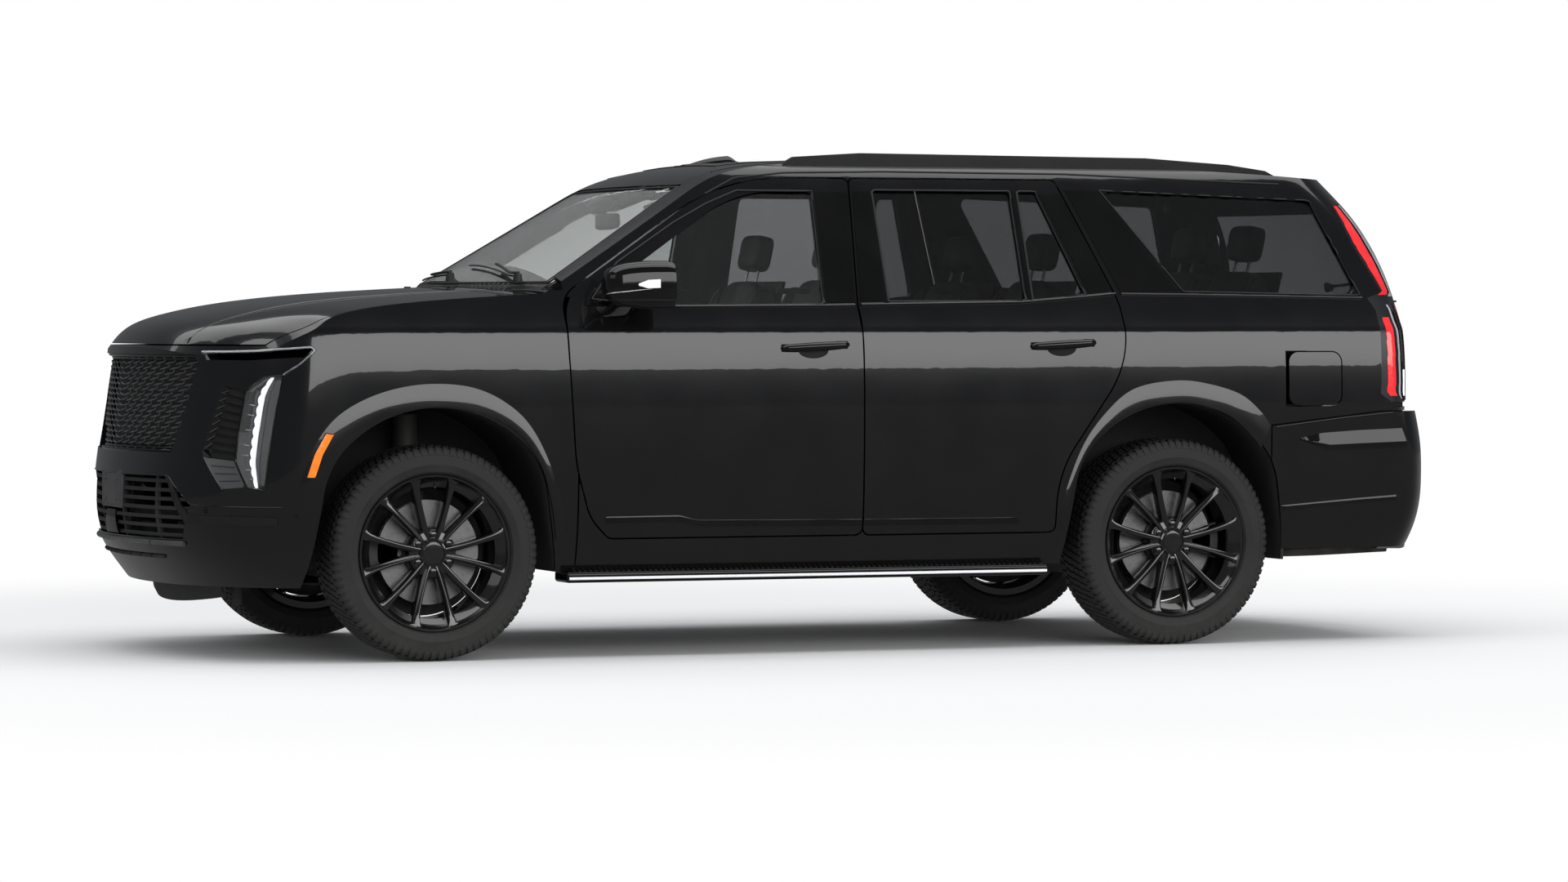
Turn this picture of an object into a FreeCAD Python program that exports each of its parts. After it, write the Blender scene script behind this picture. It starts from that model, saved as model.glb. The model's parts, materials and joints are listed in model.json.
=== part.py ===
"""A full-size luxury sport utility vehicle with four doors, a hood, a liftgate and steered front wheels.

While it is modelled, X runs rearwards from the front axle, Y to the vehicle's right and Z up from the ground.
On export everything moves so that the origin is under the middle of the vehicle's overall box.
"""
import FreeCAD
import Part
import math
import os

V = FreeCAD.Vector

# Overall layout
wheelbase = 3071.0
front_overhang = 1020.0
rear_overhang = 1285.0
body_half_width = 1030.0
ground_clearance = 240.0

# Wheels and tyres
tyre_radius = 410.0
tyre_width = 275.0
rim_lip_radius = 298.0
rim_width = 246.0
rim_wall = 14.0
track = 1740.0
hub_z = tyre_radius
hub_radius = 94.0
spoke_pairs = 6
spoke_face_y = 985.0
disc_radius = 200.0
disc_thickness = 30.0
disc_y = 858.0
spindle_radius = 28.0
spindle_clearance = 0.4
kingpin_y = 780.0
steer_arm_rise = 185.0
lug_count = 6
lug_circle_radius = 69.85
lug_radius = 13.0
cap_radius = 40.0
bead_clearance = 0.3
bead_half_width = 112.0
hub_end_y = 940.0

# Shut gaps and wall thicknesses
shut_gap = 6.0
door_wall = 92.0
window_wall = 42.0
tail_wall = 80.0
roof_wall = 40.0
hood_wall = 28.0
fender_wall = 14.0
bumper_wall = 40.0
glass_thickness = 6.0
bumper_gap = 4.0
vent_slot = 18.0
glass_clearance = 0.6
joint_clearance = 0.5

# Heights along the side
sill_bottom_z = 330.0
door_bottom_z = 455.0
floor_z = 560.0
floor_thickness = 36.0
belt_z = 1354.0
crease_z = 1256.0
door_top_z = 1850.0

# Wheel openings
arch_radius = 545.0
arch_band = 95.0
liner_thickness = 12.0
liner_bottom_z = 330.0
liner_window_z0 = 340.0
liner_window_z1 = 660.0
front_liner_inner_y = 505.0
rear_liner_inner_y = 640.0

# Rear bumper and roof spoiler
bumper_front_x = 3484.0
spoiler_fall = 5.0

# Interior
seat_width = 560.0
seat_y = 430.0

front_x = -front_overhang
rear_x = wheelbase + rear_overhang


# Body sections: each row is a height, the half-width, the nose and the tail at the centreline
BODY_ROWS = [
    (240, 905, -862, 4150),
    (300, 950, -905, 4180),
    (380, 984, -965, 4210),
    (455, 1000, -1003, 4230),
    (530, 1014, -1019, 4245),
    (610, 1020, -1020, 4255),
    (720, 1025, -1012, 4265),
    (860, 1029, -989, 4273),
    (1000, 1030, -978, 4275),
    (1120, 1027, -966, 4274),
    (1200, 1020, -958, 4272),
    (1246, 1013, -952, 4270),
    (1258, 1008, -950, 4269),
    (1276, 997, -948, 4267),
    (1310, 978, -944, 4265),
    (1354, 956, -938, 4262),
    (1430, 925, -930, 4248),
    (1520, 889, -920, 4222),
    (1620, 848, -910, 4180),
    (1720, 806, -900, 4120),
    (1800, 772, -890, 4050),
    (1850, 748, -885, 4005),
    (1874, 734, -880, 3985),
    (1892, 716, -880, 3970),
    (1906, 690, -880, 3960),
    (1925, 640, -880, 3950),
    (1950, 560, -880, 3940),
]
NOSE_BOW, NOSE_CORNER = 180.0, 450.0
TAIL_BOW, TAIL_CORNER = 100.0, 180.0
SIDE_CROWN = 8.0


def interp(x, table):
    """Straight-line reading of a table of (x, value) pairs."""
    if x <= table[0][0]:
        return table[0][1]
    for (x0, v0), (x1, v1) in zip(table, table[1:]):
        if x <= x1:
            return v0 + (v1 - v0) * (x - x0) / (x1 - x0)
    return table[-1][1]


def half_width(z):
    return interp(z, [(row[0], row[1]) for row in BODY_ROWS])


def nose_x(z):
    return interp(z, [(row[0], row[2]) for row in BODY_ROWS])


def tail_x(z):
    return interp(z, [(row[0], row[3]) for row in BODY_ROWS])


def end_curve(share, bow, corner):
    """How far an end of the plan outline has swept back at a share of the half-width."""
    share = min(share, 1.0)
    return bow * share**2 + corner * (1 - (1 - share**4) ** (1 / 2.2))


def bspline_face(grid):
    """A clamped cubic B-spline face with the given rows of poles."""
    def knots(count):
        spans = count - 3
        return [4] + [1] * (spans - 1) + [4], [i / spans for i in range(spans + 1)]
    surface = Part.BSplineSurface()
    u_mults, u_knots = knots(len(grid))
    v_mults, v_knots = knots(len(grid[0]))
    surface.buildFromPolesMultsKnots(grid, u_mults, v_mults, u_knots, v_knots, False, False, 3, 3)
    return surface.toShape()


NOSE_SHARES = [0.0, 0.10, 0.28, 0.46, 0.62, 0.75, 0.85, 0.92, 0.96, 0.985, 1.0]
SIDE_SHARES = [0.06, 0.16, 0.28, 0.4, 0.52, 0.64, 0.76, 0.87, 0.95]


def plan_row(z, width, front, rear, side, nose_bow, nose_corner, tail_bow, tail_corner):
    """Poles of one half of the plan outline at a height, from the nose to the tail."""
    points = []
    for share in NOSE_SHARES:
        sweep = 0.0 if share == NOSE_SHARES[1] else end_curve(share, nose_bow, nose_corner)
        points.append(V(front + sweep, side * width * share, z))
    first = front + nose_bow + nose_corner
    last = rear - tail_bow - tail_corner
    for share in SIDE_SHARES:
        x = first + (last - first) * share
        crown = SIDE_CROWN * ((x - 1600.0) / 2100.0) ** 2
        points.append(V(x, side * (width - crown), z))
    for share in reversed(NOSE_SHARES):
        sweep = 0.0 if share == NOSE_SHARES[1] else end_curve(share, tail_bow, tail_corner)
        points.append(V(rear - sweep, side * width * share, z))
    return points


def plan_solid(rows, nose=(NOSE_BOW, NOSE_CORNER), tail=(TAIL_BOW, TAIL_CORNER)):
    """A closed solid lofted up through plan outlines; rows are (z, half-width, nose x, tail x)."""
    halves = []
    for side in (-1, 1):
        grid = [plan_row(z, w, f, r, side, *nose, *tail) for z, w, f, r in rows]
        halves.append(bspline_face(grid))
    caps = []
    for z in (rows[0][0], rows[-1][0]):
        edges = [e for face in halves for e in face.Edges
                 if abs(e.BoundBox.ZMin - z) < 0.01 and abs(e.BoundBox.ZMax - z) < 0.01]
        caps.append(Part.Face(Part.Wire(Part.sortEdges(edges)[0])))
    shell = Part.Shell(halves + caps)
    shell.sewShape()
    solid = Part.Solid(shell)
    solid.fixTolerance(1e-4)
    if solid.Volume < 0:
        solid.reverse()
    return solid


# Top surface, front part: x, height at the centreline, drop at the side, sweep share of the nose curve
HOOD_ROWS = [
    (-1300, 900, 40, 0.0),
    (-1075, 1060, 60, 0.6),
    (-985, 1150, 75, 1.0),
    (-938, 1225, 80, 1.0),
    (-890, 1270, 80, 1.0),
    (-825, 1300, 78, 0.95),
    (-715, 1328, 75, 0.8),
    (-560, 1358, 72, 0.45),
    (-330, 1386, 68, 0.15),
    (-60, 1406, 62, 0.0),
    (250, 1421, 56, 0.0),
    (650, 1440, 52, 0.0),
    (1400, 1450, 50, 0.0),
    (3000, 1450, 50, 0.0),
    (4700, 1450, 50, 0.0),
]
# Top surface, cabin part: x, height at the centreline, plan bow at the side, drop at the side
CABIN_ROWS = [
    (50, 1265, 170, 25),
    (369, 1448, 180, 28),
    (697, 1636, 180, 32),
    (920, 1763, 170, 36),
    (1043, 1832, 150, 40),
    (1160, 1880, 115, 44),
    (1340, 1915, 60, 48),
    (1600, 1931, 20, 52),
    (2100, 1937, 0, 54),
    (2800, 1932, 0, 54),
    (3400, 1912, 0, 52),
    (3800, 1888, 0, 50),
    (4200, 1850, 0, 48),
    (4700, 1790, 0, 46),
]
TOP_SHARES = [-1.0, -0.9, -0.78, -0.6, -0.4, -0.2, 0.0, 0.2, 0.4, 0.6, 0.78, 0.9, 1.0]
top_half_width = 1100.0
cabin_top_half_width = 1060.0


def hood_face():
    grid = []
    for x, z, drop, sweep in HOOD_ROWS:
        row = []
        for share in TOP_SHARES:
            y = top_half_width * share
            back = sweep * end_curve(min(abs(y) / body_half_width, 0.93), NOSE_BOW, NOSE_CORNER)
            row.append(V(x + back, y, z - drop * abs(share) ** 2.4))
        grid.append(row)
    return bspline_face(grid)


def cabin_face():
    grid = []
    for x, z, bow, drop in CABIN_ROWS:
        row = []
        for share in TOP_SHARES:
            y = cabin_top_half_width * share
            row.append(V(x + bow * share**2, y, z - drop * abs(share) ** 2.2))
        grid.append(row)
    return bspline_face(grid)


def upright(solid):
    """The same solid with its faces the right way out."""
    if solid.Volume < 0:
        solid.reverse()
    return solid


def box(x0, x1, y0, y1, z0, z1):
    return Part.makeBox(x1 - x0, y1 - y0, z1 - z0, V(x0, y0, z0))


def side_prism(points, y0, y1, curved=False):
    """An outline of (x, z) points on the side view, pushed across from y0 to y1."""
    corners = [V(x, y0, z) for x, z in points]
    return upright(Part.Face(Part.makePolygon(corners + corners[:1])).extrude(V(0, y1 - y0, 0)))


def rounded_wire(corners, y):
    """A closed outline on the side view from (x, z, radius) corners, each rounded by an arc of its radius."""
    points = [V(x, y, z) for x, z, _ in corners]
    starts, ends, arcs = [], [], []
    for i, (_, _, radius) in enumerate(corners):
        here = points[i]
        before = (points[i - 1] - here).normalize()
        after = (points[(i + 1) % len(points)] - here).normalize()
        half = before.getAngle(after) / 2
        reach = radius / math.tan(half)
        start, end = here + before * reach, here + after * reach
        starts.append(start)
        ends.append(end)
        if radius:
            inwards = (before + after).normalize()
            middle = here + inwards * (radius / math.sin(half) - radius)
            arcs.append(Part.Arc(start, middle, end).toShape())
    edges = list(arcs)
    for i, end in enumerate(ends):
        start = starts[(i + 1) % len(starts)]
        if end.distanceToPoint(start) > 0.01:
            edges.append(Part.LineSegment(end, start).toShape())
    return Part.Wire(Part.sortEdges(edges)[0])


def inset_corners(corners, inset):
    """The same outline moved inwards by an inset (outwards if negative), its arcs staying concentric."""
    count = len(corners)
    spin = sum(corners[i - 1][0] * corners[i][1] - corners[i][0] * corners[i - 1][1] for i in range(count))
    turn = 1.0 if spin > 0 else -1.0
    moved = []
    for i, (x, z, radius) in enumerate(corners):
        x0, z0, _ = corners[i - 1]
        x1, z1, _ = corners[(i + 1) % count]
        ux, uz = (x - x0) / math.hypot(x - x0, z - z0), (z - z0) / math.hypot(x - x0, z - z0)
        vx, vz = (x1 - x) / math.hypot(x1 - x, z1 - z), (z1 - z) / math.hypot(x1 - x, z1 - z)
        cross = ux * vz - uz * vx
        lead = inset * turn * (1 - (ux * vx + uz * vz)) / cross
        radius = max(radius - inset * math.copysign(1.0, cross * turn), 0.0) if radius else 0.0
        moved.append((x - uz * inset * turn - ux * lead, z + ux * inset * turn - uz * lead, radius))
    return moved


def outline_prism(corners, y0, y1, inset=0.0):
    """A rounded side-view outline pushed across from y0 to y1, smaller all round by an inset."""
    wire = rounded_wire(inset_corners(corners, inset), y0)
    return upright(Part.Face(wire).extrude(V(0, y1 - y0, 0)))


def plan_prism(points, z0, z1):
    corners = [V(x, y, z0) for x, y in points]
    return upright(Part.Face(Part.makePolygon(corners + corners[:1])).extrude(V(0, 0, z1 - z0)))


def front_prism(points, x0, x1):
    """An outline of (y, z) points in the front view, pushed along X."""
    corners = [V(x0, y, z) for y, z in points]
    return upright(Part.Face(Part.makePolygon(corners + corners[:1])).extrude(V(x1 - x0, 0, 0)))


def cylinder_y(radius, y0, y1, x, z):
    return Part.makeCylinder(radius, y1 - y0, V(x, y0, z), V(0, 1, 0))


def mirrored(shape):
    return shape.mirror(V(0, 0, 0), V(0, 1, 0))


def fuse(shapes):
    result = shapes[0].fuse(shapes[1:]) if len(shapes) > 1 else shapes[0]
    return result.removeSplitter()


# Outlines on the side of the body: each corner is x, z and the radius that rounds it
FRONT_DOOR = [(1731, 455, 30), (1729, 1356, 0), (1768, 1848, 25), (1243, 1848, 900), (519, 1382, 110), (524, 1180, 2000),
              (552, 740, 600), (610, 535, 200), (690, 455, 50)]
REAR_DOOR = [(1731, 455, 30), (2549, 455, 30), (2549, 685, 440), (2847, 1109, 420), (2847, 1356, 250), (2649, 1848, 25),
             (1768, 1848, 25), (1729, 1356, 0)]
FRONT_GLASS = [(1590, 1353, 20), (1606, 1796, 30), (1290, 1796, 600), (640, 1372, 25), (900, 1346, 300)]
REAR_GLASS = [(1860, 1364, 20), (1858, 1802, 30), (2450, 1802, 30), (2446, 1366, 20)]
DOOR_QUARTER = [(2474, 1366, 20), (2478, 1802, 30), (2560, 1802, 20), (2706, 1390, 20)]
QUARTER_GLASS = [(2838, 1808, 25), (3132, 1404, 60), (3915, 1390, 40), (3762, 1775, 40)]
WHEEL_OPENING = [(-509.6, 200, 0), (-423, 746, 307), (0, 1157, 498), (423, 746, 307), (509.6, 200, 0)]
WINDSHIELD = [(-845, 1428), (-650, 1822), (650, 1822), (845, 1428)]
GATE_GLASS = [(-770, 1392), (-620, 1740), (620, 1740), (770, 1392)]
GATE = [(-845, 640), (-850, 1360), (-722, 1640), (-668, 1740), (-655, 1990),
        (655, 1990), (668, 1740), (722, 1640), (850, 1360), (845, 640)]


# Where the doors and lids turn
front_hinge_x, front_hinge_y = 462.0, 992.0
rear_hinge_x, rear_hinge_y = 1696.0, 996.0
hinge_heights = [690.0, 1130.0]
hinge_pin_radius = 7.0
hinge_ear_thickness = 12.0
hinge_strap_height = 28.0
strap_thickness = 10.0
front_strap_offset = 90.0
front_strap_landing = 40.0
front_strap_reach = 150.0
strap_recess_y = 889.0
rear_strap_offset = 40.0
hood_hinge_x, hood_hinge_z, hood_hinge_y = 445.0, 1374.0, 880.0
gate_hinge_x, gate_hinge_z, gate_hinge_y = 3694.0, 1836.0, 450.0
frame_top_z = 520.0
upright_low_z, upright_top_z = 310.0, 580.0
spring_seat_z = 290.0
gate_cut_x = 3755.0
gate_bottom_z = 762.0
gate_draft = 0.25
gate_relief = 0.2
gate_relief_top = 1700.0
side_split_y = 643.0
roof_front_z = 1844.0
fuel_door_box = (3560.0, 3790.0, 950.0, 1162.0)
fuel_door_wall = 8.0
fuel_door_gap = 5.0
fuel_hinge_depth = 32.0
fuel_hinge_inset = 34.0
receiver_size, receiver_bore, receiver_z, receiver_pin_radius = 63.5, 51.0, 340.0, 8.15


def tyre():
    """A low-profile tyre as one turned section about the wheel's own axis, centred on the origin."""
    half, bead, crown = tyre_width / 2, rim_lip_radius - 14.0, tyre_radius

    def arc(a, b, c):
        return Part.Arc(V(*a), V(*b), V(*c)).toShape()

    wire = Part.Wire([
        Part.LineSegment(V(0, -bead_half_width, bead), V(0, -bead_half_width, rim_lip_radius + 1)).toShape(),
        Part.LineSegment(V(0, -bead_half_width, rim_lip_radius + 1), V(0, -half + 9, rim_lip_radius + 7)).toShape(),
        arc((0, -half + 9, rim_lip_radius + 7), (0, -half, bead + 62), (0, -half + 12, crown - 20)),
        arc((0, -half + 12, crown - 20), (0, -half + 19, crown - 9), (0, -half + 34, crown - 3)),
        arc((0, -half + 34, crown - 3), (0, 0, crown), (0, half - 34, crown - 3)),
        arc((0, half - 34, crown - 3), (0, half - 19, crown - 9), (0, half - 12, crown - 20)),
        arc((0, half - 12, crown - 20), (0, half, bead + 62), (0, half - 9, rim_lip_radius + 7)),
        Part.LineSegment(V(0, half - 9, rim_lip_radius + 7), V(0, bead_half_width, rim_lip_radius + 1)).toShape(),
        Part.LineSegment(V(0, bead_half_width, rim_lip_radius + 1), V(0, bead_half_width, bead)).toShape(),
        Part.LineSegment(V(0, bead_half_width, bead), V(0, -bead_half_width, bead)).toShape(),
    ])
    return upright(Part.Face(wire).revolve(V(0, 0, 0), V(0, 1, 0), 360))


def turned(points):
    """A ring turned about Y from its (y, r) section."""
    corners = [V(0, y, r) for y, r in points]
    return upright(Part.Face(Part.makePolygon(corners + corners[:1])).revolve(V(0, 0, 0), V(0, 1, 0), 360))


def rim():
    """A left-hand wheel: barrel, six pairs of spokes, hub, lug nuts and brake disc, its face towards -Y."""
    half, bead = rim_width / 2, rim_lip_radius - 14.0
    inside = bead_half_width + bead_clearance
    seat = bead - bead_clearance
    face = -(spoke_face_y - track / 2)
    well = bead - rim_wall - 14
    barrel = turned([(-half, rim_lip_radius - 9), (-half, rim_lip_radius), (-inside, rim_lip_radius), (-inside, seat),
                     (inside, seat), (inside, rim_lip_radius), (half, rim_lip_radius), (half, bead - rim_wall),
                     (0, well), (-half + 24, well), (-half + 6, bead - 8)])
    hub = Part.makeCylinder(hub_radius, 70, V(0, face + 16, 0), V(0, 1, 0))
    pieces = [barrel, hub]
    for i in range(spoke_pairs):
        for lean in (-1, 1):
            outline = [V(lean * 17 - 15, 0, 50), V(lean * 17 + 15, 0, 50), V(lean * 70 + 12, 0, well + 6),
                       V(lean * 70 - 12, 0, well + 6)]
            spoke = Part.Face(Part.makePolygon(outline + outline[:1])).extrude(V(0, 34, 0))
            spoke.translate(V(0, face + 8, 0))
            spoke.rotate(V(0, 0, 0), V(0, 1, 0), 360.0 * (i + 0.5) / spoke_pairs)
            pieces.append(spoke)
    cap = Part.makeCylinder(cap_radius, 12, V(0, face + 6, 0), V(0, 1, 0))
    disc_face = -(disc_y - track / 2) - disc_thickness / 2
    disc = Part.makeCylinder(disc_radius, disc_thickness, V(0, disc_face, 0), V(0, 1, 0))
    hat = Part.makeCylinder(hub_radius + 12, disc_face - (face + 80), V(0, face + 80, 0), V(0, 1, 0))
    wheel = fuse(pieces + [cap, disc, hat])
    for i in range(lug_count):
        angle = 2 * math.pi * (i + 0.5) / lug_count
        centre = V(lug_circle_radius * math.cos(angle), face + 10, lug_circle_radius * math.sin(angle))
        wheel = wheel.cut(Part.makeCylinder(lug_radius + 3, 30, centre, V(0, 1, 0)))
        wheel = wheel.fuse(Part.makeCylinder(lug_radius, 26, centre + V(0, 8, 0), V(0, 1, 0)))
    bore_start = -(hub_end_y - track / 2) - joint_clearance - 2
    bore = Part.makeCylinder(spindle_radius + spindle_clearance, 300, V(0, bore_start, 0), V(0, 1, 0))
    return wheel.cut(bore).removeSplitter()


class Body:
    """The outer form, and the same form inset by the walls that the panels need."""

    def __init__(self):
        hood = hood_face().extrude(V(0, 0, -1500))
        cabin = cabin_face().extrude(V(0, 0, -1700))
        self.top = hood.fuse(cabin)
        self.outer = self.inset(0.0, 0.0, 0.0, 0.0)
        self.wall_inner = self.inset(door_wall, window_wall, tail_wall, roof_wall)
        self.door_clear = self.plan(door_wall + shut_gap, window_wall + shut_gap, tail_wall)
        self.bumper_inner = self.inset(bumper_wall, bumper_wall, bumper_wall, bumper_wall)
        self.fender_inner = self.inset(fender_wall, fender_wall, fender_wall, fender_wall)
        self.hood_inner = self.inset(hood_wall, hood_wall, hood_wall, hood_wall)

    def plan(self, low_wall, high_wall, end_wall):
        rows = []
        for z, w, f, r in BODY_ROWS:
            share = min(max((z - belt_z + 60) / 60.0, 0.0), 1.0)
            wall = low_wall + (high_wall - low_wall) * share
            rows.append((z, w - wall, f + end_wall, r - end_wall))
        return plan_solid(rows)

    def lowered_top(self, drop):
        top = self.top.copy()
        top.translate(V(0, 0, -drop))
        return top

    def inset(self, low_wall, high_wall, end_wall, drop):
        return self.plan(low_wall, high_wall, end_wall).common(self.lowered_top(drop))


def arch_void(x, inner_y, outer_y=1200.0, offset=0.0):
    """The wheel's opening in the left side, from its inner wall out past the skin."""
    outline = [(x + px, pz, radius) for px, pz, radius in WHEEL_OPENING]
    return outline_prism(outline, -outer_y, -inner_y, -offset)


def liner_pocket(body, x, inner_y):
    """The room that a wheel liner takes behind the outer skin of the left side."""
    void = arch_void(x, inner_y - liner_thickness, 1200.0, liner_thickness)
    return void.common(box(x - 620, x + 620, -1200, 0, liner_bottom_z - 2, 1200)).common(body.fender_inner)


def both_sides(shape):
    return Part.makeCompound(shape.Solids + mirrored(shape).Solids)


def bevel(points, slope, toward):
    """What a door's edge loses so that its inner corner leans back; points run along the edge on the skin."""
    lead = 30.0
    if len(points) == 2:
        (x0, z0), (x1, z1) = points
        points = [(x0 + (x1 - x0) * k / 8, z0 + (z1 - z0) * k / 8) for k in range(9)]
    curve = Part.BSplineCurve()
    curve.interpolate([V(x - toward * slope * lead, -half_width(z) - lead, z) for x, z in points])
    edge = curve.toShape()
    face = edge.extrude(V(toward * slope, 1, 0) * 300)
    return face.extrude(V(-toward * 120, 0, 0))


def hinge_parts(x, y, strap_offset, reach, post_y, landing=0.0):
    """Ears with their pin on the post, and the strap with its eye on the door, at both hinge heights."""
    ears, straps = [], []
    for z in hinge_heights:
        half = hinge_strap_height / 2
        for low in (z - half - joint_clearance - hinge_ear_thickness, z + half + joint_clearance):
            ears.append(box(x - 12, x + 12, -y - 12, -post_y, low, low + hinge_ear_thickness))
        ears.append(Part.makeCylinder(hinge_pin_radius, hinge_strap_height + 2 * hinge_ear_thickness + 1,
                                      V(x, -y, z - half - hinge_ear_thickness - 0.5)))
        eye = Part.makeCylinder(hinge_pin_radius + 5, hinge_strap_height, V(x, -y, z - half))
        link = box(x - 8, x + 8, -y, -y + strap_offset + strap_thickness / 2, z - half, z + half)
        arm = box(x - 8, x + reach, -y + strap_offset - strap_thickness / 2, -y + strap_offset + strap_thickness / 2,
                  z - half, z + half)
        strap = [eye, link, arm]
        if landing:
            strap.append(box(x + reach - 35, x + reach, -y + landing, -y + strap_offset, z - half, z + half))
        strap = fuse(strap)
        straps.append(strap.cut(Part.makeCylinder(hinge_pin_radius + joint_clearance, 200, V(x, -y, z - 100))))
    return ears, straps


def door(body, outline, windows, bevels, straps, pockets=()):
    panel = body.outer.cut(body.wall_inner).common(outline_prism(outline, -1200, -500, shut_gap / 2))
    for tool in bevels:
        panel = panel.cut(tool)
    for window in windows:
        panel = panel.cut(outline_prism(window, -1200, -500))
    for pocket in pockets:
        panel = panel.cut(pocket)
    return fuse([panel] + straps)


def build_doors(body, nodes):
    front_ears, front_straps = hinge_parts(front_hinge_x, front_hinge_y, front_strap_offset, front_strap_reach, 918.0,
                                           front_strap_landing)
    rear_ears, rear_straps = hinge_parts(rear_hinge_x, rear_hinge_y, rear_strap_offset, 85.0, 918.0)
    half = shut_gap / 2
    front_edge = [(620 + half, 520), (576 + half, 640), (547 + half, 800), (532 + half, 1018), (526 + half, 1140),
                  (522 + half, 1250), (528 + half, 1320), (552 + half, 1380)]
    front_bevels = [bevel(front_edge, 0.25, 1), bevel([(1725, 1340), (1766, 1870)], 0.3, -1)]
    rear_bevels = [bevel([(1734, 440), (1732, 1340)], 0.45, 1), bevel([(2849.5, 1345), (2637, 1870)], 0.3, -1)]
    pockets = [box(1672, 1760, -half_width(z) + 9, -800, z - 46, z + 46) for z in hinge_heights]
    front = door(body, FRONT_DOOR, [FRONT_GLASS], front_bevels, front_straps, pockets)
    rear = door(body, REAR_DOOR, [REAR_GLASS, DOOR_QUARTER], rear_bevels, rear_straps)
    nodes["front_door_left"] = front
    nodes["rear_door_left"] = rear
    nodes["front_door_right"] = mirrored(front)
    nodes["rear_door_right"] = mirrored(rear)
    layer = body.plan(8, 8, 8).cut(body.plan(8 + glass_thickness, 8 + glass_thickness, 8 + glass_thickness))
    body.glass_layer = layer
    front_glass = layer.common(outline_prism(FRONT_GLASS, -1200, -500))
    rear_glass = Part.makeCompound([layer.common(outline_prism(REAR_GLASS, -1200, -500)),
                                    layer.common(outline_prism(DOOR_QUARTER, -1200, -500))])
    nodes["front_glass_left"] = front_glass
    nodes["rear_glass_left"] = rear_glass
    nodes["front_glass_right"] = mirrored(front_glass)
    nodes["rear_glass_right"] = mirrored(rear_glass)
    return front_ears, rear_ears


def build_side(body, nodes, front_ears, rear_ears):
    """The left body side: pillars, cant rail, quarter panel, rocker, B-post and the hinge ears."""
    cabin = body.wall_inner.common(box(430, 5000, -1200, 1200, floor_z, 2100))
    side = body.outer.cut(cabin).common(box(527, 5000, -1200, -side_split_y, sill_bottom_z, 2100))
    side = side.cut(box(0, 5000, -820, 820, 0, floor_z)).cut(box(3480, 5000, -1200, 0, 0, 700))
    for outline in (FRONT_DOOR, REAR_DOOR):
        void = outline_prism(outline, -1200, -500, -shut_gap / 2).cut(body.door_clear)
        side = side.cut(void)
    side = side.cut(front_prism(WINDSHIELD, 0, 1400))
    side = side.cut(outline_prism(QUARTER_GLASS, -1200, -500))
    side = side.cut(gate_tool(shut_gap))
    side = side.cut(plan_prism(ROOF_REGION, 1700, 2100))
    side = side.cut(arch_void(wheelbase, rear_liner_inner_y - liner_thickness, offset=0))
    side = side.cut(liner_pocket(body, wheelbase, rear_liner_inner_y))
    side = side.cut(side_prism([(0, 1406), (0, 0), (566, 0), (566, 1406)], -1200, -500))
    side = side.cut(box(560, 572, -1200, -880, 668, 712))
    side = side.cut(tail_lamp_tool())
    side = side.cut(side_prism(bumper_region(bumper_gap), -1200, 1200))
    post_outer = body.plan(door_wall + shut_gap, window_wall + shut_gap, tail_wall)
    post_inner = body.plan(door_wall + shut_gap + 46, window_wall + shut_gap + 30, tail_wall)
    post = post_outer.cut(post_inner).common(side_prism([(1672, 400), (1668, 1356), (1716, 1880), (1800, 1880),
                                                         (1790, 1356), (1790, 400)], -1200, -500))
    post = post.common(body.lowered_top(roof_wall - 12))
    a_post = box(400, 515, -926, -850, sill_bottom_z, 1335).fuse(box(476, 640, -866, -838, 1240, 1500))
    a_post = a_post.common(body.fender_inner).cut(arch_void(0, 0, 1200, liner_thickness))
    a_foot = box(490, 530, -926, -820, sill_bottom_z, 455).common(body.outer).cut(arch_void(0, 0, 1200, liner_thickness))
    a_post = a_post.fuse(a_foot)
    for z in hinge_heights:
        room = hinge_strap_height / 2 + joint_clearance
        a_post = a_post.cut(box(front_hinge_x - 14, 600, -1200, -strap_recess_y, z - room, z + room))
    hood_ears = [cylinder_y(hinge_pin_radius, -hood_hinge_y - 20, -hood_hinge_y + 20, hood_hinge_x, hood_hinge_z)]
    for low in (-hood_hinge_y - 12 - joint_clearance - 8, -hood_hinge_y + 12 + joint_clearance):
        hood_ears.append(box(hood_hinge_x - 11, hood_hinge_x + 11, low, low + 8, 1300, hood_hinge_z + 10))
    side = fuse([side, post, a_post] + front_ears + rear_ears + hood_ears)
    nodes["fuel_door"], pocket, fuel_fittings = fuel_door(body)
    nodes["body_side_left"] = fuse([side.cut(pocket)] + fuel_fittings)
    nodes["body_side_right"] = mirrored(side)
    nodes["quarter_glass"] = both_sides(body.glass_layer.common(outline_prism(QUARTER_GLASS, -1200, -500)))


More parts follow.
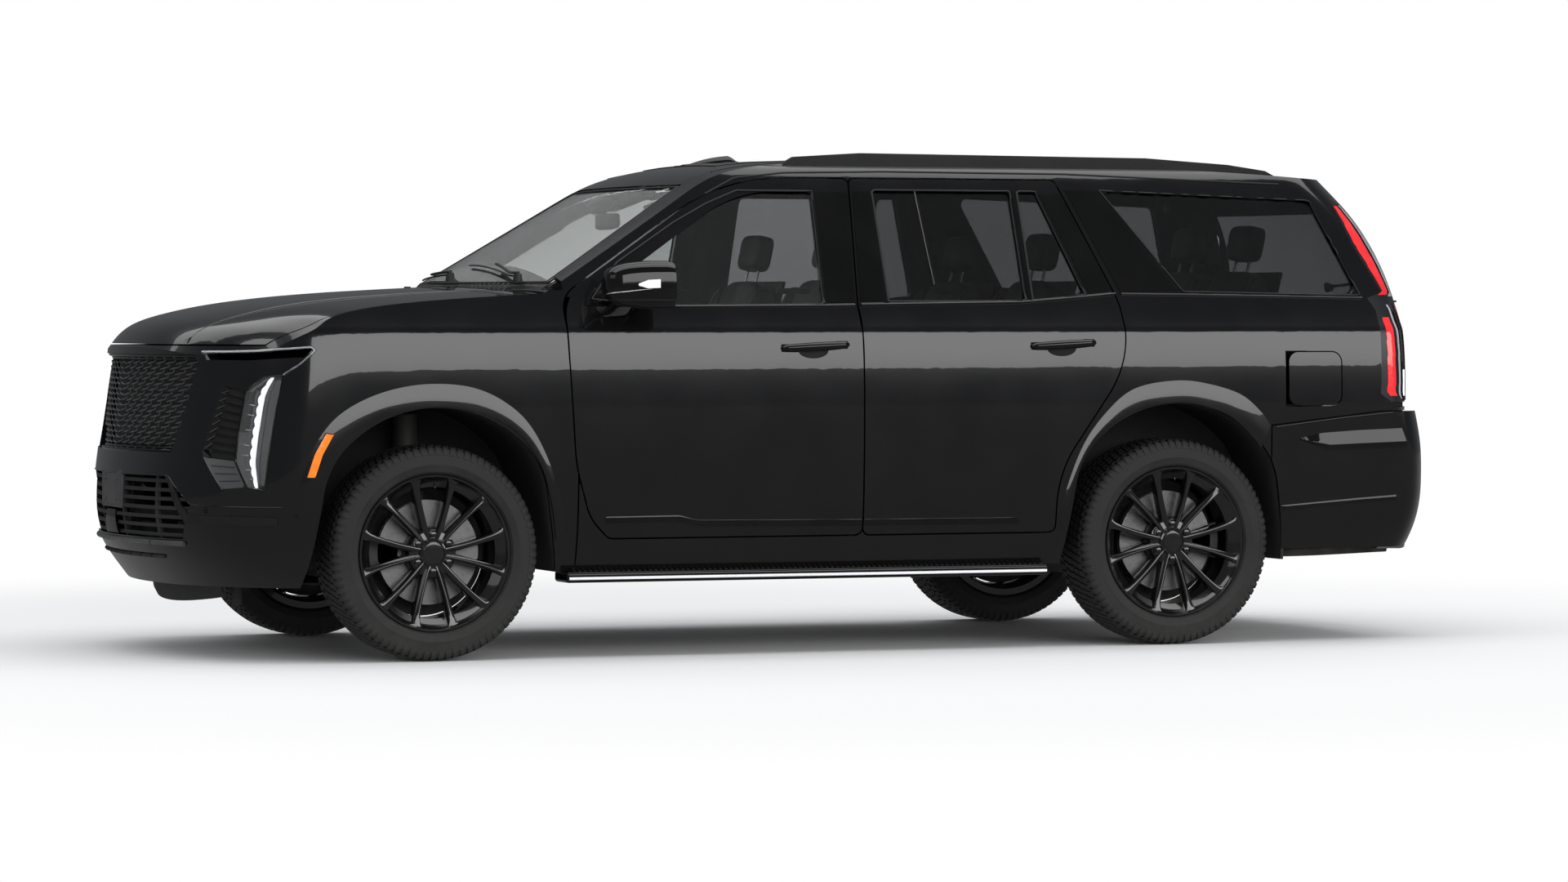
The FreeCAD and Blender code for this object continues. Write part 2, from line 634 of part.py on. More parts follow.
def fuel_door(body):
    """The fuel door in the left quarter panel, with the pocket it closes and the pin it turns on."""
    x0, x1, z0, z1 = fuel_door_box
    flap = rounded_box(x0, x1, -1200, -800, z0, z1, 40, along_y=True)
    flap = flap.common(body.outer).cut(body.plan(fuel_door_wall, fuel_door_wall, fuel_door_wall))
    axis_x, axis_y = x0 + fuel_hinge_inset, -half_width(z0) + fuel_hinge_depth
    gap = fuel_door_gap
    mouth = rounded_box(x0 - gap, x1 + gap, -1200, -half_width(z0) + 60, z0 - gap, z1 + gap, 40 + gap, along_y=True)
    pocket = box(x0 - 16, x0 + 80, -half_width(z0) + 3, -half_width(z0) + 84, z0 - 6, z1 + 6)
    eyes = []
    for z in (z0 + 50, z1 - 80):
        lug = box(axis_x, axis_x + 12, axis_y - 30, axis_y + 4, z, z + 30).common(body.outer)
        eye = Part.makeCylinder(9, 30, V(axis_x, axis_y, z)).fuse(lug)
        eyes.append(eye.cut(Part.makeCylinder(4 + joint_clearance, 40, V(axis_x, axis_y, z - 5))))
    pin = Part.makeCylinder(4, z1 - z0 + 28, V(axis_x, axis_y, z0 - 14))
    neck = cylinder_y(30, -half_width(z0) + 30, -half_width(z0) + 62, (x0 + x1) / 2 + 20, (z0 + z1) / 2)
    return fuse([flap] + eyes), mouth.fuse(pocket), [pin, neck]


ROOF_REGION = [(900, -side_split_y + 3), (gate_cut_x - 3, -side_split_y + 3), (gate_cut_x - 3, side_split_y - 3),
               (900, side_split_y - 3)]


def gate_tool(gap=0.0):
    """The liftgate's outline, narrower inwards so that it draws out of its opening as it swings up."""
    sections = []
    for x in (3560.0, 4460.0):
        points = []
        for y, z in GATE:
            z = max(z, gate_bottom_z - gap)
            draft = gate_draft if gap or z > gate_relief_top else gate_draft + gate_relief
            reach = abs(y) + gap + draft * (x - tail_x(z))
            points.append(V(x, math.copysign(reach, y), z))
        sections.append(Part.makePolygon(points + points[:1]))
    tool = Part.makeLoft(sections, True, True)
    front = side_prism([(gate_cut_x + 3 - gap, 2000), (gate_cut_x + 3 - gap, 1900), (gate_cut_x + 53 - gap, 1800),
                        (3800 - gap, 1700), (3800 - gap, 600), (4500, 600), (4500, 2000)], -1200, 1200)
    return tool.common(front)


def tail_lamp_tool():
    outline = [(3867, 1771), (3918, 1601), (4017, 1402), (3944, 1380), (3972, 1330), (3969, 1034), (3965, 994),
               (4048, 940), (4400, 940), (4400, 1771)]
    return side_prism(outline, -1200, -700)


def bumper_region(gap):
    """The side view of the space that the rear bumper takes, grown by a gap at its front and top."""
    front = bumper_front_x - gap
    return [(front, 0), (front, 869 + gap), (3544, 875 + gap), (3962, 922 + gap), (4600, 922 + gap), (4600, 0)]


def rear_bumper_form(wall):
    rows = [(374, 968, -800, 4300), (440, 992, -800, 4330), (540, 1016, -800, 4351), (640, 1024, -800, 4353),
            (740, 1028, -800, 4351), (800, 1031, -800, 4345), (880, 1033, -800, 4330), (960, 1033, -800, 4310)]
    return plan_solid([(z, w - wall, f, r - wall) for z, w, f, r in rows])


def build_rear(body, nodes):
    gate = body.outer.cut(body.wall_inner).common(gate_tool(0.0))
    gate = gate.cut(front_prism(GATE_GLASS, 3700, 4400))
    arms, ears = [], []
    for y in (-gate_hinge_y, gate_hinge_y):
        eye = cylinder_y(hinge_pin_radius + 8, y - 14, y + 14, gate_hinge_x, gate_hinge_z)
        x, z = gate_hinge_x, gate_hinge_z
        arm = side_prism([(x - 9, z), (x - 9, z - 88), (x + 122, z - 88), (x + 122, z + 22), (x + 104, z + 22),
                          (x + 104, z - 70), (x + 9, z - 70), (x + 9, z)], y - 14, y + 14)
        arms.append(fuse([eye, arm]).cut(cylinder_y(hinge_pin_radius + joint_clearance, y - 20, y + 20,
                                                    gate_hinge_x, gate_hinge_z)))
        for low in (y - 14 - joint_clearance - 10, y + 14 + joint_clearance):
            ears.append(box(gate_hinge_x - 14, gate_hinge_x + 12, low, low + 10, gate_hinge_z - 12, gate_hinge_z + 60))
        ears.append(cylinder_y(hinge_pin_radius, y - 24, y + 24, gate_hinge_x, gate_hinge_z))
    nodes["liftgate"] = fuse([gate] + arms)
    layer = body.glass_layer.common(front_prism(GATE_GLASS, 3700, 4400))
    nodes["liftgate_glass"] = layer
    nodes["spoiler"] = spoiler(body)
    bumper = rear_bumper_form(0.0).cut(rear_bumper_form(bumper_wall))
    bumper = bumper.common(side_prism(bumper_region(0.0), -1200, 1200))
    bumper = bumper.cut(box(3400, 5000, -857, 857, gate_bottom_z - 2 * shut_gap, 1200))
    pocket = liner_pocket(body, wheelbase, rear_liner_inner_y)
    for void in (arch_void(wheelbase, 500), pocket):
        bumper = bumper.cut(void).cut(mirrored(void))
    bumper = bumper.cut(box(3400, 5000, -1200, 1200, 0, 374))
    nodes["rear_bumper"] = bumper
    lamp = body.outer.cut(body.bumper_inner).common(tail_lamp_tool()).cut(gate_tool(shut_gap))
    lamp = lamp.cut(rear_bumper_form(0.0))
    nodes["tail_lamps"] = both_sides(lamp)
    return ears


def spoiler(body):
    """The roof spoiler on the liftgate's top edge, its upper side falling a little faster than the roof."""
    top = body.lowered_top(2)
    top.rotate(V(gate_cut_x, 0, 1888), V(0, 1, 0), spoiler_fall)
    profile = [(gate_cut_x + 14, 1950), (gate_cut_x + 14, 1836), (3930, 1779), (3990, 1799), (3997, 1830), (3997, 1950)]
    ends = plan_prism([(3700, -690), (3900, -676), (4010, -640), (4010, 640), (3900, 676), (3700, 690)], 1700, 2000)
    blade = side_prism(profile, -700, 700).common(top).common(ends)
    return biggest(blade.cut(body.outer))


def build_roof(body, nodes, gate_ears):
    roof = body.outer.cut(body.wall_inner).common(plan_prism(ROOF_REGION, 1700, 2100))
    roof = roof.common(box(0, 5000, -1200, 1200, roof_front_z - 22, 2100)).cut(front_prism(WINDSHIELD, 0, 1400))
    roof = roof.cut(side_prism([(gate_cut_x - 60, 1700), (gate_cut_x - 3, 1880), (gate_cut_x - 3, 2000), (3900, 2000),
                                (3900, 1700)], -1200, 1200))
    for side in (-1, 1):
        roof = roof.cut(box(gate_hinge_x - 24, 3800, side * gate_hinge_y - 20, side * gate_hinge_y + 20, 1700, 1860))
    trimmed = [ear.common(body.lowered_top(12)) for ear in gate_ears]
    nodes["roof"] = fuse([roof] + trimmed)
    rail = side_prism([(1507, 1850), (1512, 1905), (1560, 1932), (1834, 1949), (3069, 1941), (3432, 1918), (3600, 1895),
                       (3651, 1870), (3651, 1830)], -706, -674).cut(body.outer)
    nodes["roof_rails"] = both_sides(rail)
    glass = body.lowered_top(4).cut(body.lowered_top(4 + glass_thickness)).common(front_prism(WINDSHIELD, 0, 1300))
    nodes["windshield"] = glass


def hood_region(side_gap=0.0, rear_gap=0.0):
    """The hood in plan: its side cuts follow the fender creases and its rear edge bows with the windshield."""
    side = [(-1200, -790), (-760, -828), (-730, -841), (-661, -883), (-500, -932), (-354, -958), (-92, -946), (234, -934)]
    side = [(x, y - side_gap) for x, y in side] + [(hood_rear_x(926) + rear_gap, -928 - side_gap)]
    rear = [(hood_rear_x(abs(y)) + rear_gap, y) for y in (-760, -600, -440, -280, -120, 0, 120, 280, 440, 600, 760)]
    return side + rear + [(x, -y) for x, y in reversed(side)]


def hood_rear_x(y):
    return 295.0 + 137.0 * (y / 926.0)**2


def build_front(body, nodes):
    region = plan_prism(hood_region(), 1100, 1600).common(box(-1300, 600, -1200, 1200, 1200, 1600))
    void = plan_prism(hood_region(shut_gap, shut_gap + 20), 1100, 1600).common(box(-1300, 600, -1200, 1200, 1200 - shut_gap, 1600))
    hood = body.outer.cut(body.hood_inner).common(region)
    arms = []
    for y in (-hood_hinge_y, hood_hinge_y):
        eye = cylinder_y(hinge_pin_radius + 4, y - 12, y + 12, hood_hinge_x, hood_hinge_z)
        arm = side_prism([(330, 1338), (330, 1374), (410, 1374), (hood_hinge_x, hood_hinge_z + 8),
                          (hood_hinge_x, hood_hinge_z - 10), (400, 1350)], y - 12, y + 12)
        hole = cylinder_y(hinge_pin_radius + joint_clearance, y - 20, y + 20, hood_hinge_x, hood_hinge_z)
        arms.append(fuse([eye, arm]).cut(hole))
    hood = fuse([hood] + arms)
    nodes["hood"] = hood
    seam = [(-475, 1400), (-475, 1185), (-580, 1084), (-610, 960), (-640, 778), (-655, 642), (-480, 642), (-480, 0)]
    front_side = side_prism(seam + [(-1300, 0), (-1300, 1400)], -1200, 1200)
    skin = body.outer.cut(body.fender_inner)
    fender = skin.common(box(-1300, 560, -1200, -600, sill_bottom_z, 1406)).cut(front_side).cut(void)
    fender = fender.cut(arch_void(0, 500))
    fender = fender.cut(outline_prism(FRONT_DOOR, -1200, -500, -shut_gap / 2))
    fender = fender.cut(front_prism(WINDSHIELD, 0, 1400))
    nodes["fender_left"] = biggest(fender)
    nodes["fender_right"] = mirrored(nodes["fender_left"])
    fascia = body.outer.cut(body.bumper_inner).common(front_side).cut(void)
    fascia = fascia.common(box(-1300, 0, -1200, 1200, 280, 1400))
    for void in (arch_void(0, 500), liner_pocket(body, 0, front_liner_inner_y)):
        fascia = fascia.cut(void).cut(mirrored(void))
    fascia = fascia.cut(front_prism(GRILLE, -1300, -700)).cut(front_prism(LOWER_GRILLE, -1300, -700))
    for outline in (UPPER_LAMP, SIDE_LAMP, SIDE_VENT):
        tool = front_prism(outline, -1300, -400)
        fascia = fascia.cut(tool).cut(mirrored(tool))
    nodes["front_bumper"] = fascia
    shell = body.outer.cut(body.bumper_inner)
    lamps = [shell.common(front_prism(outline, -1300, -400)).common(front_side) for outline in (UPPER_LAMP, SIDE_LAMP)]
    nodes["headlamps"] = both_sides(Part.makeCompound([biggest(lamp) for lamp in lamps]))
    grid = [box(-1200, -700, -720, 720, z, z + 10) for z in range(820, 1150, 54)]
    grid += [box(-1200, -700, y - 6, y + 6, 700, 1200) for y in range(-600, 620, 120)]
    bars = fuse(grid)
    thin = body.inset(10, 10, 10, 10).cut(body.inset(24, 24, 24, 24))
    mesh = thin.common(front_prism(GRILLE, -1300, -700))
    hole = front_prism([(y * 0.965, 975 + (z - 975) * 0.93) for y, z in GRILLE], -1300, -700)
    rim_band = mesh.cut(hole)
    nodes["grille"] = fuse([rim_band, mesh.common(bars)])
    vent = thin.common(front_prism(SIDE_VENT, -1300, -400)).common(front_side)
    slots = [box(-1300, -400, -840, -740, z, z + vent_slot) for z in range(800, 1020, 30)]
    nodes["side_vents"] = both_sides(biggest(vent.cut(Part.makeCompound(slots))))
    lower = thin.common(front_prism(LOWER_GRILLE, -1300, -700))
    slats = [box(-1200, -700, -800, 800, z, z + 14) for z in range(470, 700, 34)]
    posts = [box(-1200, -700, y - 6, y + 6, 400, 800) for y in (-480, -160, 160, 480)]
    nodes["lower_grille"] = fuse([lower.common(piece) for piece in slats + posts])


GRILLE = [(-691, 1160), (-640, 960), (-575, 790), (575, 790), (640, 960), (691, 1160)]
LOWER_GRILLE = [(-578, 700), (-705, 595), (-640, 462), (640, 462), (705, 595), (578, 700)]
UPPER_LAMP = [(-700, 1174), (-891, 1175), (-1010, 1191), (-1010, 1154), (-880, 1140), (-720, 1142)]
SIDE_LAMP = [(-879, 1022), (-921, 1077), (-965, 1084), (-960, 961), (-952, 778), (-949, 651), (-907, 664), (-869, 761),
             (-867, 869)]
SIDE_VENT = [(-798, 1048), (-743, 802), (-750, 775), (-833, 654), (-903, 664), (-865, 761), (-863, 869), (-876, 1024)]


def biggest(shape):
    return max(shape.Solids, key=lambda solid: solid.Volume)


def build_structure(body, nodes):
    """Floor, firewall, inner fenders and the radiator support."""
    void_front = both_sides(arch_void(0, front_liner_inner_y - liner_thickness, 1200, liner_thickness))
    void_rear = both_sides(arch_void(wheelbase, rear_liner_inner_y - liner_thickness, 1200, liner_thickness))
    floor = plan_prism([(430, -820), (4040, -820), (4150, -640), (4150, 640), (4040, 820), (430, 820)], floor_z - floor_thickness,
                       floor_z)
    tunnel = box(430, 2400, -150, 150, floor_z, floor_z + 90)
    floor = floor.fuse(tunnel).cut(void_front).cut(void_rear)
    nodes["floor_pan"] = floor.removeSplitter()
    firewall = box(398, 430, -820, 820, floor_z - floor_thickness, 1360).common(body.hood_inner).cut(void_front)
    cowl = body.lowered_top(22).cut(body.lowered_top(40)).common(box(0, 520, -855, 855, 1200, 1500))
    cowl = cowl.cut(plan_prism(hood_region(shut_gap, shut_gap + 20), 1100, 1600))
    cowl = cowl.common(body.fender_inner).cut(both_sides(box(464, 530, -900, -832, 1200, 1500)))
    cowl_wall = box(430, 470, -838, 838, 1240, 1385).common(body.lowered_top(40))
    nodes["firewall"] = fuse([firewall, cowl_wall])
    nodes["cowl"] = biggest(cowl)
    web = side_prism([(-745, 975), (-745, 1090), (-560, 1140), (398, 1180), (398, 975)], -740, -724)
    flange = side_prism([(-660, 1091), (-660, 1115), (-560, 1140), (398, 1180), (398, 1156), (-560, 1116)], -760, -700)
    support = box(-790, -750, -600, 600, 520, 1080).cut(box(-900, -700, -530, 530, 560, 1000))
    tie = box(-757, -717, -735, 735, 985, 1040)
    nodes["front_structure"] = fuse([web, flange, mirrored(web), mirrored(flange), support, tie])
    liners = []
    for x, inner in ((0, front_liner_inner_y), (wheelbase, rear_liner_inner_y)):
        shell = arch_void(x, inner - liner_thickness, 1200, liner_thickness).cut(arch_void(x, inner, 1300))
        shell = shell.common(box(x - 600, x + 600, -1200, 0, liner_bottom_z, 1200)).common(body.fender_inner)
        shell = shell.cut(box(x - 160, x + 160, -inner - 20, -inner + 40, liner_window_z0, liner_window_z1))
        liners.append(biggest(shell))
    nodes["wheel_liners"] = both_sides(Part.makeCompound(liners))
    rail = [(-840, 400), (-840, frame_top_z), (480, frame_top_z), (2350, frame_top_z), (2600, 524), (4200, 524), (4200, 420), (3300, 420), (3240, 450),
            (2900, 450), (2840, 420), (2600, 420), (2350, 380), (560, 380), (480, 400)]
    members = [side_prism(rail, -450, -370), side_prism(rail, 370, 450)]
    for x in (-800, 560, 1300, 2300, 3600, 4130):
        members.append(box(x, x + 70, -370, 370, 410, 500))
    nodes["chassis_frame"] = Part.makeCompound(members)
    half, bore = receiver_size / 2, receiver_bore / 2
    receiver = box(4100, 4300, -half, half, receiver_z - half, receiver_z + half)
    receiver = receiver.fuse(box(4134, 4194, -150, 150, receiver_z + half, 410)).removeSplitter()
    receiver = receiver.cut(box(4090, 4320, -bore, bore, receiver_z - bore, receiver_z + bore))
    nodes["hitch_receiver"] = receiver.cut(cylinder_y(receiver_pin_radius, -60, 60, 4250, receiver_z))
    engine = box(-640, 60, -290, 290, 540, 1130)
    engine = engine.makeFillet(40, engine.Edges)
    for side in (-1, 1):
        foot = box(-340, -260, *sorted((side * 380, side * 440)), frame_top_z, 640)
        bracket = box(-340, -260, *sorted((side * 250, side * 440)), 600, 640)
        engine = engine.fuse(foot).fuse(bracket)
    nodes["engine"] = engine.removeSplitter()


def build_suspension(nodes):
    parts = []
    for side in (-1, 1):
        lower = plan_prism([(-190, side * 380), (190, side * 380), (40, side * 760), (-40, side * 760)], 250, 290)
        upper = plan_prism([(-130, side * 455), (130, side * 455), (34, side * 760), (-34, side * 760)], 600, 626)
        tower = box(-150, 150, *sorted((side * 370, side * 470)), 520, 640)
        drop = box(-200, 200, *sorted((side * 370, side * 450)), 250, 400)
        strut = Part.makeCylinder(48, 640, V(0, side * 600, 290))
        parts += [lower, drop, tower, upper, strut.cut(box(-60, 60, *sorted((side * 500, side * 700)), 600, 626))]
        for z0, z1 in ((232, upright_low_z - joint_clearance), (upright_top_z + joint_clearance, 640)):
            parts.append(Part.makeCylinder(30, z1 - z0, V(0, side * kingpin_y, z0)))
    cross = box(-120, 120, -380, 380, 260, 330)
    nodes["front_suspension"] = fuse(parts + [cross])
    rear = []
    for side in (-1, 1):
        y0, y1 = sorted((side * 240, side * 760))
        rear.append(box(wheelbase - 60, wheelbase + 60, y0, y1, 260, 300))
        rear.append(box(wheelbase - 40, wheelbase + 40, *sorted((side * 700, side * 760)), 260, 520))
        rear.append(cylinder_y(26, *sorted((side * 120, side * 720)), wheelbase, hub_z))
        spring_length = floor_z - floor_thickness - spring_seat_z
        rear.append(Part.makeCylinder(45, spring_length, V(wheelbase + 120, side * 560, spring_seat_z)))
        rear.append(box(wheelbase, wheelbase + 170, *sorted((side * 500, side * 620)), 262, 298))
        rear.append(cylinder_y(spindle_radius, *sorted((side * 740, side * hub_end_y)), wheelbase, hub_z))
    rear.append(Part.makeSphere(110, V(wheelbase, 0, hub_z)))
    rear.append(box(wheelbase - 120, wheelbase + 120, -260, 260, 250, 300))
    nodes["rear_axle"] = fuse(rear)
    for side, name in ((-1, "left"), (1, "right")):
        upright = box(-46, 46, *sorted((side * (kingpin_y - 32), side * (kingpin_y + 34))), upright_low_z, upright_top_z)
        spindle = cylinder_y(spindle_radius, *sorted((side * 800, side * hub_end_y)), 0, hub_z)
        caliper = caliper_solid(side)
        link = box(-150, -30, *sorted((side * 790, side * 824)), 380, 440)
        nodes["knuckle_" + name] = fuse([upright, spindle, link, caliper])
    calipers = []
    for side in (-1, 1):
        calipers.append(caliper_solid(side, wheelbase, 1))
        calipers.append(box(wheelbase + 40, wheelbase + 150, *sorted((side * 740, side * 824)), 380, 440))
    nodes["rear_calipers"] = fuse(calipers)


def caliper_solid(side, x=0.0, toward=-1):
    """A caliper straddling the brake disc; it stands off the disc on both faces."""
    inner, outer = disc_y - disc_thickness / 2 - 24, disc_y + disc_thickness / 2 + 24
    ring = Part.makeCylinder(232, outer - inner, V(x, min(side * inner, side * outer), hub_z), V(0, 1, 0))
    ring = ring.cut(Part.makeCylinder(120, 200, V(x, side * disc_y - 100, hub_z), V(0, 1, 0)))
    wedge = side_prism([(x, hub_z), (x + toward * 400, hub_z + 130), (x + toward * 400, hub_z - 130)],
                       *sorted((side * 700, side * 1000)))
    slot = Part.makeCylinder(disc_radius + 6, disc_thickness + 12,
                             V(x, side * disc_y - (disc_thickness + 12) / 2, hub_z), V(0, 1, 0))
    return ring.common(wedge).cut(slot)


def build_wheels(nodes):
    left_rim, left_tyre = rim(), tyre()
    for name, x, side in (("front_left", 0, -1), ("front_right", 0, 1), ("rear_left", wheelbase, -1),
                          ("rear_right", wheelbase, 1)):
        for kind, shape in (("rim", left_rim), ("tyre", left_tyre)):
            shape = shape.copy() if side < 0 else mirrored(shape)
            shape.translate(V(x, side * track / 2, hub_z))
            nodes[kind + "_" + name] = shape


def rounded_box(x0, x1, y0, y1, z0, z1, radius, along_y=False):
    solid = box(x0, x1, y0, y1, z0, z1)
    edges = [e for e in solid.Edges if not along_y or abs(e.BoundBox.YLength) > 1]
    return solid.makeFillet(radius, edges)


def seat(x, y, width, depth=520.0, height=700.0, base=floor_z):
    """A seat with its cushion, reclined back, headrest and plinth, facing forwards."""
    plinth = box(x + 40, x + depth - 40, y - width / 2 + 40, y + width / 2 - 40, base, base + 190)
    cushion = rounded_box(x, x + depth, y - width / 2, y + width / 2, base + 190, base + 340, 45)
    back = rounded_box(x + depth - 90, x + depth + 50, y - width / 2, y + width / 2, base + 290, base + height + 190, 45)
    back.rotate(V(x + depth, y, base + 300), V(0, 1, 0), 14)
    head = rounded_box(x + depth + 60, x + depth + 150, y - 130, y + 130, base + height + 110, base + height + 300, 30)
    head = head.fuse(box(x + depth + 90, x + depth + 110, y - 60, y + 60, base + height + 60, base + height + 150))
    return fuse([plinth, cushion, back, head])


def build_interior(body, nodes):
    nodes["front_seats"] = both_sides(seat(1180, -seat_y, seat_width))
    nodes["second_row_seats"] = both_sides(seat(2095, -seat_y, seat_width))
    nodes["third_row_seat"] = seat(3080, 0, 1100, base=floor_z + 40)
    nodes["third_row_seat"] = nodes["third_row_seat"].fuse(box(3100, 3500, -500, 500, floor_z, floor_z + 40))
    dash = side_prism([(430, 1000), (430, 1240), (470, 1240), (470, 1296), (640, 1330), (900, 1290), (930, 1180), (860, 1000)],
                      -800, 800)
    dash = dash.common(body.wall_inner)
    column = Part.makeCylinder(28, 200, V(880, -seat_y, 1150), V(math.cos(0.42), 0, math.sin(0.42)))
    console = rounded_box(900, 1900, -130, 130, floor_z + 90, 1000, 30).fuse(box(860, 960, -130, 130, 940, 1060))
    dash = fuse([dash, column, console])
    nodes["dashboard"] = dash
    axis = V(math.cos(0.42), 0, math.sin(0.42))
    centre = V(880, -seat_y, 1150) + axis * 260
    ring = Part.makeTorus(188, 15, centre, axis)
    boss = Part.makeCylinder(60, 40, centre - axis * 50, axis)
    spokes = []
    for angle in (90, 210, 330):
        spoke = box(0, 20, -20, 20, 30, 180)
        spoke.rotate(V(0, 0, 0), V(1, 0, 0), angle)
        spoke.translate(V(-30, 0, 0))
        spoke.rotate(V(0, 0, 0), V(0, 1, 0), -math.degrees(0.42))
        spoke.translate(centre)
        spokes.append(spoke)
    wheel = fuse([ring, boss] + spokes)
    wheel.translate(axis * -9.5)
    nodes["steering_wheel"] = wheel


def build_trim(body, nodes):
    housing = rounded_box(650, 830, -1186, -985, 1325, 1515, 45)
    arm = box(700, 780, -1000, -880, 1345, 1375).common(box(0, 5000, -1200, 0, 0, 2000))
    arm = arm.cut(body.outer)
    mirror = fuse([housing, arm])
    mirror = mirror.cut(body.outer)
    nodes["mirror_left"] = biggest(mirror)
    nodes["mirror_right"] = mirrored(nodes["mirror_left"])
    board = rounded_box(520, 2520, -1005, -850, 288, 330, 12)
    nodes["running_boards"] = both_sides(board)


def export(name, shape, shift):
    """Move a node to the row's frame and write it."""
    shape = shape.copy()
    shape.translate(shift)
    solids = shape.Solids
    shape = solids[0] if len(solids) == 1 else Part.makeCompound(solids)
    shape.exportStep("parts/" + name + ".step")
    return shape


def main():
    body = Body()
    nodes = {}
    front_ears, rear_ears = build_doors(body, nodes)
    build_side(body, nodes, front_ears, rear_ears)
    gate_ears = build_rear(body, nodes)
    build_roof(body, nodes, gate_ears)
    build_front(body, nodes)
    build_structure(body, nodes)
    build_suspension(nodes)
    build_wheels(nodes)
    build_interior(body, nodes)
    build_trim(body, nodes)
    os.makedirs("parts", exist_ok=True)
    low = nodes["front_bumper"].optimalBoundingBox(False, False).XMin
    high = nodes["rear_bumper"].optimalBoundingBox(False, False).XMax
    shift = V(-(low + high) / 2, 0, 0)
    print("shift", shift.x, low, high)
    for name, shape in nodes.items():
        shape = export(name, shape, shift)
        print(name, shape.isValid(), len(shape.Solids), round(shape.Volume / 1e6, 1), len(shape.Faces))


if __name__ == "__main__":
    main()
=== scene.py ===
"""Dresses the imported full-size SUV in Blender: paint, glass, tread, grille, lamps, trim and cabin.

Lengths written as millimetres are measured in the drawing frame of the part: X rearwards from the
front axle, Y to the vehicle's right, Z up from the ground. place() turns them into the scene's metres.
"""
from __future__ import annotations

import json
import logging
import math
from dataclasses import dataclass, field
from enum import Enum
from typing import Callable, Iterable, Sequence

import bmesh
import bpy
from mathutils import Matrix, Vector
from mathutils.bvhtree import BVHTree
from mathutils.kdtree import KDTree

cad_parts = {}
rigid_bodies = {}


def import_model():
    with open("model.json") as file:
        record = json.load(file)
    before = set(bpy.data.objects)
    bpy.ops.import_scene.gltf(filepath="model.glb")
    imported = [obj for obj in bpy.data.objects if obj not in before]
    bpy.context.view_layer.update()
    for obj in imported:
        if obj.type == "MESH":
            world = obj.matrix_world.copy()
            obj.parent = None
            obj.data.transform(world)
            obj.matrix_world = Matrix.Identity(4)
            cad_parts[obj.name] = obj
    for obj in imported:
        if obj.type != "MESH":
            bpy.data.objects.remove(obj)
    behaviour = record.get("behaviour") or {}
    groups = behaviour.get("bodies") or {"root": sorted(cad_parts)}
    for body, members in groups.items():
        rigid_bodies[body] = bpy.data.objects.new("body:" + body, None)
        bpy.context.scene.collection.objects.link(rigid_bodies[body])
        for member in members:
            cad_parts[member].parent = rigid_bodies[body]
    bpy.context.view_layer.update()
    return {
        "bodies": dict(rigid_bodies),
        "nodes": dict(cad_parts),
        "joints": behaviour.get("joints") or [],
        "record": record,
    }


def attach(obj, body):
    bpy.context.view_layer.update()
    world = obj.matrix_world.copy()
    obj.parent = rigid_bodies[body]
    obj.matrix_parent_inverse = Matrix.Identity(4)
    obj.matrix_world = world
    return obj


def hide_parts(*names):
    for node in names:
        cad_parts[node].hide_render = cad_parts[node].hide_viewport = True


LOG = logging.getLogger("suv")
MM = 0.001
AXLE_SHIFT = -1669.981
AHEAD_OF_NOSE = -1500
SEAT_Y = 430
COLUMN_TILT = 0.42
BODY_CENTRE = Vector((0.0, 0.0, 0.75))
SIDES = {"left": -1, "right": 1}
Point = tuple[float, float, float]


def place(x: float, y: float, z: float) -> Vector:
    """Turns a point of the drawing frame into the scene's metres.

    Args:
        x: millimetres rearwards from the front axle.
        y: millimetres to the vehicle's right.
        z: millimetres above the ground.

    Returns:
        The point in metres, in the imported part's frame.
    """
    return Vector(((x + AXLE_SHIFT) * MM, y * MM, z * MM))


class Slot(Enum):
    """The record's material slots; nothing in the script reads them."""

    PAINT = "body_paint"
    GLASS = "glass"
    LAMP = "lamp"
    TYRE = "tyre"
    WHEEL = "wheel"
    SEAT = "seat_leather"
    CABIN = "cabin_trim"
    STEEL = "chassis_steel"
    PLASTIC = "black_plastic"


def panel(bm: bmesh.types.BMesh, corners: Sequence[Vector]) -> bmesh.types.BMFace:
    """Adds one flat face with the given corners."""
    return bm.faces.new([bm.verts.new(c) for c in corners])


def extrude(bm: bmesh.types.BMesh, faces: Iterable[bmesh.types.BMFace],
            step: Vector) -> list[bmesh.types.BMVert]:
    """Pulls faces out along a vector and closes the block they came from.

    Args:
        bm: the mesh.
        faces: faces to pull.
        step: how far and which way.

    Returns:
        The vertices of the pulled end.
    """
    faces = list(faces)
    result = bmesh.ops.extrude_face_region(bm, geom=faces, use_keep_orig=True)
    tips = [g for g in result["geom"] if isinstance(g, bmesh.types.BMVert)]
    bmesh.ops.translate(bm, verts=tips, vec=step)
    return tips


def soften(work: bmesh.types.BMesh, edges: Sequence[bmesh.types.BMEdge], radius: float, segments: int = 2,
           clamp: bool = True) -> None:
    """Rounds edges.

    Args:
        work: the mesh, changed in place.
        edges: the edges to round.
        radius: the rounding in metres.
        segments: steps in the rounding.
        clamp: whether roundings that would meet are held back.
    """
    bmesh.ops.bevel(work, geom=edges, offset=radius, offset_type="OFFSET", segments=segments, profile=0.5,
                    affect="EDGES", material=-1, clamp_overlap=clamp)


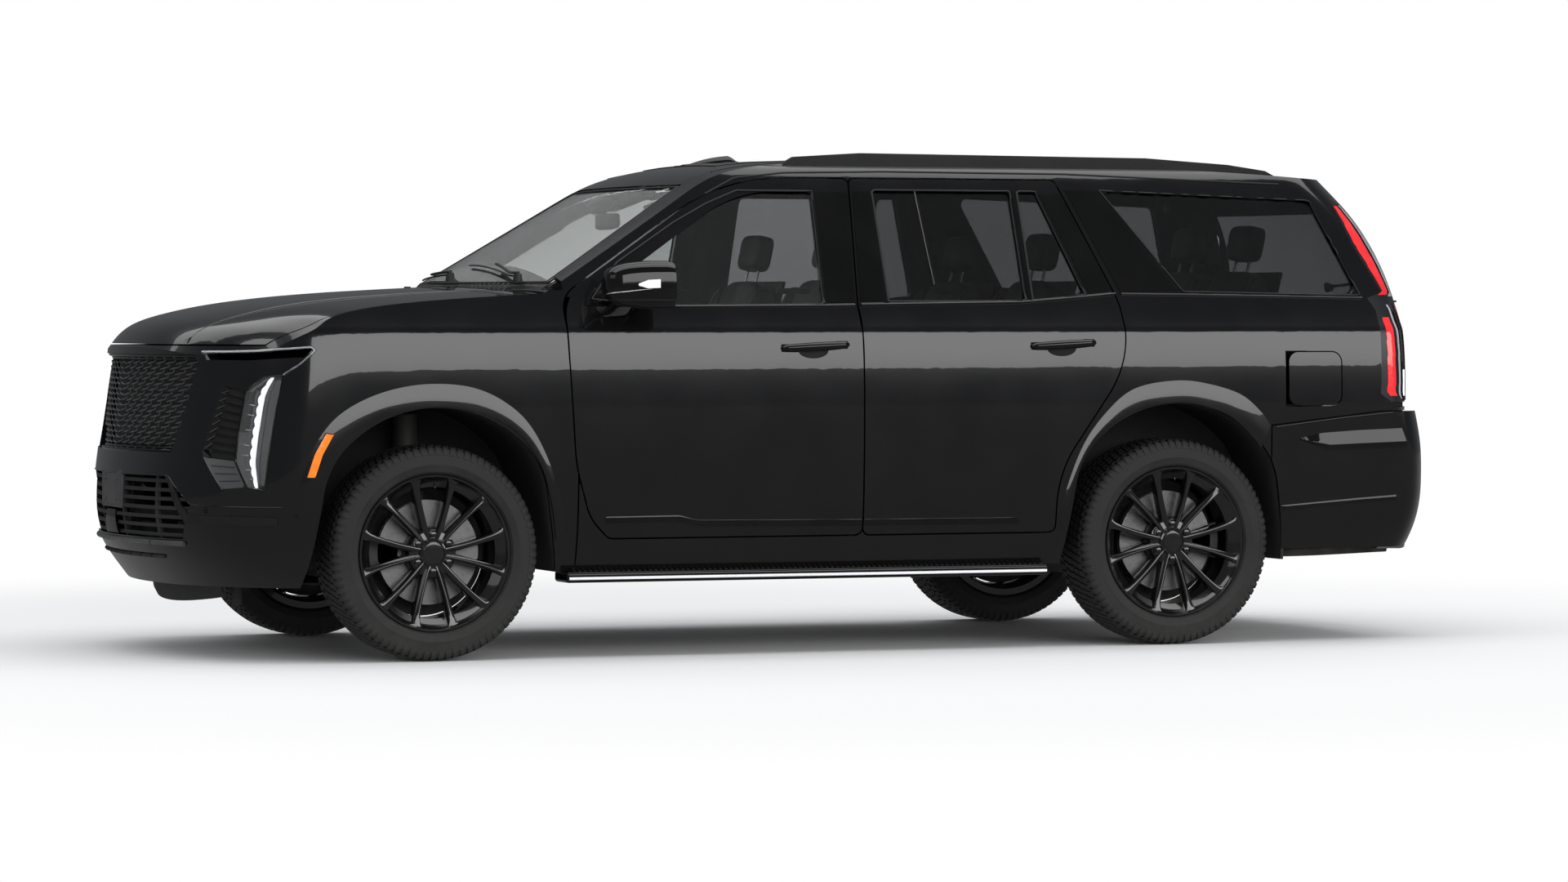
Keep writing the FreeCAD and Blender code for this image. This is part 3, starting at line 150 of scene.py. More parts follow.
def stud(bm: bmesh.types.BMesh, foot: float, head: float, height: float, corners: int,
         matrix: Matrix) -> None:
    """Adds a short round or cornered stud.

    Args:
        bm: the mesh it goes into.
        foot: radius of its foot in millimetres.
        head: radius of its head.
        height: its height.
        corners: corners round it.
        matrix: its turn and the place of its middle.
    """
    bmesh.ops.create_cone(bm, cap_ends=True, segments=corners, radius1=foot * MM, radius2=head * MM,
                          depth=height * MM, matrix=matrix)


def brick(size: Point, edge: float) -> bmesh.types.BMesh:
    """Makes a small rounded block about the origin.

    Args:
        size: length, width and height in millimetres.
        edge: radius of its edges in millimetres.

    Returns:
        The new mesh.
    """
    work = bmesh.new()
    bmesh.ops.create_cube(work, size=1.0)
    bmesh.ops.scale(work, vec=Vector(size) * MM, verts=work.verts)
    soften(work, work.edges[:], edge * MM)
    return work


def prism(bm: bmesh.types.BMesh, corners: Sequence[Vector], step: Vector, edge: float = 0.0,
          segments: int = 2) -> None:
    """Adds a block with the given outline, pulled along a vector, with its long edges rounded.

    Args:
        bm: the mesh it goes into.
        corners: the outline.
        step: the pull.
        edge: radius of the rounding in metres, 0 for none.
        segments: steps in the rounding.
    """
    work = bmesh.new()
    extrude(work, [panel(work, corners)], step)
    bmesh.ops.recalc_face_normals(work, faces=work.faces)
    if edge:
        soften(work, work.edges[:], edge, segments)
    absorb(bm, work)


def absorb(bm: bmesh.types.BMesh, work: bmesh.types.BMesh) -> None:
    """Moves the whole of one mesh into another.

    Args:
        bm: the mesh that grows.
        work: the mesh that goes into it and is freed.
    """
    mesh = bpy.data.meshes.new("absorbed")
    work.to_mesh(mesh)
    work.free()
    bm.from_mesh(mesh)
    bpy.data.meshes.remove(mesh)


def block(bm: bmesh.types.BMesh, low: Point, high: Point, edge: float = 4.0, segments: int = 2,
          turn: Matrix | None = None) -> None:
    """Adds a rounded block between two corners of the drawing frame.

    Args:
        bm: the mesh it goes into.
        low: lowest corner in millimetres.
        high: highest corner in millimetres.
        edge: radius of its edges in millimetres.
        segments: steps in each edge.
        turn: a turn about the block's middle.
    """
    work = bmesh.new()
    a, b = place(*low), place(*high)
    size = b - a
    bmesh.ops.create_cube(work, size=1.0)
    bmesh.ops.scale(work, vec=size, verts=work.verts)
    if edge:
        soften(work, work.edges[:], edge * MM, segments)
    if turn is not None:
        bmesh.ops.transform(work, matrix=turn, verts=work.verts)
    bmesh.ops.translate(work, verts=work.verts, vec=(a + b) / 2)
    absorb(bm, work)


def smooth_path(points: Sequence[Vector], steps: int = 6) -> list[Vector]:
    """Reads a Catmull-Rom curve through points.

    Args:
        points: the points that it passes.
        steps: readings between two points.

    Returns:
        The points along the curve.
    """
    p = [2 * points[0] - points[1], *points, 2 * points[-1] - points[-2]]
    out = []
    for i in range(1, len(p) - 2):
        for s in range(steps):
            t = s / steps
            out.append(0.5 * ((2 * p[i]) + (p[i + 1] - p[i - 1]) * t
                              + (2 * p[i - 1] - 5 * p[i] + 4 * p[i + 1] - p[i + 2]) * t * t
                              + (3 * p[i] - p[i - 1] - 3 * p[i + 1] + p[i + 2]) * t ** 3))
    out.append(points[-1])
    return out


def tube(bm: bmesh.types.BMesh, path: Sequence[Vector], radius: float | Sequence[float], sides: int = 12,
         flat: float = 1.0, up: Vector = Vector((0, 0, 1))) -> None:
    """Sweeps a round or flattened section along a path and caps it.

    Args:
        bm: the mesh it goes into.
        path: points in metres.
        radius: one radius in metres, or one for each point.
        sides: corners of the section.
        flat: the section's height as a share of its width.
        up: the direction that stays upright along the path.
    """
    work = bmesh.new()
    radii = [radius] * len(path) if isinstance(radius, (int, float)) else list(radius)
    rings = []
    for i, centre in enumerate(path):
        ahead = path[min(i + 1, len(path) - 1)] - path[max(i - 1, 0)]
        ahead.normalize()
        side = ahead.cross(up)
        if side.length < 1e-4:
            side = ahead.cross(Vector((0, 1, 0)))
        side.normalize()
        rise = side.cross(ahead).normalized()
        turn = Matrix((side, rise * flat, ahead)).transposed().to_4x4()
        turn.translation = centre
        ring = bmesh.ops.create_circle(work, cap_ends=False, radius=max(radii[i], 1e-5), segments=sides,
                                       matrix=turn)
        rings.append(ring["verts"])
    for a, b in zip(rings, rings[1:]):
        edges = list({e for v in (*a, *b) for e in v.link_edges if len(e.link_faces) < 2
                      and all(w in a for w in e.verts) or all(w in b for w in e.verts)})
        bmesh.ops.bridge_loops(work, edges=edges)
    bmesh.ops.holes_fill(work, edges=work.edges[:], sides=0)
    bmesh.ops.recalc_face_normals(work, faces=work.faces)
    absorb(bm, work)


def wall(work: bmesh.types.BMesh, thickness: float) -> None:
    """Gives an open sheet its wall, and settles any corner that a sharp fold in it throws far out.

    Args:
        work: the sheet, changed in place.
        thickness: the wall in metres.
    """
    near = KDTree(len(work.verts))
    for k, vert in enumerate(work.verts):
        near.insert(vert.co, k)
    near.balance()
    bmesh.ops.solidify(work, geom=work.faces[:], thickness=thickness)
    wild = {v for v in work.verts if near.find(v.co)[2] > 3 * abs(thickness)}
    while wild:
        settled = {}
        for vert in wild:
            calm = [e.other_vert(vert).co for e in vert.link_edges if e.other_vert(vert) not in wild]
            if calm:
                settled[vert] = sum(calm, Vector()) / len(calm)
        for vert, spot in settled.items():
            vert.co = spot
        wild = wild - set(settled) if settled else set()


def sheet(rows: Sequence[Sequence[Vector]], thickness: float = 0.0) -> bmesh.types.BMesh:
    """Lays a grid over rows of points and gives it a wall.

    Args:
        rows: equal rows of points in metres.
        thickness: wall in metres, laid against the side that the normals point from, 0 for none.

    Returns:
        A new mesh.
    """
    work = bmesh.new()
    bmesh.ops.create_grid(work, x_segments=len(rows[0]) - 1, y_segments=len(rows) - 1, size=1.0)
    work.verts.ensure_lookup_table()
    order = sorted(work.verts, key=lambda v: (round(v.co.y, 4), round(v.co.x, 4)))
    flat = [p for row in rows for p in row]
    for vert, point in zip(order, flat):
        vert.co = point
    bmesh.ops.recalc_face_normals(work, faces=work.faces)
    if thickness:
        wall(work, thickness)
        bmesh.ops.recalc_face_normals(work, faces=work.faces)
    return work


def turned_sheet(rows: Sequence[Sequence[Vector]], thickness: float,
                 way: Vector | None = None) -> bmesh.types.BMesh:
    """Lays a grid over rows of points, turns its faces outward and gives it a wall behind them.

    Args:
        rows: equal rows of points in metres.
        thickness: the wall in metres.
        way: where its faces look, or None for away from the vehicle's middle.

    Returns:
        A new mesh.
    """
    work = sheet(rows)
    facing = sum((f.normal for f in work.faces), Vector())
    if way is None:
        way = sum((v.co for v in work.verts), Vector()) / len(work.verts) - BODY_CENTRE
    if facing.dot(way) < 0:
        bmesh.ops.reverse_faces(work, faces=work.faces)
    wall(work, thickness)
    bmesh.ops.recalc_face_normals(work, faces=work.faces)
    return work


def boxy(value: float, power: float) -> float:
    """Pulls a sine or a cosine outwards, so that a ring of them runs from round towards square."""
    return math.copysign(abs(value) ** power, value)


def mirror_over(bm: bmesh.types.BMesh) -> None:
    """Adds the mirror image of everything across the vehicle's middle plane.

    Args:
        bm: the mesh, changed in place.
    """
    both = bmesh.ops.duplicate(bm, geom=bm.verts[:] + bm.edges[:] + bm.faces[:])
    copies = [g for g in both["geom"] if isinstance(g, bmesh.types.BMVert)]
    faces = [g for g in both["geom"] if isinstance(g, bmesh.types.BMFace)]
    bmesh.ops.scale(bm, vec=Vector((1, -1, 1)), verts=copies)
    bmesh.ops.reverse_faces(bm, faces=faces)


def finish_piece(bm: bmesh.types.BMesh, name: str, material: bpy.types.Material, body: str,
                 smooth: float | None = 35.0, replaces: Sequence[str] = (),
                 weld: float = 1e-5) -> bpy.types.Object:
    """Turns a mesh into a named piece that rides on a body.

    Args:
        bm: the finished mesh, which is freed.
        name: the piece's name.
        material: its finish.
        body: the moving body that carries it.
        smooth: the sharpest angle in degrees that is shaded smooth, or None for flat faces.
        replaces: the CAD nodes that it stands for.
        weld: distance in metres within which vertices are merged.

    Returns:
        The object.
    """
    if weld:
        bmesh.ops.remove_doubles(bm, verts=bm.verts, dist=weld)
    mesh = bpy.data.meshes.new(name)
    for face in bm.faces:
        face.smooth = smooth is not None
    if smooth is not None:
        limit = math.radians(smooth)
        for edge in bm.edges:
            edge.smooth = len(edge.link_faces) == 2 and edge.calc_face_angle(math.pi) < limit
    bm.to_mesh(mesh)
    bm.free()
    mesh.materials.append(material)
    obj = bpy.data.objects.new(name, mesh)
    bpy.context.scene.collection.objects.link(obj)
    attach(obj, body)
    if replaces:
        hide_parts(*replaces)
    LOG.info("%s on %s: %d faces", name, body, len(mesh.polygons))
    return obj


@dataclass
class Skin:
    """The outer surface of some CAD nodes, on which trim is laid.

    Attributes:
        nodes: the nodes' names.
        tree: the search tree of their triangles.
    """

    nodes: tuple[str, ...]
    tree: BVHTree = field(init=False)

    def __post_init__(self) -> None:
        """Joins the nodes' triangles into one search tree."""
        verts, faces = [], []
        for node in self.nodes:
            mesh = FRAME["nodes"][node].data
            start = len(verts)
            verts += [v.co.copy() for v in mesh.vertices]
            faces += [[start + i for i in p.vertices] for p in mesh.polygons]
        self.tree = BVHTree.FromPolygons(verts, faces)

    def hit(self, origin: Vector, direction: Vector) -> tuple[Vector, Vector] | None:
        """Finds where a ray first meets the skin.

        Args:
            origin: start in metres.
            direction: the ray's way.

        Returns:
            The point and the normal that faces the ray, or None.
        """
        point, normal, _, _ = self.tree.ray_cast(origin, direction.normalized())
        if point is None:
            return None
        return point, (-normal if normal.dot(direction) > 0 else normal)

    def from_front(self, y: float, z: float, lift: float = 0.0) -> Vector | None:
        """Reads the skin's nose at a place across it, a little outside it."""
        found = self.hit(place(AHEAD_OF_NOSE, y, z), Vector((1, 0, 0)))
        return found[0] + found[1] * lift if found else None


def between(a: Sequence[tuple[float, float]], b: Sequence[tuple[float, float]],
            across: int) -> list[list[tuple[float, float]]]:
    """Fills the space between two lines of places with rows.

    Args:
        a: one line.
        b: the other, with as many places.
        across: rows between them.

    Returns:
        The rows, from a to b.
    """
    return [[(p[0] + (q[0] - p[0]) * i / across, p[1] + (q[1] - p[1]) * i / across) for p, q in zip(a, b)]
            for i in range(across + 1)]


def resample(line: Sequence[tuple[float, float]], count: int) -> list[tuple[float, float]]:
    """Reads a broken line at evenly spaced places.

    Args:
        line: its corners.
        count: how many places.

    Returns:
        The places, ends included.
    """
    lengths = [0.0]
    for p, q in zip(line, line[1:]):
        lengths.append(lengths[-1] + math.dist(p, q))
    out = []
    for i in range(count):
        at = lengths[-1] * i / (count - 1)
        k = next((j for j in range(1, len(lengths)) if lengths[j] >= at - 1e-9), len(lengths) - 1)
        span = (lengths[k] - lengths[k - 1]) or 1.0
        t = (at - lengths[k - 1]) / span
        out.append(tuple(a + (b - a) * t for a, b in zip(line[k - 1], line[k])))
    return out


def resample_3d(line: Sequence[Point], count: int) -> list[Vector]:
    """Reads a broken line in space at evenly spaced places.

    Args:
        line: its corners in millimetres of the drawing frame.
        count: how many places.

    Returns:
        The places in metres.
    """
    corners = [place(*p) for p in line]
    lengths = [0.0]
    for a, b in zip(corners, corners[1:]):
        lengths.append(lengths[-1] + (b - a).length)
    out = []
    for i in range(count):
        at = lengths[-1] * i / (count - 1)
        k = next((j for j in range(1, len(lengths)) if lengths[j] >= at - 1e-9), len(lengths) - 1)
        span = (lengths[k] - lengths[k - 1]) or 1.0
        out.append(corners[k - 1].lerp(corners[k], (at - lengths[k - 1]) / span))
    return out


@dataclass
class Overlay:
    """Lays patches and beads on a skin from lines measured in the photograph, on one side or on both.

    Attributes:
        skin: the surface that carries them.
    """

    skin: Skin

    def snap(self, spot: Vector, lift: float) -> Vector:
        """Moves a place in metres onto the skin, seen from outside, and lifts it off.

        Args:
            spot: the place in metres.
            lift: metres outside the skin.

        Returns:
            The lifted point.
        """
        core = Vector((min(max(spot.x, place(600, 0, 0).x), place(2700, 0, 0).x), 0.0,
                       min(max(spot.z, 0.5), 1.1)))
        out = (spot - core).normalized()
        point, normal, _, _ = self.skin.tree.ray_cast(spot + out * 0.12, -out, 0.24)
        if point is None or (point - spot).length > 0.06:
            point, normal, _, _ = self.skin.tree.find_nearest(spot)
        if normal.dot(out) < 0:
            normal = -normal
        return point + normal * lift

    def patch(self, first: Sequence[Point], second: Sequence[Point], along: int, across: int, lift: float,
              thickness: float) -> bmesh.types.BMesh:
        """Fills the strip between two lines.

        Args:
            first: one line in millimetres.
            second: the other line.
            along: steps along the lines.
            across: steps between them.
            lift: millimetres that the outer face stands off the skin, negative for inside it.
            thickness: millimetres of wall behind that face.

        Returns:
            A closed sheet.
        """
        a, b = resample_3d(first, along + 1), resample_3d(second, along + 1)
        rows = [[self.snap(p.lerp(q, i / across), lift * MM) for p, q in zip(a, b)]
                for i in range(across + 1)]
        return turned_sheet(rows, thickness * MM)

    def bead(self, line: Sequence[Point], radius: float, lift: float, steps: int = 24, flat: float = 1.0,
             sides: int = 8) -> bmesh.types.BMesh:
        """Lays a round or flattened bead along a line.

        Args:
            line: the line in millimetres.
            radius: the bead's radius in millimetres.
            lift: millimetres that its middle stands off the skin.
            steps: steps along it.
            flat: its height as a share of its width.
            sides: corners of its section.

        Returns:
            The closed bead.
        """
        path = [self.snap(p, lift * MM) for p in resample_3d(line, steps + 1)]
        work = bmesh.new()
        tube(work, path, radius * MM, sides, flat)
        return work


class Grain(Enum):
    """Kinds of fine surface that a finish can have."""

    PEEL = "peel"
    MOULDED = "moulded"
    LEATHER = "leather"
    CAST = "cast"
    BRUSHED = "brushed"
    CARPET = "carpet"
    SMOOTH = "smooth"


class Effects:
    """The shader node groups that several finishes share."""

    def __init__(self) -> None:
        """Builds each group once."""
        self.tone = self._tone()
        self.dust = self._dust()
        self.relief = {Grain.PEEL: self._noise_relief("PaintPeel", 0.0),
                       Grain.MOULDED: self._cell_relief("MouldedGrain", 0.35),
                       Grain.LEATHER: self._cell_relief("LeatherGrain", 0.9),
                       Grain.CAST: self._noise_relief("CastSkin", 6.0),
                       Grain.BRUSHED: self._brushed_relief(),
                       Grain.CARPET: self._noise_relief("CarpetPile", 12.0)}

    @staticmethod
    def _group(name: str, inputs: Sequence[tuple[str, str, object]],
               outputs: Sequence[tuple[str, str]]) -> tuple:
        """Starts a group with named sockets.

        Args:
            name: the group's name.
            inputs: name, socket type and default of each input.
            outputs: name and socket type of each output.

        Returns:
            The tree, its input node and its output node.
        """
        tree = bpy.data.node_groups.new(name, "ShaderNodeTree")
        for label, kind, value in inputs:
            socket = tree.interface.new_socket(label, in_out="INPUT", socket_type=kind)
            if value is not None:
                socket.default_value = value
        for label, kind in outputs:
            tree.interface.new_socket(label, in_out="OUTPUT", socket_type=kind)
        return tree, tree.nodes.new("NodeGroupInput"), tree.nodes.new("NodeGroupOutput")

    def _tone(self) -> bpy.types.NodeTree:
        """Makes the group that wanders between two colours and two roughnesses.

        Returns:
            The node group.
        """
        tree, enter, leave = self._group("ToneWander",
                                         [("Colour", "NodeSocketColor", (0.5, 0.5, 0.5, 1)),
                                          ("Second Colour", "NodeSocketColor", (0.4, 0.4, 0.4, 1)),
                                          ("Scale", "NodeSocketFloat", 6.0),
                                          ("Smoothest", "NodeSocketFloat", 0.3),
                                          ("Roughest", "NodeSocketFloat", 0.5)],
                                         [("Colour", "NodeSocketColor"), ("Roughness", "NodeSocketFloat")])
        where = tree.nodes.new("ShaderNodeTexCoord")
        broad = tree.nodes.new("ShaderNodeTexNoise")
        broad.inputs["Detail"].default_value = 5.0
        tree.links.new(where.outputs["Object"], broad.inputs["Vector"])
        tree.links.new(enter.outputs["Scale"], broad.inputs["Scale"])
        spread = tree.nodes.new("ShaderNodeMapRange")
        spread.inputs["From Min"].default_value = 0.32
        spread.inputs["From Max"].default_value = 0.68
        tree.links.new(broad.outputs["Fac"], spread.inputs["Value"])
        blend = tree.nodes.new("ShaderNodeMix")
        blend.data_type = "RGBA"
        tree.links.new(spread.outputs["Result"], blend.inputs["Factor"])
        tree.links.new(enter.outputs["Colour"], blend.inputs["A"])
        tree.links.new(enter.outputs["Second Colour"], blend.inputs["B"])
        tree.links.new(blend.outputs["Result"], leave.inputs["Colour"])
        gloss = tree.nodes.new("ShaderNodeMapRange")
        tree.links.new(spread.outputs["Result"], gloss.inputs["Value"])
        tree.links.new(enter.outputs["Smoothest"], gloss.inputs["To Min"])
        tree.links.new(enter.outputs["Roughest"], gloss.inputs["To Max"])
        tree.links.new(gloss.outputs["Result"], leave.inputs["Roughness"])
        return tree

    def _dust(self) -> bpy.types.NodeTree:
        """Makes the group that settles a little road dust low on the vehicle.

        Returns:
            The node group.
        """
        tree, enter, leave = self._group("RoadDust", [
            ("Colour", "NodeSocketColor", (0.5, 0.5, 0.5, 1)), ("Roughness", "NodeSocketFloat", 0.4),
            ("Dust Colour", "NodeSocketColor", (0.12, 0.11, 0.10, 1)), ("Top", "NodeSocketFloat", 0.5),
            ("Amount", "NodeSocketFloat", 0.2)],
            [("Colour", "NodeSocketColor"), ("Roughness", "NodeSocketFloat")])
        where = tree.nodes.new("ShaderNodeTexCoord")
        split = tree.nodes.new("ShaderNodeSeparateXYZ")
        tree.links.new(where.outputs["Object"], split.inputs["Vector"])
        fall = tree.nodes.new("ShaderNodeMapRange")
        fall.inputs["From Min"].default_value = 0.0
        fall.inputs["To Min"].default_value = 1.0
        fall.inputs["To Max"].default_value = 0.0
        tree.links.new(split.outputs["Z"], fall.inputs["Value"])
        tree.links.new(enter.outputs["Top"], fall.inputs["From Max"])
        speck = tree.nodes.new("ShaderNodeTexNoise")
        speck.inputs["Scale"].default_value = 38.0
        speck.inputs["Detail"].default_value = 6.0
        tree.links.new(where.outputs["Object"], speck.inputs["Vector"])
        mask = tree.nodes.new("ShaderNodeMath")
        mask.operation = "MULTIPLY"
        tree.links.new(fall.outputs["Result"], mask.inputs[0])
        tree.links.new(speck.outputs["Fac"], mask.inputs[1])
        share = tree.nodes.new("ShaderNodeMath")
        share.operation = "MULTIPLY"
        tree.links.new(mask.outputs["Value"], share.inputs[0])
        tree.links.new(enter.outputs["Amount"], share.inputs[1])
        blend = tree.nodes.new("ShaderNodeMix")
        blend.data_type = "RGBA"
        tree.links.new(share.outputs["Value"], blend.inputs["Factor"])
        tree.links.new(enter.outputs["Colour"], blend.inputs["A"])
        tree.links.new(enter.outputs["Dust Colour"], blend.inputs["B"])
        tree.links.new(blend.outputs["Result"], leave.inputs["Colour"])
        rough = tree.nodes.new("ShaderNodeMath")
        rough.operation = "MULTIPLY_ADD"
        rough.use_clamp = True
        rough.inputs[1].default_value = 0.5
        tree.links.new(share.outputs["Value"], rough.inputs[0])
        tree.links.new(enter.outputs["Roughness"], rough.inputs[2])
        tree.links.new(rough.outputs["Value"], leave.inputs["Roughness"])
        return tree

    def _relief(self, name: str) -> tuple:
        """Starts a relief group with its bump node and its object coordinates.

        Args:
            name: the group's name.

        Returns:
            The group, its input node, its object coordinates and its bump node.
        """
        tree, enter, leave = self._group(name,
                                         [("Scale", "NodeSocketFloat", 100.0),
                                          ("Depth", "NodeSocketFloat", 0.1)],
                                         [("Normal", "NodeSocketVector")])
        where = tree.nodes.new("ShaderNodeTexCoord")
        bump = tree.nodes.new("ShaderNodeBump")
        bump.inputs["Distance"].default_value = 0.002
        tree.links.new(enter.outputs["Depth"], bump.inputs["Strength"])
        tree.links.new(bump.outputs["Normal"], leave.inputs["Normal"])
        return tree, enter, where, bump

    def _noise_relief(self, name: str, detail: float) -> bpy.types.NodeTree:
        """Makes a relief of soft waves, or of rough grains where the detail is high.

        Args:
            name: the group's name.
            detail: the noise's detail.

        Returns:
            The node group.
        """
        tree, enter, where, bump = self._relief(name)
        noise = tree.nodes.new("ShaderNodeTexNoise")
        noise.inputs["Detail"].default_value = detail
        noise.inputs["Roughness"].default_value = 0.6
        tree.links.new(where.outputs["Object"], noise.inputs["Vector"])
        tree.links.new(enter.outputs["Scale"], noise.inputs["Scale"])
        tree.links.new(noise.outputs["Fac"], bump.inputs["Height"])
        return tree

    def _cell_relief(self, name: str, wrinkle: float) -> bpy.types.NodeTree:
        """Makes a relief of small cells, wrinkled together by a broader noise.

        Args:
            name: the group's name.
            wrinkle: how strongly the cells are wrinkled.

        Returns:
            The node group.
        """
        tree, enter, where, bump = self._relief(name)
        cells = tree.nodes.new("ShaderNodeTexVoronoi")
        cells.feature = "SMOOTH_F1"
        tree.links.new(where.outputs["Object"], cells.inputs["Vector"])
        tree.links.new(enter.outputs["Scale"], cells.inputs["Scale"])
        fold = tree.nodes.new("ShaderNodeTexNoise")
        fold.inputs["Scale"].default_value = 60.0
        fold.inputs["Detail"].default_value = 8.0
        tree.links.new(where.outputs["Object"], fold.inputs["Vector"])
        both = tree.nodes.new("ShaderNodeMath")
        both.operation = "MULTIPLY_ADD"
        both.inputs[1].default_value = wrinkle
        tree.links.new(fold.outputs["Fac"], both.inputs[0])
        tree.links.new(cells.outputs["Distance"], both.inputs[2])
        tree.links.new(both.outputs["Value"], bump.inputs["Height"])
        return tree

    def _brushed_relief(self) -> bpy.types.NodeTree:
        """Makes a relief of fine turned rings about the wheels' axle direction.

        Returns:
            The node group.
        """
        tree, enter, where, bump = self._relief("TurnedRings")
        wave = tree.nodes.new("ShaderNodeTexNoise")
        stretch = tree.nodes.new("ShaderNodeVectorMath")
        stretch.operation = "MULTIPLY"
        stretch.inputs[1].default_value = (1.0, 0.05, 1.0)
        tree.links.new(where.outputs["Object"], stretch.inputs[0])
        tree.links.new(stretch.outputs["Vector"], wave.inputs["Vector"])
        tree.links.new(enter.outputs["Scale"], wave.inputs["Scale"])
        tree.links.new(wave.outputs["Fac"], bump.inputs["Height"])
        return tree


@dataclass(frozen=True)
class Finish:
    """One solid finish, built from the shared effects.

    Attributes:
        name: the material's name.
        colour: its main colour.
        second: the colour it wanders to.
        smoothest: lowest roughness.
        roughest: highest roughness.
        metallic: 1 for bare metal.
        coat: clear coat's weight.
        coat_roughness: clear coat's roughness.
        specular: strength of the base's own reflection.
        grain: kind of fine relief.
        grain_scale: relief cells to a metre.
        grain_depth: the relief's strength.
        tone_scale: scale of the colour's wandering.
        dust: share of road dust low down.
        dust_top: height in metres where the dust ends.
        glow: light that the finish gives off.
        sheen: soft sheen's weight.
    """

    name: str
    colour: tuple[float, float, float]
    second: tuple[float, float, float]
    smoothest: float = 0.3
    roughest: float = 0.45
    metallic: float = 0.0
    coat: float = 0.0
    coat_roughness: float = 0.03
    specular: float = 0.5
    grain: Grain = Grain.SMOOTH
    grain_scale: float = 200.0
    grain_depth: float = 0.1
    tone_scale: float = 5.0
    dust: float = 0.0
    dust_top: float = 0.6
    glow: float = 0.0
    sheen: float = 0.0

    def build(self, effects: Effects) -> bpy.types.Material:
        """Makes the node material.

        Args:
            effects: the shared groups.

        Returns:
            The material.
        """
        material = bpy.data.materials.new(self.name)
        material.use_nodes = True
        tree = material.node_tree
        shader = tree.nodes["Principled BSDF"]
        shader.inputs["Metallic"].default_value = self.metallic
        shader.inputs["Specular IOR Level"].default_value = self.specular
        shader.inputs["Coat Weight"].default_value = self.coat
        shader.inputs["Coat Roughness"].default_value = self.coat_roughness
        shader.inputs["Sheen Weight"].default_value = self.sheen
        tone = tree.nodes.new("ShaderNodeGroup")
        tone.node_tree = effects.tone
        tone.inputs["Colour"].default_value = (*self.colour, 1)
        tone.inputs["Second Colour"].default_value = (*self.second, 1)
        tone.inputs["Scale"].default_value = self.tone_scale
        tone.inputs["Smoothest"].default_value = self.smoothest
        tone.inputs["Roughest"].default_value = self.roughest
        source = tone
        if self.dust:
            source = tree.nodes.new("ShaderNodeGroup")
            source.node_tree = effects.dust
            source.inputs["Top"].default_value = self.dust_top
            source.inputs["Amount"].default_value = self.dust
            tree.links.new(tone.outputs["Colour"], source.inputs["Colour"])
            tree.links.new(tone.outputs["Roughness"], source.inputs["Roughness"])
        tree.links.new(source.outputs["Colour"], shader.inputs["Base Color"])
        tree.links.new(source.outputs["Roughness"], shader.inputs["Roughness"])
        if self.glow:
            tree.links.new(source.outputs["Colour"], shader.inputs["Emission Color"])
            shader.inputs["Emission Strength"].default_value = self.glow
        if self.grain is not Grain.SMOOTH:
            relief = tree.nodes.new("ShaderNodeGroup")
            relief.node_tree = effects.relief[self.grain]
            relief.inputs["Scale"].default_value = self.grain_scale
            relief.inputs["Depth"].default_value = self.grain_depth
            tree.links.new(relief.outputs["Normal"], shader.inputs["Normal"])
        return material


@dataclass(frozen=True)
class Glazing:
    """A clear or tinted pane.

    Attributes:
        name: the material's name.
        tint: the colour that light takes passing each face.
        roughness: haze of the face.
        ior: how strongly it bends light.
        ripple: strength of its slow waviness.
    """

    name: str
    tint: tuple[float, float, float]
    roughness: float = 0.0
    ior: float = 1.45
    ripple: float = 0.02

    def build(self, effects: Effects) -> bpy.types.Material:
        """Makes the glass material.

        Args:
            effects: the shared groups.

        Returns:
            The material.
        """
        material = bpy.data.materials.new(self.name)
        material.use_nodes = True
        tree = material.node_tree
        shader = tree.nodes["Principled BSDF"]
        shader.inputs["Transmission Weight"].default_value = 1.0
        shader.inputs["IOR"].default_value = self.ior
        shader.inputs["Roughness"].default_value = self.roughness
        tone = tree.nodes.new("ShaderNodeGroup")
        tone.node_tree = effects.tone
        tone.inputs["Colour"].default_value = (*self.tint, 1)
        tone.inputs["Second Colour"].default_value = (*[c * 0.94 for c in self.tint], 1)
        tone.inputs["Scale"].default_value = 1.5
        tree.links.new(tone.outputs["Colour"], shader.inputs["Base Color"])
        relief = tree.nodes.new("ShaderNodeGroup")
        relief.node_tree = effects.relief[Grain.PEEL]
        relief.inputs["Scale"].default_value = 9.0
        relief.inputs["Depth"].default_value = self.ripple
        tree.links.new(relief.outputs["Normal"], shader.inputs["Normal"])
        return material


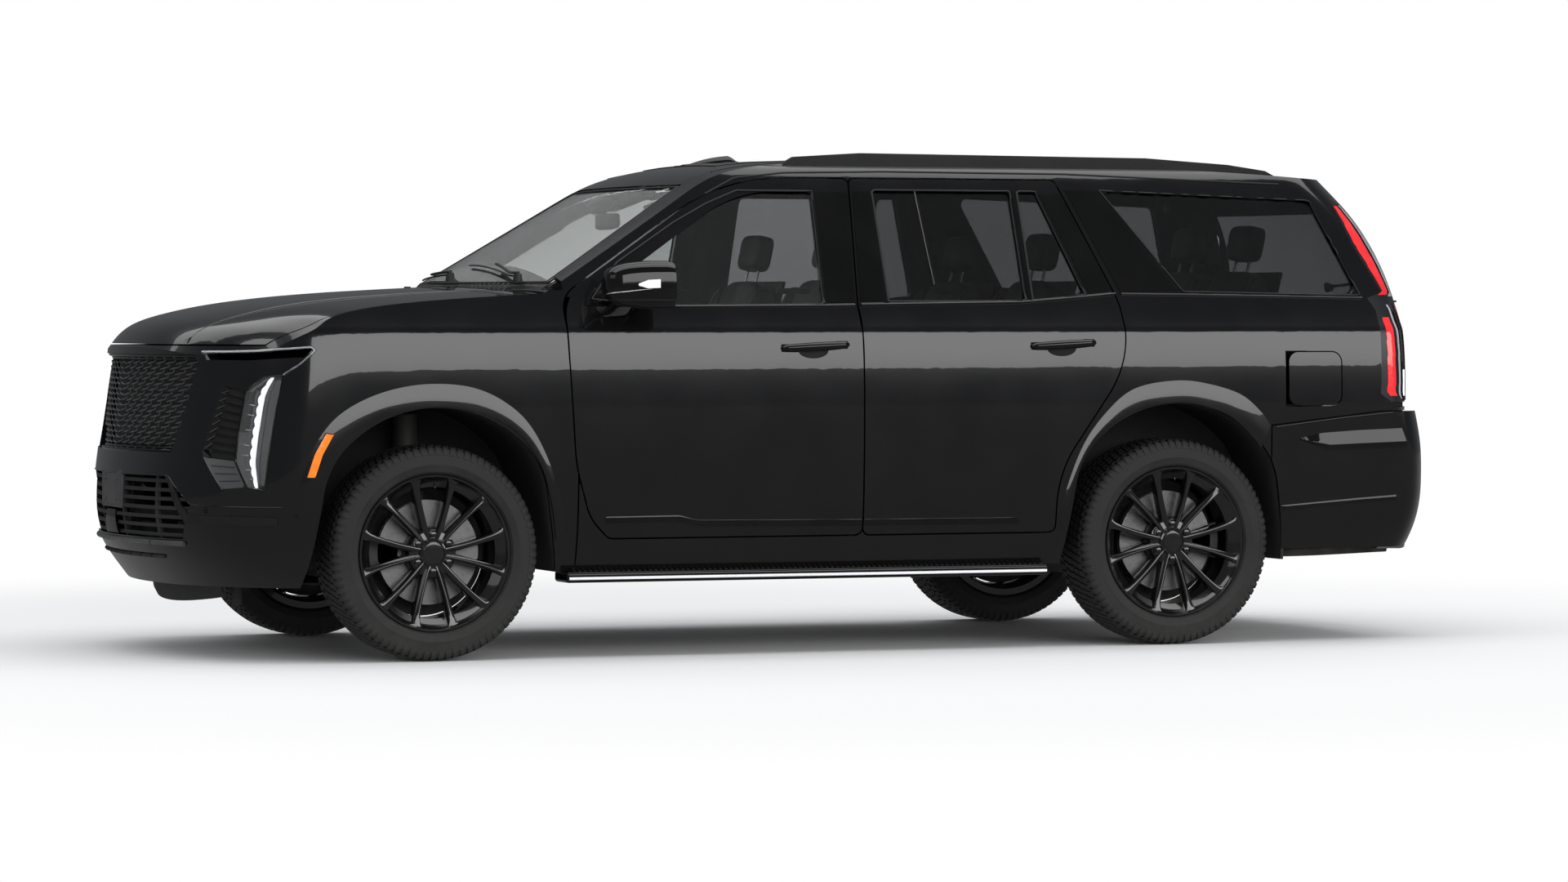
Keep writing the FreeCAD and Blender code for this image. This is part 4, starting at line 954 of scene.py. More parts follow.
class Finishes:
    """Every material of the vehicle, by what it is used for."""

    def __init__(self, effects: Effects) -> None:
        """Builds them all.

        Args:
            effects: the shared groups.
        """
        solid = {"paint": Finish("gloss_black_paint", (0.0035, 0.0035, 0.004), (0.0045, 0.0045, 0.005),
                                 0.16, 0.2, coat=1.0, coat_roughness=0.015, specular=0.25, grain=Grain.PEEL,
                                 grain_scale=120.0, grain_depth=0.006, dust=0.05, dust_top=0.5),
                 "gloss_trim": Finish("gloss_black_trim", (0.003, 0.003, 0.003), (0.005, 0.005, 0.005),
                                      0.05, 0.09, grain=Grain.PEEL, grain_scale=90.0, grain_depth=0.01),
                 "satin_trim": Finish("satin_dark_trim", (0.03, 0.03, 0.032), (0.024, 0.024, 0.026), 0.3,
                                      0.38, metallic=0.6, grain=Grain.PEEL, grain_scale=300.0,
                                      grain_depth=0.02),
                 "plastic": Finish("moulded_black_plastic", (0.012, 0.012, 0.012), (0.018, 0.018, 0.018),
                                   0.45, 0.62, grain=Grain.MOULDED, grain_scale=900.0, grain_depth=0.25,
                                   dust=0.25, dust_top=0.7),
                 # Felt for the wheelhouses and shields; on the door handles' cups and the lip's slots it is
                 # painted shade.
                 "liner": Finish("wheelhouse_felt", (0.010, 0.010, 0.010), (0.016, 0.016, 0.015), 0.85,
                                 0.95, grain=Grain.CARPET, grain_scale=260.0, grain_depth=0.5, dust=0.4,
                                 dust_top=0.9),
                 # Rubber for the seals; on the side vents' slots it is painted shade.
                 "seal": Finish("rubber_seal", (0.008, 0.008, 0.008), (0.012, 0.012, 0.012), 0.55, 0.7,
                                grain=Grain.MOULDED, grain_scale=700.0, grain_depth=0.15),
                 "tyre": Finish("tyre_rubber", (0.014, 0.014, 0.014), (0.022, 0.022, 0.021), 0.55, 0.75,
                                specular=0.35, grain=Grain.MOULDED, grain_scale=520.0, grain_depth=0.2,
                                tone_scale=9.0, dust=0.22, dust_top=0.4),
                 "rim": Finish("gloss_black_wheel", (0.004, 0.004, 0.004), (0.006, 0.006, 0.006), 0.1, 0.16,
                               coat=1.0, coat_roughness=0.03, grain=Grain.PEEL, grain_scale=160.0,
                               grain_depth=0.01, dust=0.06, dust_top=0.7),
                 "disc": Finish("brake_iron", (0.17, 0.17, 0.175), (0.24, 0.24, 0.24), 0.3, 0.5,
                                metallic=1.0, grain=Grain.BRUSHED, grain_scale=260.0, grain_depth=0.4,
                                tone_scale=30.0),
                 "steel": Finish("chassis_black", (0.02, 0.02, 0.02), (0.035, 0.033, 0.03), 0.45, 0.65,
                                 grain=Grain.CAST, grain_scale=90.0, grain_depth=0.2, dust=0.35,
                                 dust_top=0.7),
                 "alloy": Finish("cast_alloy", (0.35, 0.35, 0.36), (0.26, 0.26, 0.27), 0.4, 0.6,
                                 metallic=1.0, grain=Grain.CAST, grain_scale=120.0, grain_depth=0.3),
                 "satin_metal": Finish("satin_bright_metal", (0.55, 0.55, 0.56), (0.48, 0.48, 0.5), 0.2,
                                       0.3, metallic=1.0, grain=Grain.PEEL, grain_scale=240.0,
                                       grain_depth=0.02),
                 "chrome": Finish("lamp_reflector", (0.8, 0.8, 0.82), (0.7, 0.7, 0.72), 0.05, 0.1,
                                  metallic=1.0, grain=Grain.PEEL, grain_scale=60.0, grain_depth=0.02),
                 "white_lamp": Finish("lit_white_lens", (0.92, 0.94, 0.97), (0.86, 0.89, 0.93), 0.15, 0.25,
                                      glow=0.9, grain=Grain.PEEL, grain_scale=150.0, grain_depth=0.05),
                 # Pale strip that glows: the mirrors' turn lamps, and a painted highlight on the running
                 # boards' edges.
                 "white_strip": Finish("pale_strip", (0.75, 0.76, 0.78), (0.68, 0.69, 0.71), 0.2, 0.3,
                                       glow=0.25, grain=Grain.PEEL, grain_scale=150.0, grain_depth=0.03),
                 "clear_lamp": Finish("clear_lamp_edge", (0.42, 0.43, 0.45), (0.33, 0.34, 0.36), 0.08, 0.14,
                                      coat=1.0, grain=Grain.MOULDED, grain_scale=140.0, grain_depth=0.12,
                                      tone_scale=22.0),
                 "privacy_roof": Finish("roof_glass", (0.004, 0.004, 0.005), (0.006, 0.006, 0.007), 0.02,
                                        0.04, coat=1.0, grain=Grain.PEEL, grain_scale=40.0,
                                        grain_depth=0.003, dust=0.04, dust_top=0.4),
                 "exhaust": Finish("exhaust_steel", (0.22, 0.21, 0.2), (0.13, 0.115, 0.1), 0.4, 0.6,
                                   metallic=1.0, grain=Grain.CAST, grain_scale=110.0, grain_depth=0.15,
                                   tone_scale=12.0, dust=0.3, dust_top=0.6),
                 "amber": Finish("amber_marker", (0.85, 0.22, 0.015), (0.7, 0.13, 0.01), 0.12, 0.2,
                                 coat=1.0, glow=0.35, grain=Grain.MOULDED, grain_scale=120.0,
                                 grain_depth=0.25, tone_scale=20.0),
                 # Red lens that glows: lit on the tail lamps, painted glow on the rear reflectors, which
                 # are no lamps.
                 "red": Finish("red_lens", (0.72, 0.03, 0.035), (0.6, 0.015, 0.02), 0.08, 0.15, coat=1.0,
                               glow=0.4, grain=Grain.MOULDED, grain_scale=160.0, grain_depth=0.2,
                               tone_scale=18.0),
                 "lamp_dark": Finish("dark_lamp_housing", (0.02, 0.021, 0.023), (0.035, 0.036, 0.04), 0.2,
                                     0.32, metallic=0.5, grain=Grain.PEEL, grain_scale=120.0,
                                     grain_depth=0.03),
                 # Mid grey: the vent's lower insert, and a painted highlight on the grille's weave, the
                 # lower lip strip and the lamp's reflector facets.
                 "grey_panel": Finish("grey_vent_insert", (0.09, 0.092, 0.095), (0.07, 0.072, 0.075), 0.25,
                                      0.35, metallic=0.3, grain=Grain.MOULDED, grain_scale=500.0,
                                      grain_depth=0.05),
                 "leather": Finish("black_leather", (0.030, 0.029, 0.028), (0.022, 0.021, 0.021), 0.38,
                                   0.55, grain=Grain.LEATHER, grain_scale=700.0, grain_depth=0.35,
                                   tone_scale=8.0, sheen=0.1),
                 "stitch": Finish("stitch_thread", (0.16, 0.155, 0.15), (0.12, 0.118, 0.115), 0.6, 0.75,
                                  grain=Grain.CARPET, grain_scale=1500.0, grain_depth=0.3),
                 "cabin": Finish("soft_dash_skin", (0.022, 0.022, 0.023), (0.017, 0.017, 0.018), 0.5, 0.62,
                                 grain=Grain.LEATHER, grain_scale=850.0, grain_depth=0.25),
                 "headliner": Finish("headliner_cloth", (0.10, 0.098, 0.095), (0.085, 0.083, 0.08), 0.8,
                                     0.92, grain=Grain.CARPET, grain_scale=900.0, grain_depth=0.35,
                                     sheen=0.3),
                 "carpet": Finish("cabin_carpet", (0.018, 0.018, 0.018), (0.028, 0.027, 0.026), 0.85, 0.95,
                                  grain=Grain.CARPET, grain_scale=420.0, grain_depth=0.8, sheen=0.3),
                 "wood": Finish("dark_open_wood", (0.045, 0.028, 0.018), (0.022, 0.014, 0.010), 0.35, 0.5,
                                grain=Grain.BRUSHED, grain_scale=60.0, grain_depth=0.3, tone_scale=14.0),
                 "screen": Finish("screen_glass", (0.004, 0.005, 0.007), (0.006, 0.007, 0.010), 0.04, 0.08,
                                  coat=1.0, grain=Grain.PEEL, grain_scale=30.0, grain_depth=0.005),
                 "mirror": Finish("mirror_silver", (0.85, 0.86, 0.87), (0.8, 0.81, 0.82), 0.01, 0.03,
                                  metallic=1.0, grain=Grain.PEEL, grain_scale=8.0, grain_depth=0.005),
                 "plate": Finish("blank_plate", (0.05, 0.05, 0.052), (0.04, 0.04, 0.042), 0.4, 0.5,
                                 grain=Grain.MOULDED, grain_scale=500.0, grain_depth=0.1)}
        clear = {
            "windshield": Glazing("clear_windshield", (0.80, 0.82, 0.81)),
            "front_glass": Glazing("light_tinted_glass", (0.52, 0.54, 0.54)),
            "privacy_glass": Glazing("privacy_glass", (0.23, 0.235, 0.24)),
            "lens": Glazing("clear_lamp_lens", (0.93, 0.94, 0.95), ripple=0.05),
        }
        self._made = {key: finish.build(effects) for key, finish in (*solid.items(), *clear.items())}

    def __getitem__(self, key: str) -> bpy.types.Material:
        """Gives the material for a use."""
        return self._made[key]

    def dress(self, node: str, key: str) -> None:
        """Puts a finish on a CAD node.

        Args:
            node: the node's name.
            key: the finish's use.
        """
        obj = FRAME["nodes"].get(node)
        if obj is None:
            LOG.warning("no node called %s", node)
            return
        obj.data.materials.clear()
        obj.data.materials.append(self._made[key])


def turn_section(points: Sequence[tuple[float, float]], steps: int) -> bmesh.types.BMesh:
    """Spins a closed section about the wheel's axis.

    Args:
        points: the section as (along the axis, radius) in millimetres.
        steps: steps in the turn.

    Returns:
        A closed ring about the Y axis at the origin.
    """
    work = bmesh.new()
    verts = [work.verts.new((0, y * MM, r * MM)) for y, r in points]
    edges = [work.edges.new(pair) for pair in zip(verts, verts[1:] + verts[:1])]
    bmesh.ops.spin(work, geom=verts + edges, cent=(0, 0, 0), axis=(0, 1, 0), angle=math.tau, steps=steps,
                   use_merge=True)
    bmesh.ops.remove_doubles(work, verts=work.verts, dist=1e-6)
    bmesh.ops.recalc_face_normals(work, faces=work.faces)
    return work


def ring_of(part: bmesh.types.BMesh, count: int) -> bmesh.types.BMesh:
    """Repeats a part evenly round the wheel's axis."""
    bmesh.ops.spin(part, geom=part.verts[:] + part.edges[:] + part.faces[:], cent=(0, 0, 0), axis=(0, 1, 0),
                   angle=math.tau * (count - 1) / count, steps=count - 1, use_duplicate=True)
    return part


@dataclass
class Corner:
    """One of the vehicle's four wheels: where it is and what carries it.

    Attributes:
        name: its place, such as front_left.
        x: its axle's place in millimetres behind the front axle.
        side: -1 on the left, 1 on the right.
        half_track: millimetres from the middle plane to the tyre's middle.
        hub_height: the axle's height in millimetres.
    """

    name: str
    x: float
    side: int
    half_track: float = 870.0
    hub_height: float = 410.0

    def seat(self, bm: bmesh.types.BMesh) -> bmesh.types.BMesh:
        """Moves a part made about the origin, face towards -Y, to this corner.

        Args:
            bm: the mesh, changed in place.

        Returns:
            The new mesh.
        """
        if self.side > 0:
            bmesh.ops.scale(bm, vec=Vector((1, -1, 1)), verts=bm.verts)
            bmesh.ops.reverse_faces(bm, faces=bm.faces)
        bmesh.ops.translate(bm, vec=place(self.x, self.side * self.half_track, self.hub_height),
                            verts=bm.verts)
        return bm


@dataclass
class Tyre:
    """A low-profile road tyre: carcass, five rows of tread blocks and ribbed shoulders.

    Attributes:
        radius: outer radius in millimetres.
        half_width: half its width; not used.
        lip: the rim's outer radius.
        groove: depth of the tread.
        pitches: blocks round each row.
    """

    radius: float = 410.0
    half_width: float = 137.5
    lip: float = 298.0
    groove: float = 8.0
    pitches: int = 84

    def carcass(self) -> bmesh.types.BMesh:
        """Spins the tyre's body, down to the bottom of its grooves.

        Returns:
            The new mesh.
        """
        floor = self.radius - self.groove
        half = [(111.5, self.lip - 13), (111.5, self.lip + 1), (117, self.lip + 1.5), (121, self.lip + 4),
                (126, self.lip + 9), (128.5, self.lip + 10.5), (130, self.lip + 10), (133, self.lip + 18),
                (136, self.lip + 34), (136.9, self.lip + 36), (136.9, self.lip + 40),
                (136.3, self.lip + 42), (135.4, self.lip + 60), (132, floor - 24), (131.6, floor - 22),
                (127, floor - 11), (120, floor - 4), (104, floor - 1.2), (60, floor - 0.3)]
        return turn_section([*half, *[(-y, r) for y, r in reversed(half)]], 128)

    def crown(self, y: float) -> float:
        """Gives the tread's radius at a place across it."""
        return self.radius - 3.0 * (y / 104.0) ** 2

    def tread_block(self, low: float, high: float, start: float, length: float,
                    skew: float) -> bmesh.types.BMesh:
        """Makes one tread block about the top of the tyre.

        Args:
            low: its edge across the tread in millimetres.
            high: its other edge.
            start: where it starts round the tyre, as a share of a pitch.
            length: its length as a share of a pitch.
            skew: how far one edge runs ahead of the other, as a share of a pitch.

        Returns:
            The block.
        """
        pitch = math.tau / self.pitches
        work = bmesh.new()
        corners = []
        for y, at in ((low, start), (high, start + skew), (high, start + skew + length),
                      (low, start + length)):
            angle = at * pitch
            reach = (self.crown(y) - self.groove - 1.5) * MM
            corners.append(Vector((reach * math.sin(angle), y * MM, reach * math.cos(angle))))
        face = panel(work, corners)
        tips = extrude(work, [face], Vector((0, 0, (self.groove + 1.5) * MM)))
        bmesh.ops.recalc_face_normals(work, faces=work.faces)
        top = [e for e in work.edges if all(v in tips for v in e.verts)]
        soften(work, top, 0.9 * MM, 1, False)
        return work

    def shoulder_bar(self, side: int, start: float, length: float) -> bmesh.types.BMesh:
        """Makes one shoulder block that wraps from the tread down on to the sidewall.

        Args:
            side: -1 for one shoulder, 1 for the other.
            start: where it starts, as a share of the pitch.
            length: its length, as a share of the pitch.

        Returns:
            The new mesh.
        """
        pitch = math.tau / self.pitches
        work = bmesh.new()
        line = [(101, self.crown(101) - 0.2), (116, self.radius - 5.2), (126, self.radius - 11),
                (132.5, self.radius - 21), (134.6, self.radius - 34), (134.4, self.radius - 38)]
        inner = [(101, self.radius - self.groove - 5), (116, self.radius - self.groove - 8),
                 (122, self.radius - self.groove - 14), (126.5, self.radius - 28),
                 (130.5, self.radius - 36), (131.5, self.radius - 39)]
        loops = []
        for share in (0.0, 1.0):
            angle = (start + length * share) * pitch
            loops.append([work.verts.new((r * MM * math.sin(angle), side * y * MM,
                                          r * MM * math.cos(angle))) for y, r in (*line, *reversed(inner))])
        for loop in loops:
            work.faces.new(loop)
            for a, b in zip(loop, loop[1:] + loop[:1]):
                if work.edges.get((a, b)) is None:
                    work.edges.new((a, b))
        bmesh.ops.bridge_loops(work, edges=work.edges[:])
        bmesh.ops.recalc_face_normals(work, faces=work.faces)
        return work

    def build(self) -> bmesh.types.BMesh:
        """Joins the carcass with its rows of blocks.

        Returns:
            The new mesh.
        """
        whole = self.carcass()
        rows = [(-21, 21, 0.0, 0.80, 0.25), (26, 57, 0.35, 0.78, 0.3), (-57, -26, 0.65, 0.78, 0.3),
                (64, 98, 0.1, 0.80, 0.2), (-98, -64, 0.4, 0.80, 0.2)]
        for row in rows:
            absorb(whole, ring_of(self.tread_block(*row), self.pitches))
        for side in (-1, 1):
            absorb(whole, ring_of(self.shoulder_bar(side, 0.0, 0.62), self.pitches))
        return whole


@dataclass
class Wheel:
    """A cast wheel with six pairs of blade spokes, and the brake disc behind it.

    Attributes:
        lip: outer radius in millimetres; not used.
        pairs: pairs of spokes.
        spread: degrees between a pair's middle and each tip.
        root: degrees between a pair's middle and each root.
        nut_circle: radius of the circle of nuts.
    """

    lip: float = 298.0
    pairs: int = 6
    spread: float = 15.0
    root: float = 9.5
    nut_circle: float = 70.0

    def barrel(self) -> bmesh.types.BMesh:
        """Spins the rim with its lip, drop centre and inner flange."""
        return turn_section([(-123, 289), (-123.4, 296), (-121, 298.2), (-113, 298.4), (-112, 297),
                             (-112, 284.5), (-96, 281), (-88, 262), (60, 262), (92, 281), (112, 284.5),
                             (112, 297), (121, 298.2), (123, 296), (123, 270), (70, 250), (-84, 250),
                             (-98, 268), (-112, 282), (-119, 286)], 120)

    def spoke(self, lean: int) -> bmesh.types.BMesh:
        """Lofts one spoke of the pair that stands upright.

        Args:
            lean: -1 for the pair's one spoke, 1 for the other.

        Returns:
            The spoke about the wheel's axis.
        """
        stations = [(46, 11.0, 14.0, -97.0, -56.0), (74, 10.5, 15.0, -99.5, -58.0),
                    (110, 9.5, 15.5, -103.0, -60.0), (150, 8.8, 16.0, -106.5, -64.0),
                    (195, 8.6, 16.5, -109.5, -68.0), (235, 9.6, 17.5, -112.5, -72.0),
                    (262, 12.5, 19.5, -115.0, -76.0), (277, 17.0, 23.0, -117.5, -80.0),
                    (290, 25.0, 27.0, -119.0, -86.0)]
        work = bmesh.new()
        rings = []
        for radius, face, back, front_y, back_y in stations:
            share = (radius - 46) / (290 - 46)
            angle = math.radians(lean * (self.root + (self.spread - self.root) * share ** 0.8))
            out = Vector((math.sin(angle), 0, math.cos(angle)))
            side = Vector((math.cos(angle), 0, -math.sin(angle))) * lean
            dip = 9.0 * (1 - share) + 5.0
            section = [(-back, back_y), (-face - 1.5, front_y + dip), (face * 0.35, front_y),
                       (face, front_y + 1.5), (face + 4, front_y + 12), (back, back_y)]
            ring = []
            for across, depth in section:
                spot = (out * radius + side * across) * MM
                ring.append(work.verts.new((spot.x, depth * MM, spot.z)))
            edges = [work.edges.new(pair) for pair in zip(ring, ring[1:] + ring[:1])]
            rings.append(edges)
        for a, b in zip(rings, rings[1:]):
            bmesh.ops.bridge_loops(work, edges=a + b)
        bmesh.ops.holes_fill(work, edges=work.edges[:], sides=0)
        bmesh.ops.recalc_face_normals(work, faces=work.faces)
        crisp = [e for e in work.edges if len(e.link_faces) == 2
                 and e.calc_face_angle(0) > math.radians(22)]
        soften(work, crisp, 1.4 * MM)
        return work

    def hub(self) -> bmesh.types.BMesh:
        """Spins the hub with its bare round cap and adds the nuts in their pockets.

        Returns:
            The new mesh.
        """
        whole = turn_section([(-104, 0.01), (-104, 30), (-103, 39), (-101, 41.6), (-98, 42), (-98, 44.5),
                              (-101, 46), (-99, 51), (-92, 56), (-90, 84), (-86, 92), (-70, 100),
                              (-40, 100), (-40, 0.01)], 72)
        nut = bmesh.new()
        stud(nut, 12.5, 12.5, 20, 6, Matrix.Rotation(math.pi / 2, 4, "X"))
        soften(nut, nut.edges[:], 1.6 * MM, clamp=False)
        bmesh.ops.translate(nut, verts=nut.verts, vec=(0, -92 * MM, self.nut_circle * MM))
        absorb(whole, ring_of(nut, 6))
        pocket = turn_section([(-96, 15.2), (-97.5, 16.5), (-96, 18.5), (-86, 19.5), (-86, 15.2)], 24)
        bmesh.ops.translate(pocket, verts=pocket.verts, vec=(0, 0, self.nut_circle * MM))
        absorb(whole, ring_of(pocket, 6))
        return whole

    def face(self) -> bmesh.types.BMesh:
        """Joins rim, spokes and hub, with a spoke pair between every two nuts.

        Returns:
            The new mesh.
        """
        whole = self.barrel()
        spokes = bmesh.new()
        for lean in (-1, 1):
            absorb(spokes, self.spoke(lean))
        bmesh.ops.rotate(spokes, verts=spokes.verts, cent=(0, 0, 0),
                         matrix=Matrix.Rotation(math.radians(30), 3, "Y"))
        absorb(whole, ring_of(spokes, self.pairs))
        absorb(whole, self.hub())
        valve = bmesh.new()
        tube(valve, [Vector((0, -108 * MM, 262 * MM)), Vector((0, -122 * MM, 246 * MM))], 3.6 * MM, 10)
        absorb(whole, valve)
        return whole

    def disc(self) -> bmesh.types.BMesh:
        """Makes the vented brake disc with its hat and a ring of fine slots.

        Returns:
            The new mesh.
        """
        whole = turn_section([(-27, 96), (-27, 199), (-25, 200), (-17, 200), (-17, 194), (-8, 194),
                              (-8, 200), (0, 200), (3, 199), (3, 100), (-20, 94)], 96)
        absorb(whole, turn_section([(-44, 30), (-44, 88), (-41, 92), (-20, 95), (-20, 30)], 64))
        vane = bmesh.new()
        prism(vane, [Vector((-0.002, -0.018, 0.11)), Vector((0.002, -0.018, 0.11)),
                     Vector((0.012, -0.018, 0.195)), Vector((0.008, -0.018, 0.195))], Vector((0, 0.011, 0)))
        absorb(whole, ring_of(vane, 36))
        return whole

    def shield(self) -> bmesh.types.BMesh:
        """Spins the dished splash shield behind the disc."""
        return turn_section([(68, 60), (68, 222), (58, 236), (58, 245), (61, 245), (61, 238), (72, 224),
                             (72, 60)], 72)


@dataclass
class RunningGear:
    """The four wheels with their tyres and discs."""

    wheelbase: float = 3071.0

    def corners(self) -> list[Corner]:
        """Lists the four corners."""
        return [Corner(f"{end}_{side}", x, sign) for end, x in (("front", 0.0), ("rear", self.wheelbase))
                for side, sign in SIDES.items()]

    def build(self, finishes: Finishes) -> None:
        """Builds every wheel and dresses its knuckle and caliper.

        Args:
            finishes: the vehicle's materials.
        """
        tyre, wheel = Tyre(), Wheel()
        for corner in self.corners():
            body = "wheel_" + corner.name
            finish_piece(corner.seat(tyre.build()), "tread_tyre_" + corner.name, finishes["tyre"], body,
                         32, ["tyre_" + corner.name], 0)
            finish_piece(corner.seat(wheel.face()), "blade_wheel_" + corner.name, finishes["rim"], body,
                         30, ["rim_" + corner.name])
            finish_piece(corner.seat(wheel.disc()), "brake_disc_" + corner.name, finishes["disc"], body,
                         30)
            carrier = "body" if corner.name.startswith("rear") else "knuckle_" + corner.name.split("_")[1]
            finish_piece(corner.seat(wheel.shield()), "splash_shield_" + corner.name, finishes["liner"],
                         carrier, 40)
        for node in ("knuckle_left", "knuckle_right", "rear_calipers", "front_suspension", "rear_axle",
                     "chassis_frame", "front_structure"):
            finishes.dress(node, "steel")


@dataclass
class Shell:
    """The painted panels, panes and plain structure that keep their CAD shape."""

    painted: tuple[str, ...] = ("body_side_left", "body_side_right", "roof", "hood", "fender_left",
                                "fender_right", "front_bumper", "rear_bumper", "liftgate",
                                "front_door_left", "front_door_right", "rear_door_left", "rear_door_right",
                                "fuel_door", "roof_rails")
    trims: tuple[str, ...] = ("mirror_left", "mirror_right", "running_boards")

    def dress(self, finishes: Finishes) -> None:
        """Gives every CAD node its finish.

        Args:
            finishes: the vehicle's materials.
        """
        for node in self.painted:
            finishes.dress(node, "paint")
        for node in self.trims:
            finishes.dress(node, "gloss_trim")
        uses = {"windshield": "windshield", "front_glass_left": "front_glass",
                "front_glass_right": "front_glass", "rear_glass_left": "privacy_glass",
                "rear_glass_right": "privacy_glass", "quarter_glass": "privacy_glass",
                "liftgate_glass": "privacy_glass", "grille": "gloss_trim", "lower_grille": "plastic",
                "cowl": "plastic", "wheel_liners": "liner", "headlamps": "lamp_dark",
                "tail_lamps": "lamp_dark", "floor_pan": "carpet", "firewall": "steel", "engine": "alloy",
                "front_seats": "leather", "second_row_seats": "leather", "third_row_seat": "leather",
                "dashboard": "cabin", "steering_wheel": "leather", "spoiler": "paint",
                "hitch_receiver": "steel", "side_vents": "plastic"}
        for node, key in uses.items():
            if node in FRAME["nodes"]:
                finishes.dress(node, key)


@dataclass
class NoseCurve:
    """The nose's bowed surface, read where it is solid and carried across its openings.

    Attributes:
        skin: the nose's panels.
        sill: a height in millimetres below the lower grille.
        bar: a height between the grilles.
        brow: a height above the upper one.
    """

    skin: Skin
    sill: float = 446.0
    bar: float = 745.0
    brow: float = 1186.0

    def front(self, y: float, z: float, lift: float = 0.0) -> Vector:
        """Gives the nose's surface at a place across it.

        Args:
            y: millimetres across.
            z: height in millimetres.
            lift: millimetres in front of the surface.

        Returns:
            The point in metres.
        """
        middle = self._middle(z)
        edge_y = 760.0
        edge = self.skin.from_front(-edge_y, z)
        reach = (edge.x if edge is not None else place(-790, 0, 0).x) - middle
        return Vector((middle + reach * (y / edge_y) ** 2 - lift * MM, y * MM, z * MM))

    def face(self, y: float, z: float, lift: float = 0.0) -> Vector:
        """Gives the panel's own surface where there is one, and otherwise the bowed surface.

        Args:
            y: millimetres to the right of the middle plane.
            z: the height in millimetres.
            lift: millimetres off the surface.

        Returns:
            The point in metres.
        """
        found = self.skin.hit(place(AHEAD_OF_NOSE, y, z), Vector((1, 0, 0)))
        if found and found[1].x < -0.15:
            return found[0] + found[1] * (lift * MM)
        return self.front(y, z, lift)

    def _middle(self, z: float) -> float:
        """Gives the surface's x on the middle plane, read between the grilles and past them.

        Args:
            z: the height in millimetres.

        Returns:
            The x in metres.
        """
        low, high = (self.sill, self.bar) if z < self.bar else (self.bar, self.brow)
        a, b = self.skin.from_front(0, low), self.skin.from_front(0, high)
        return a.x + (b.x - a.x) * (z - low) / (high - low)


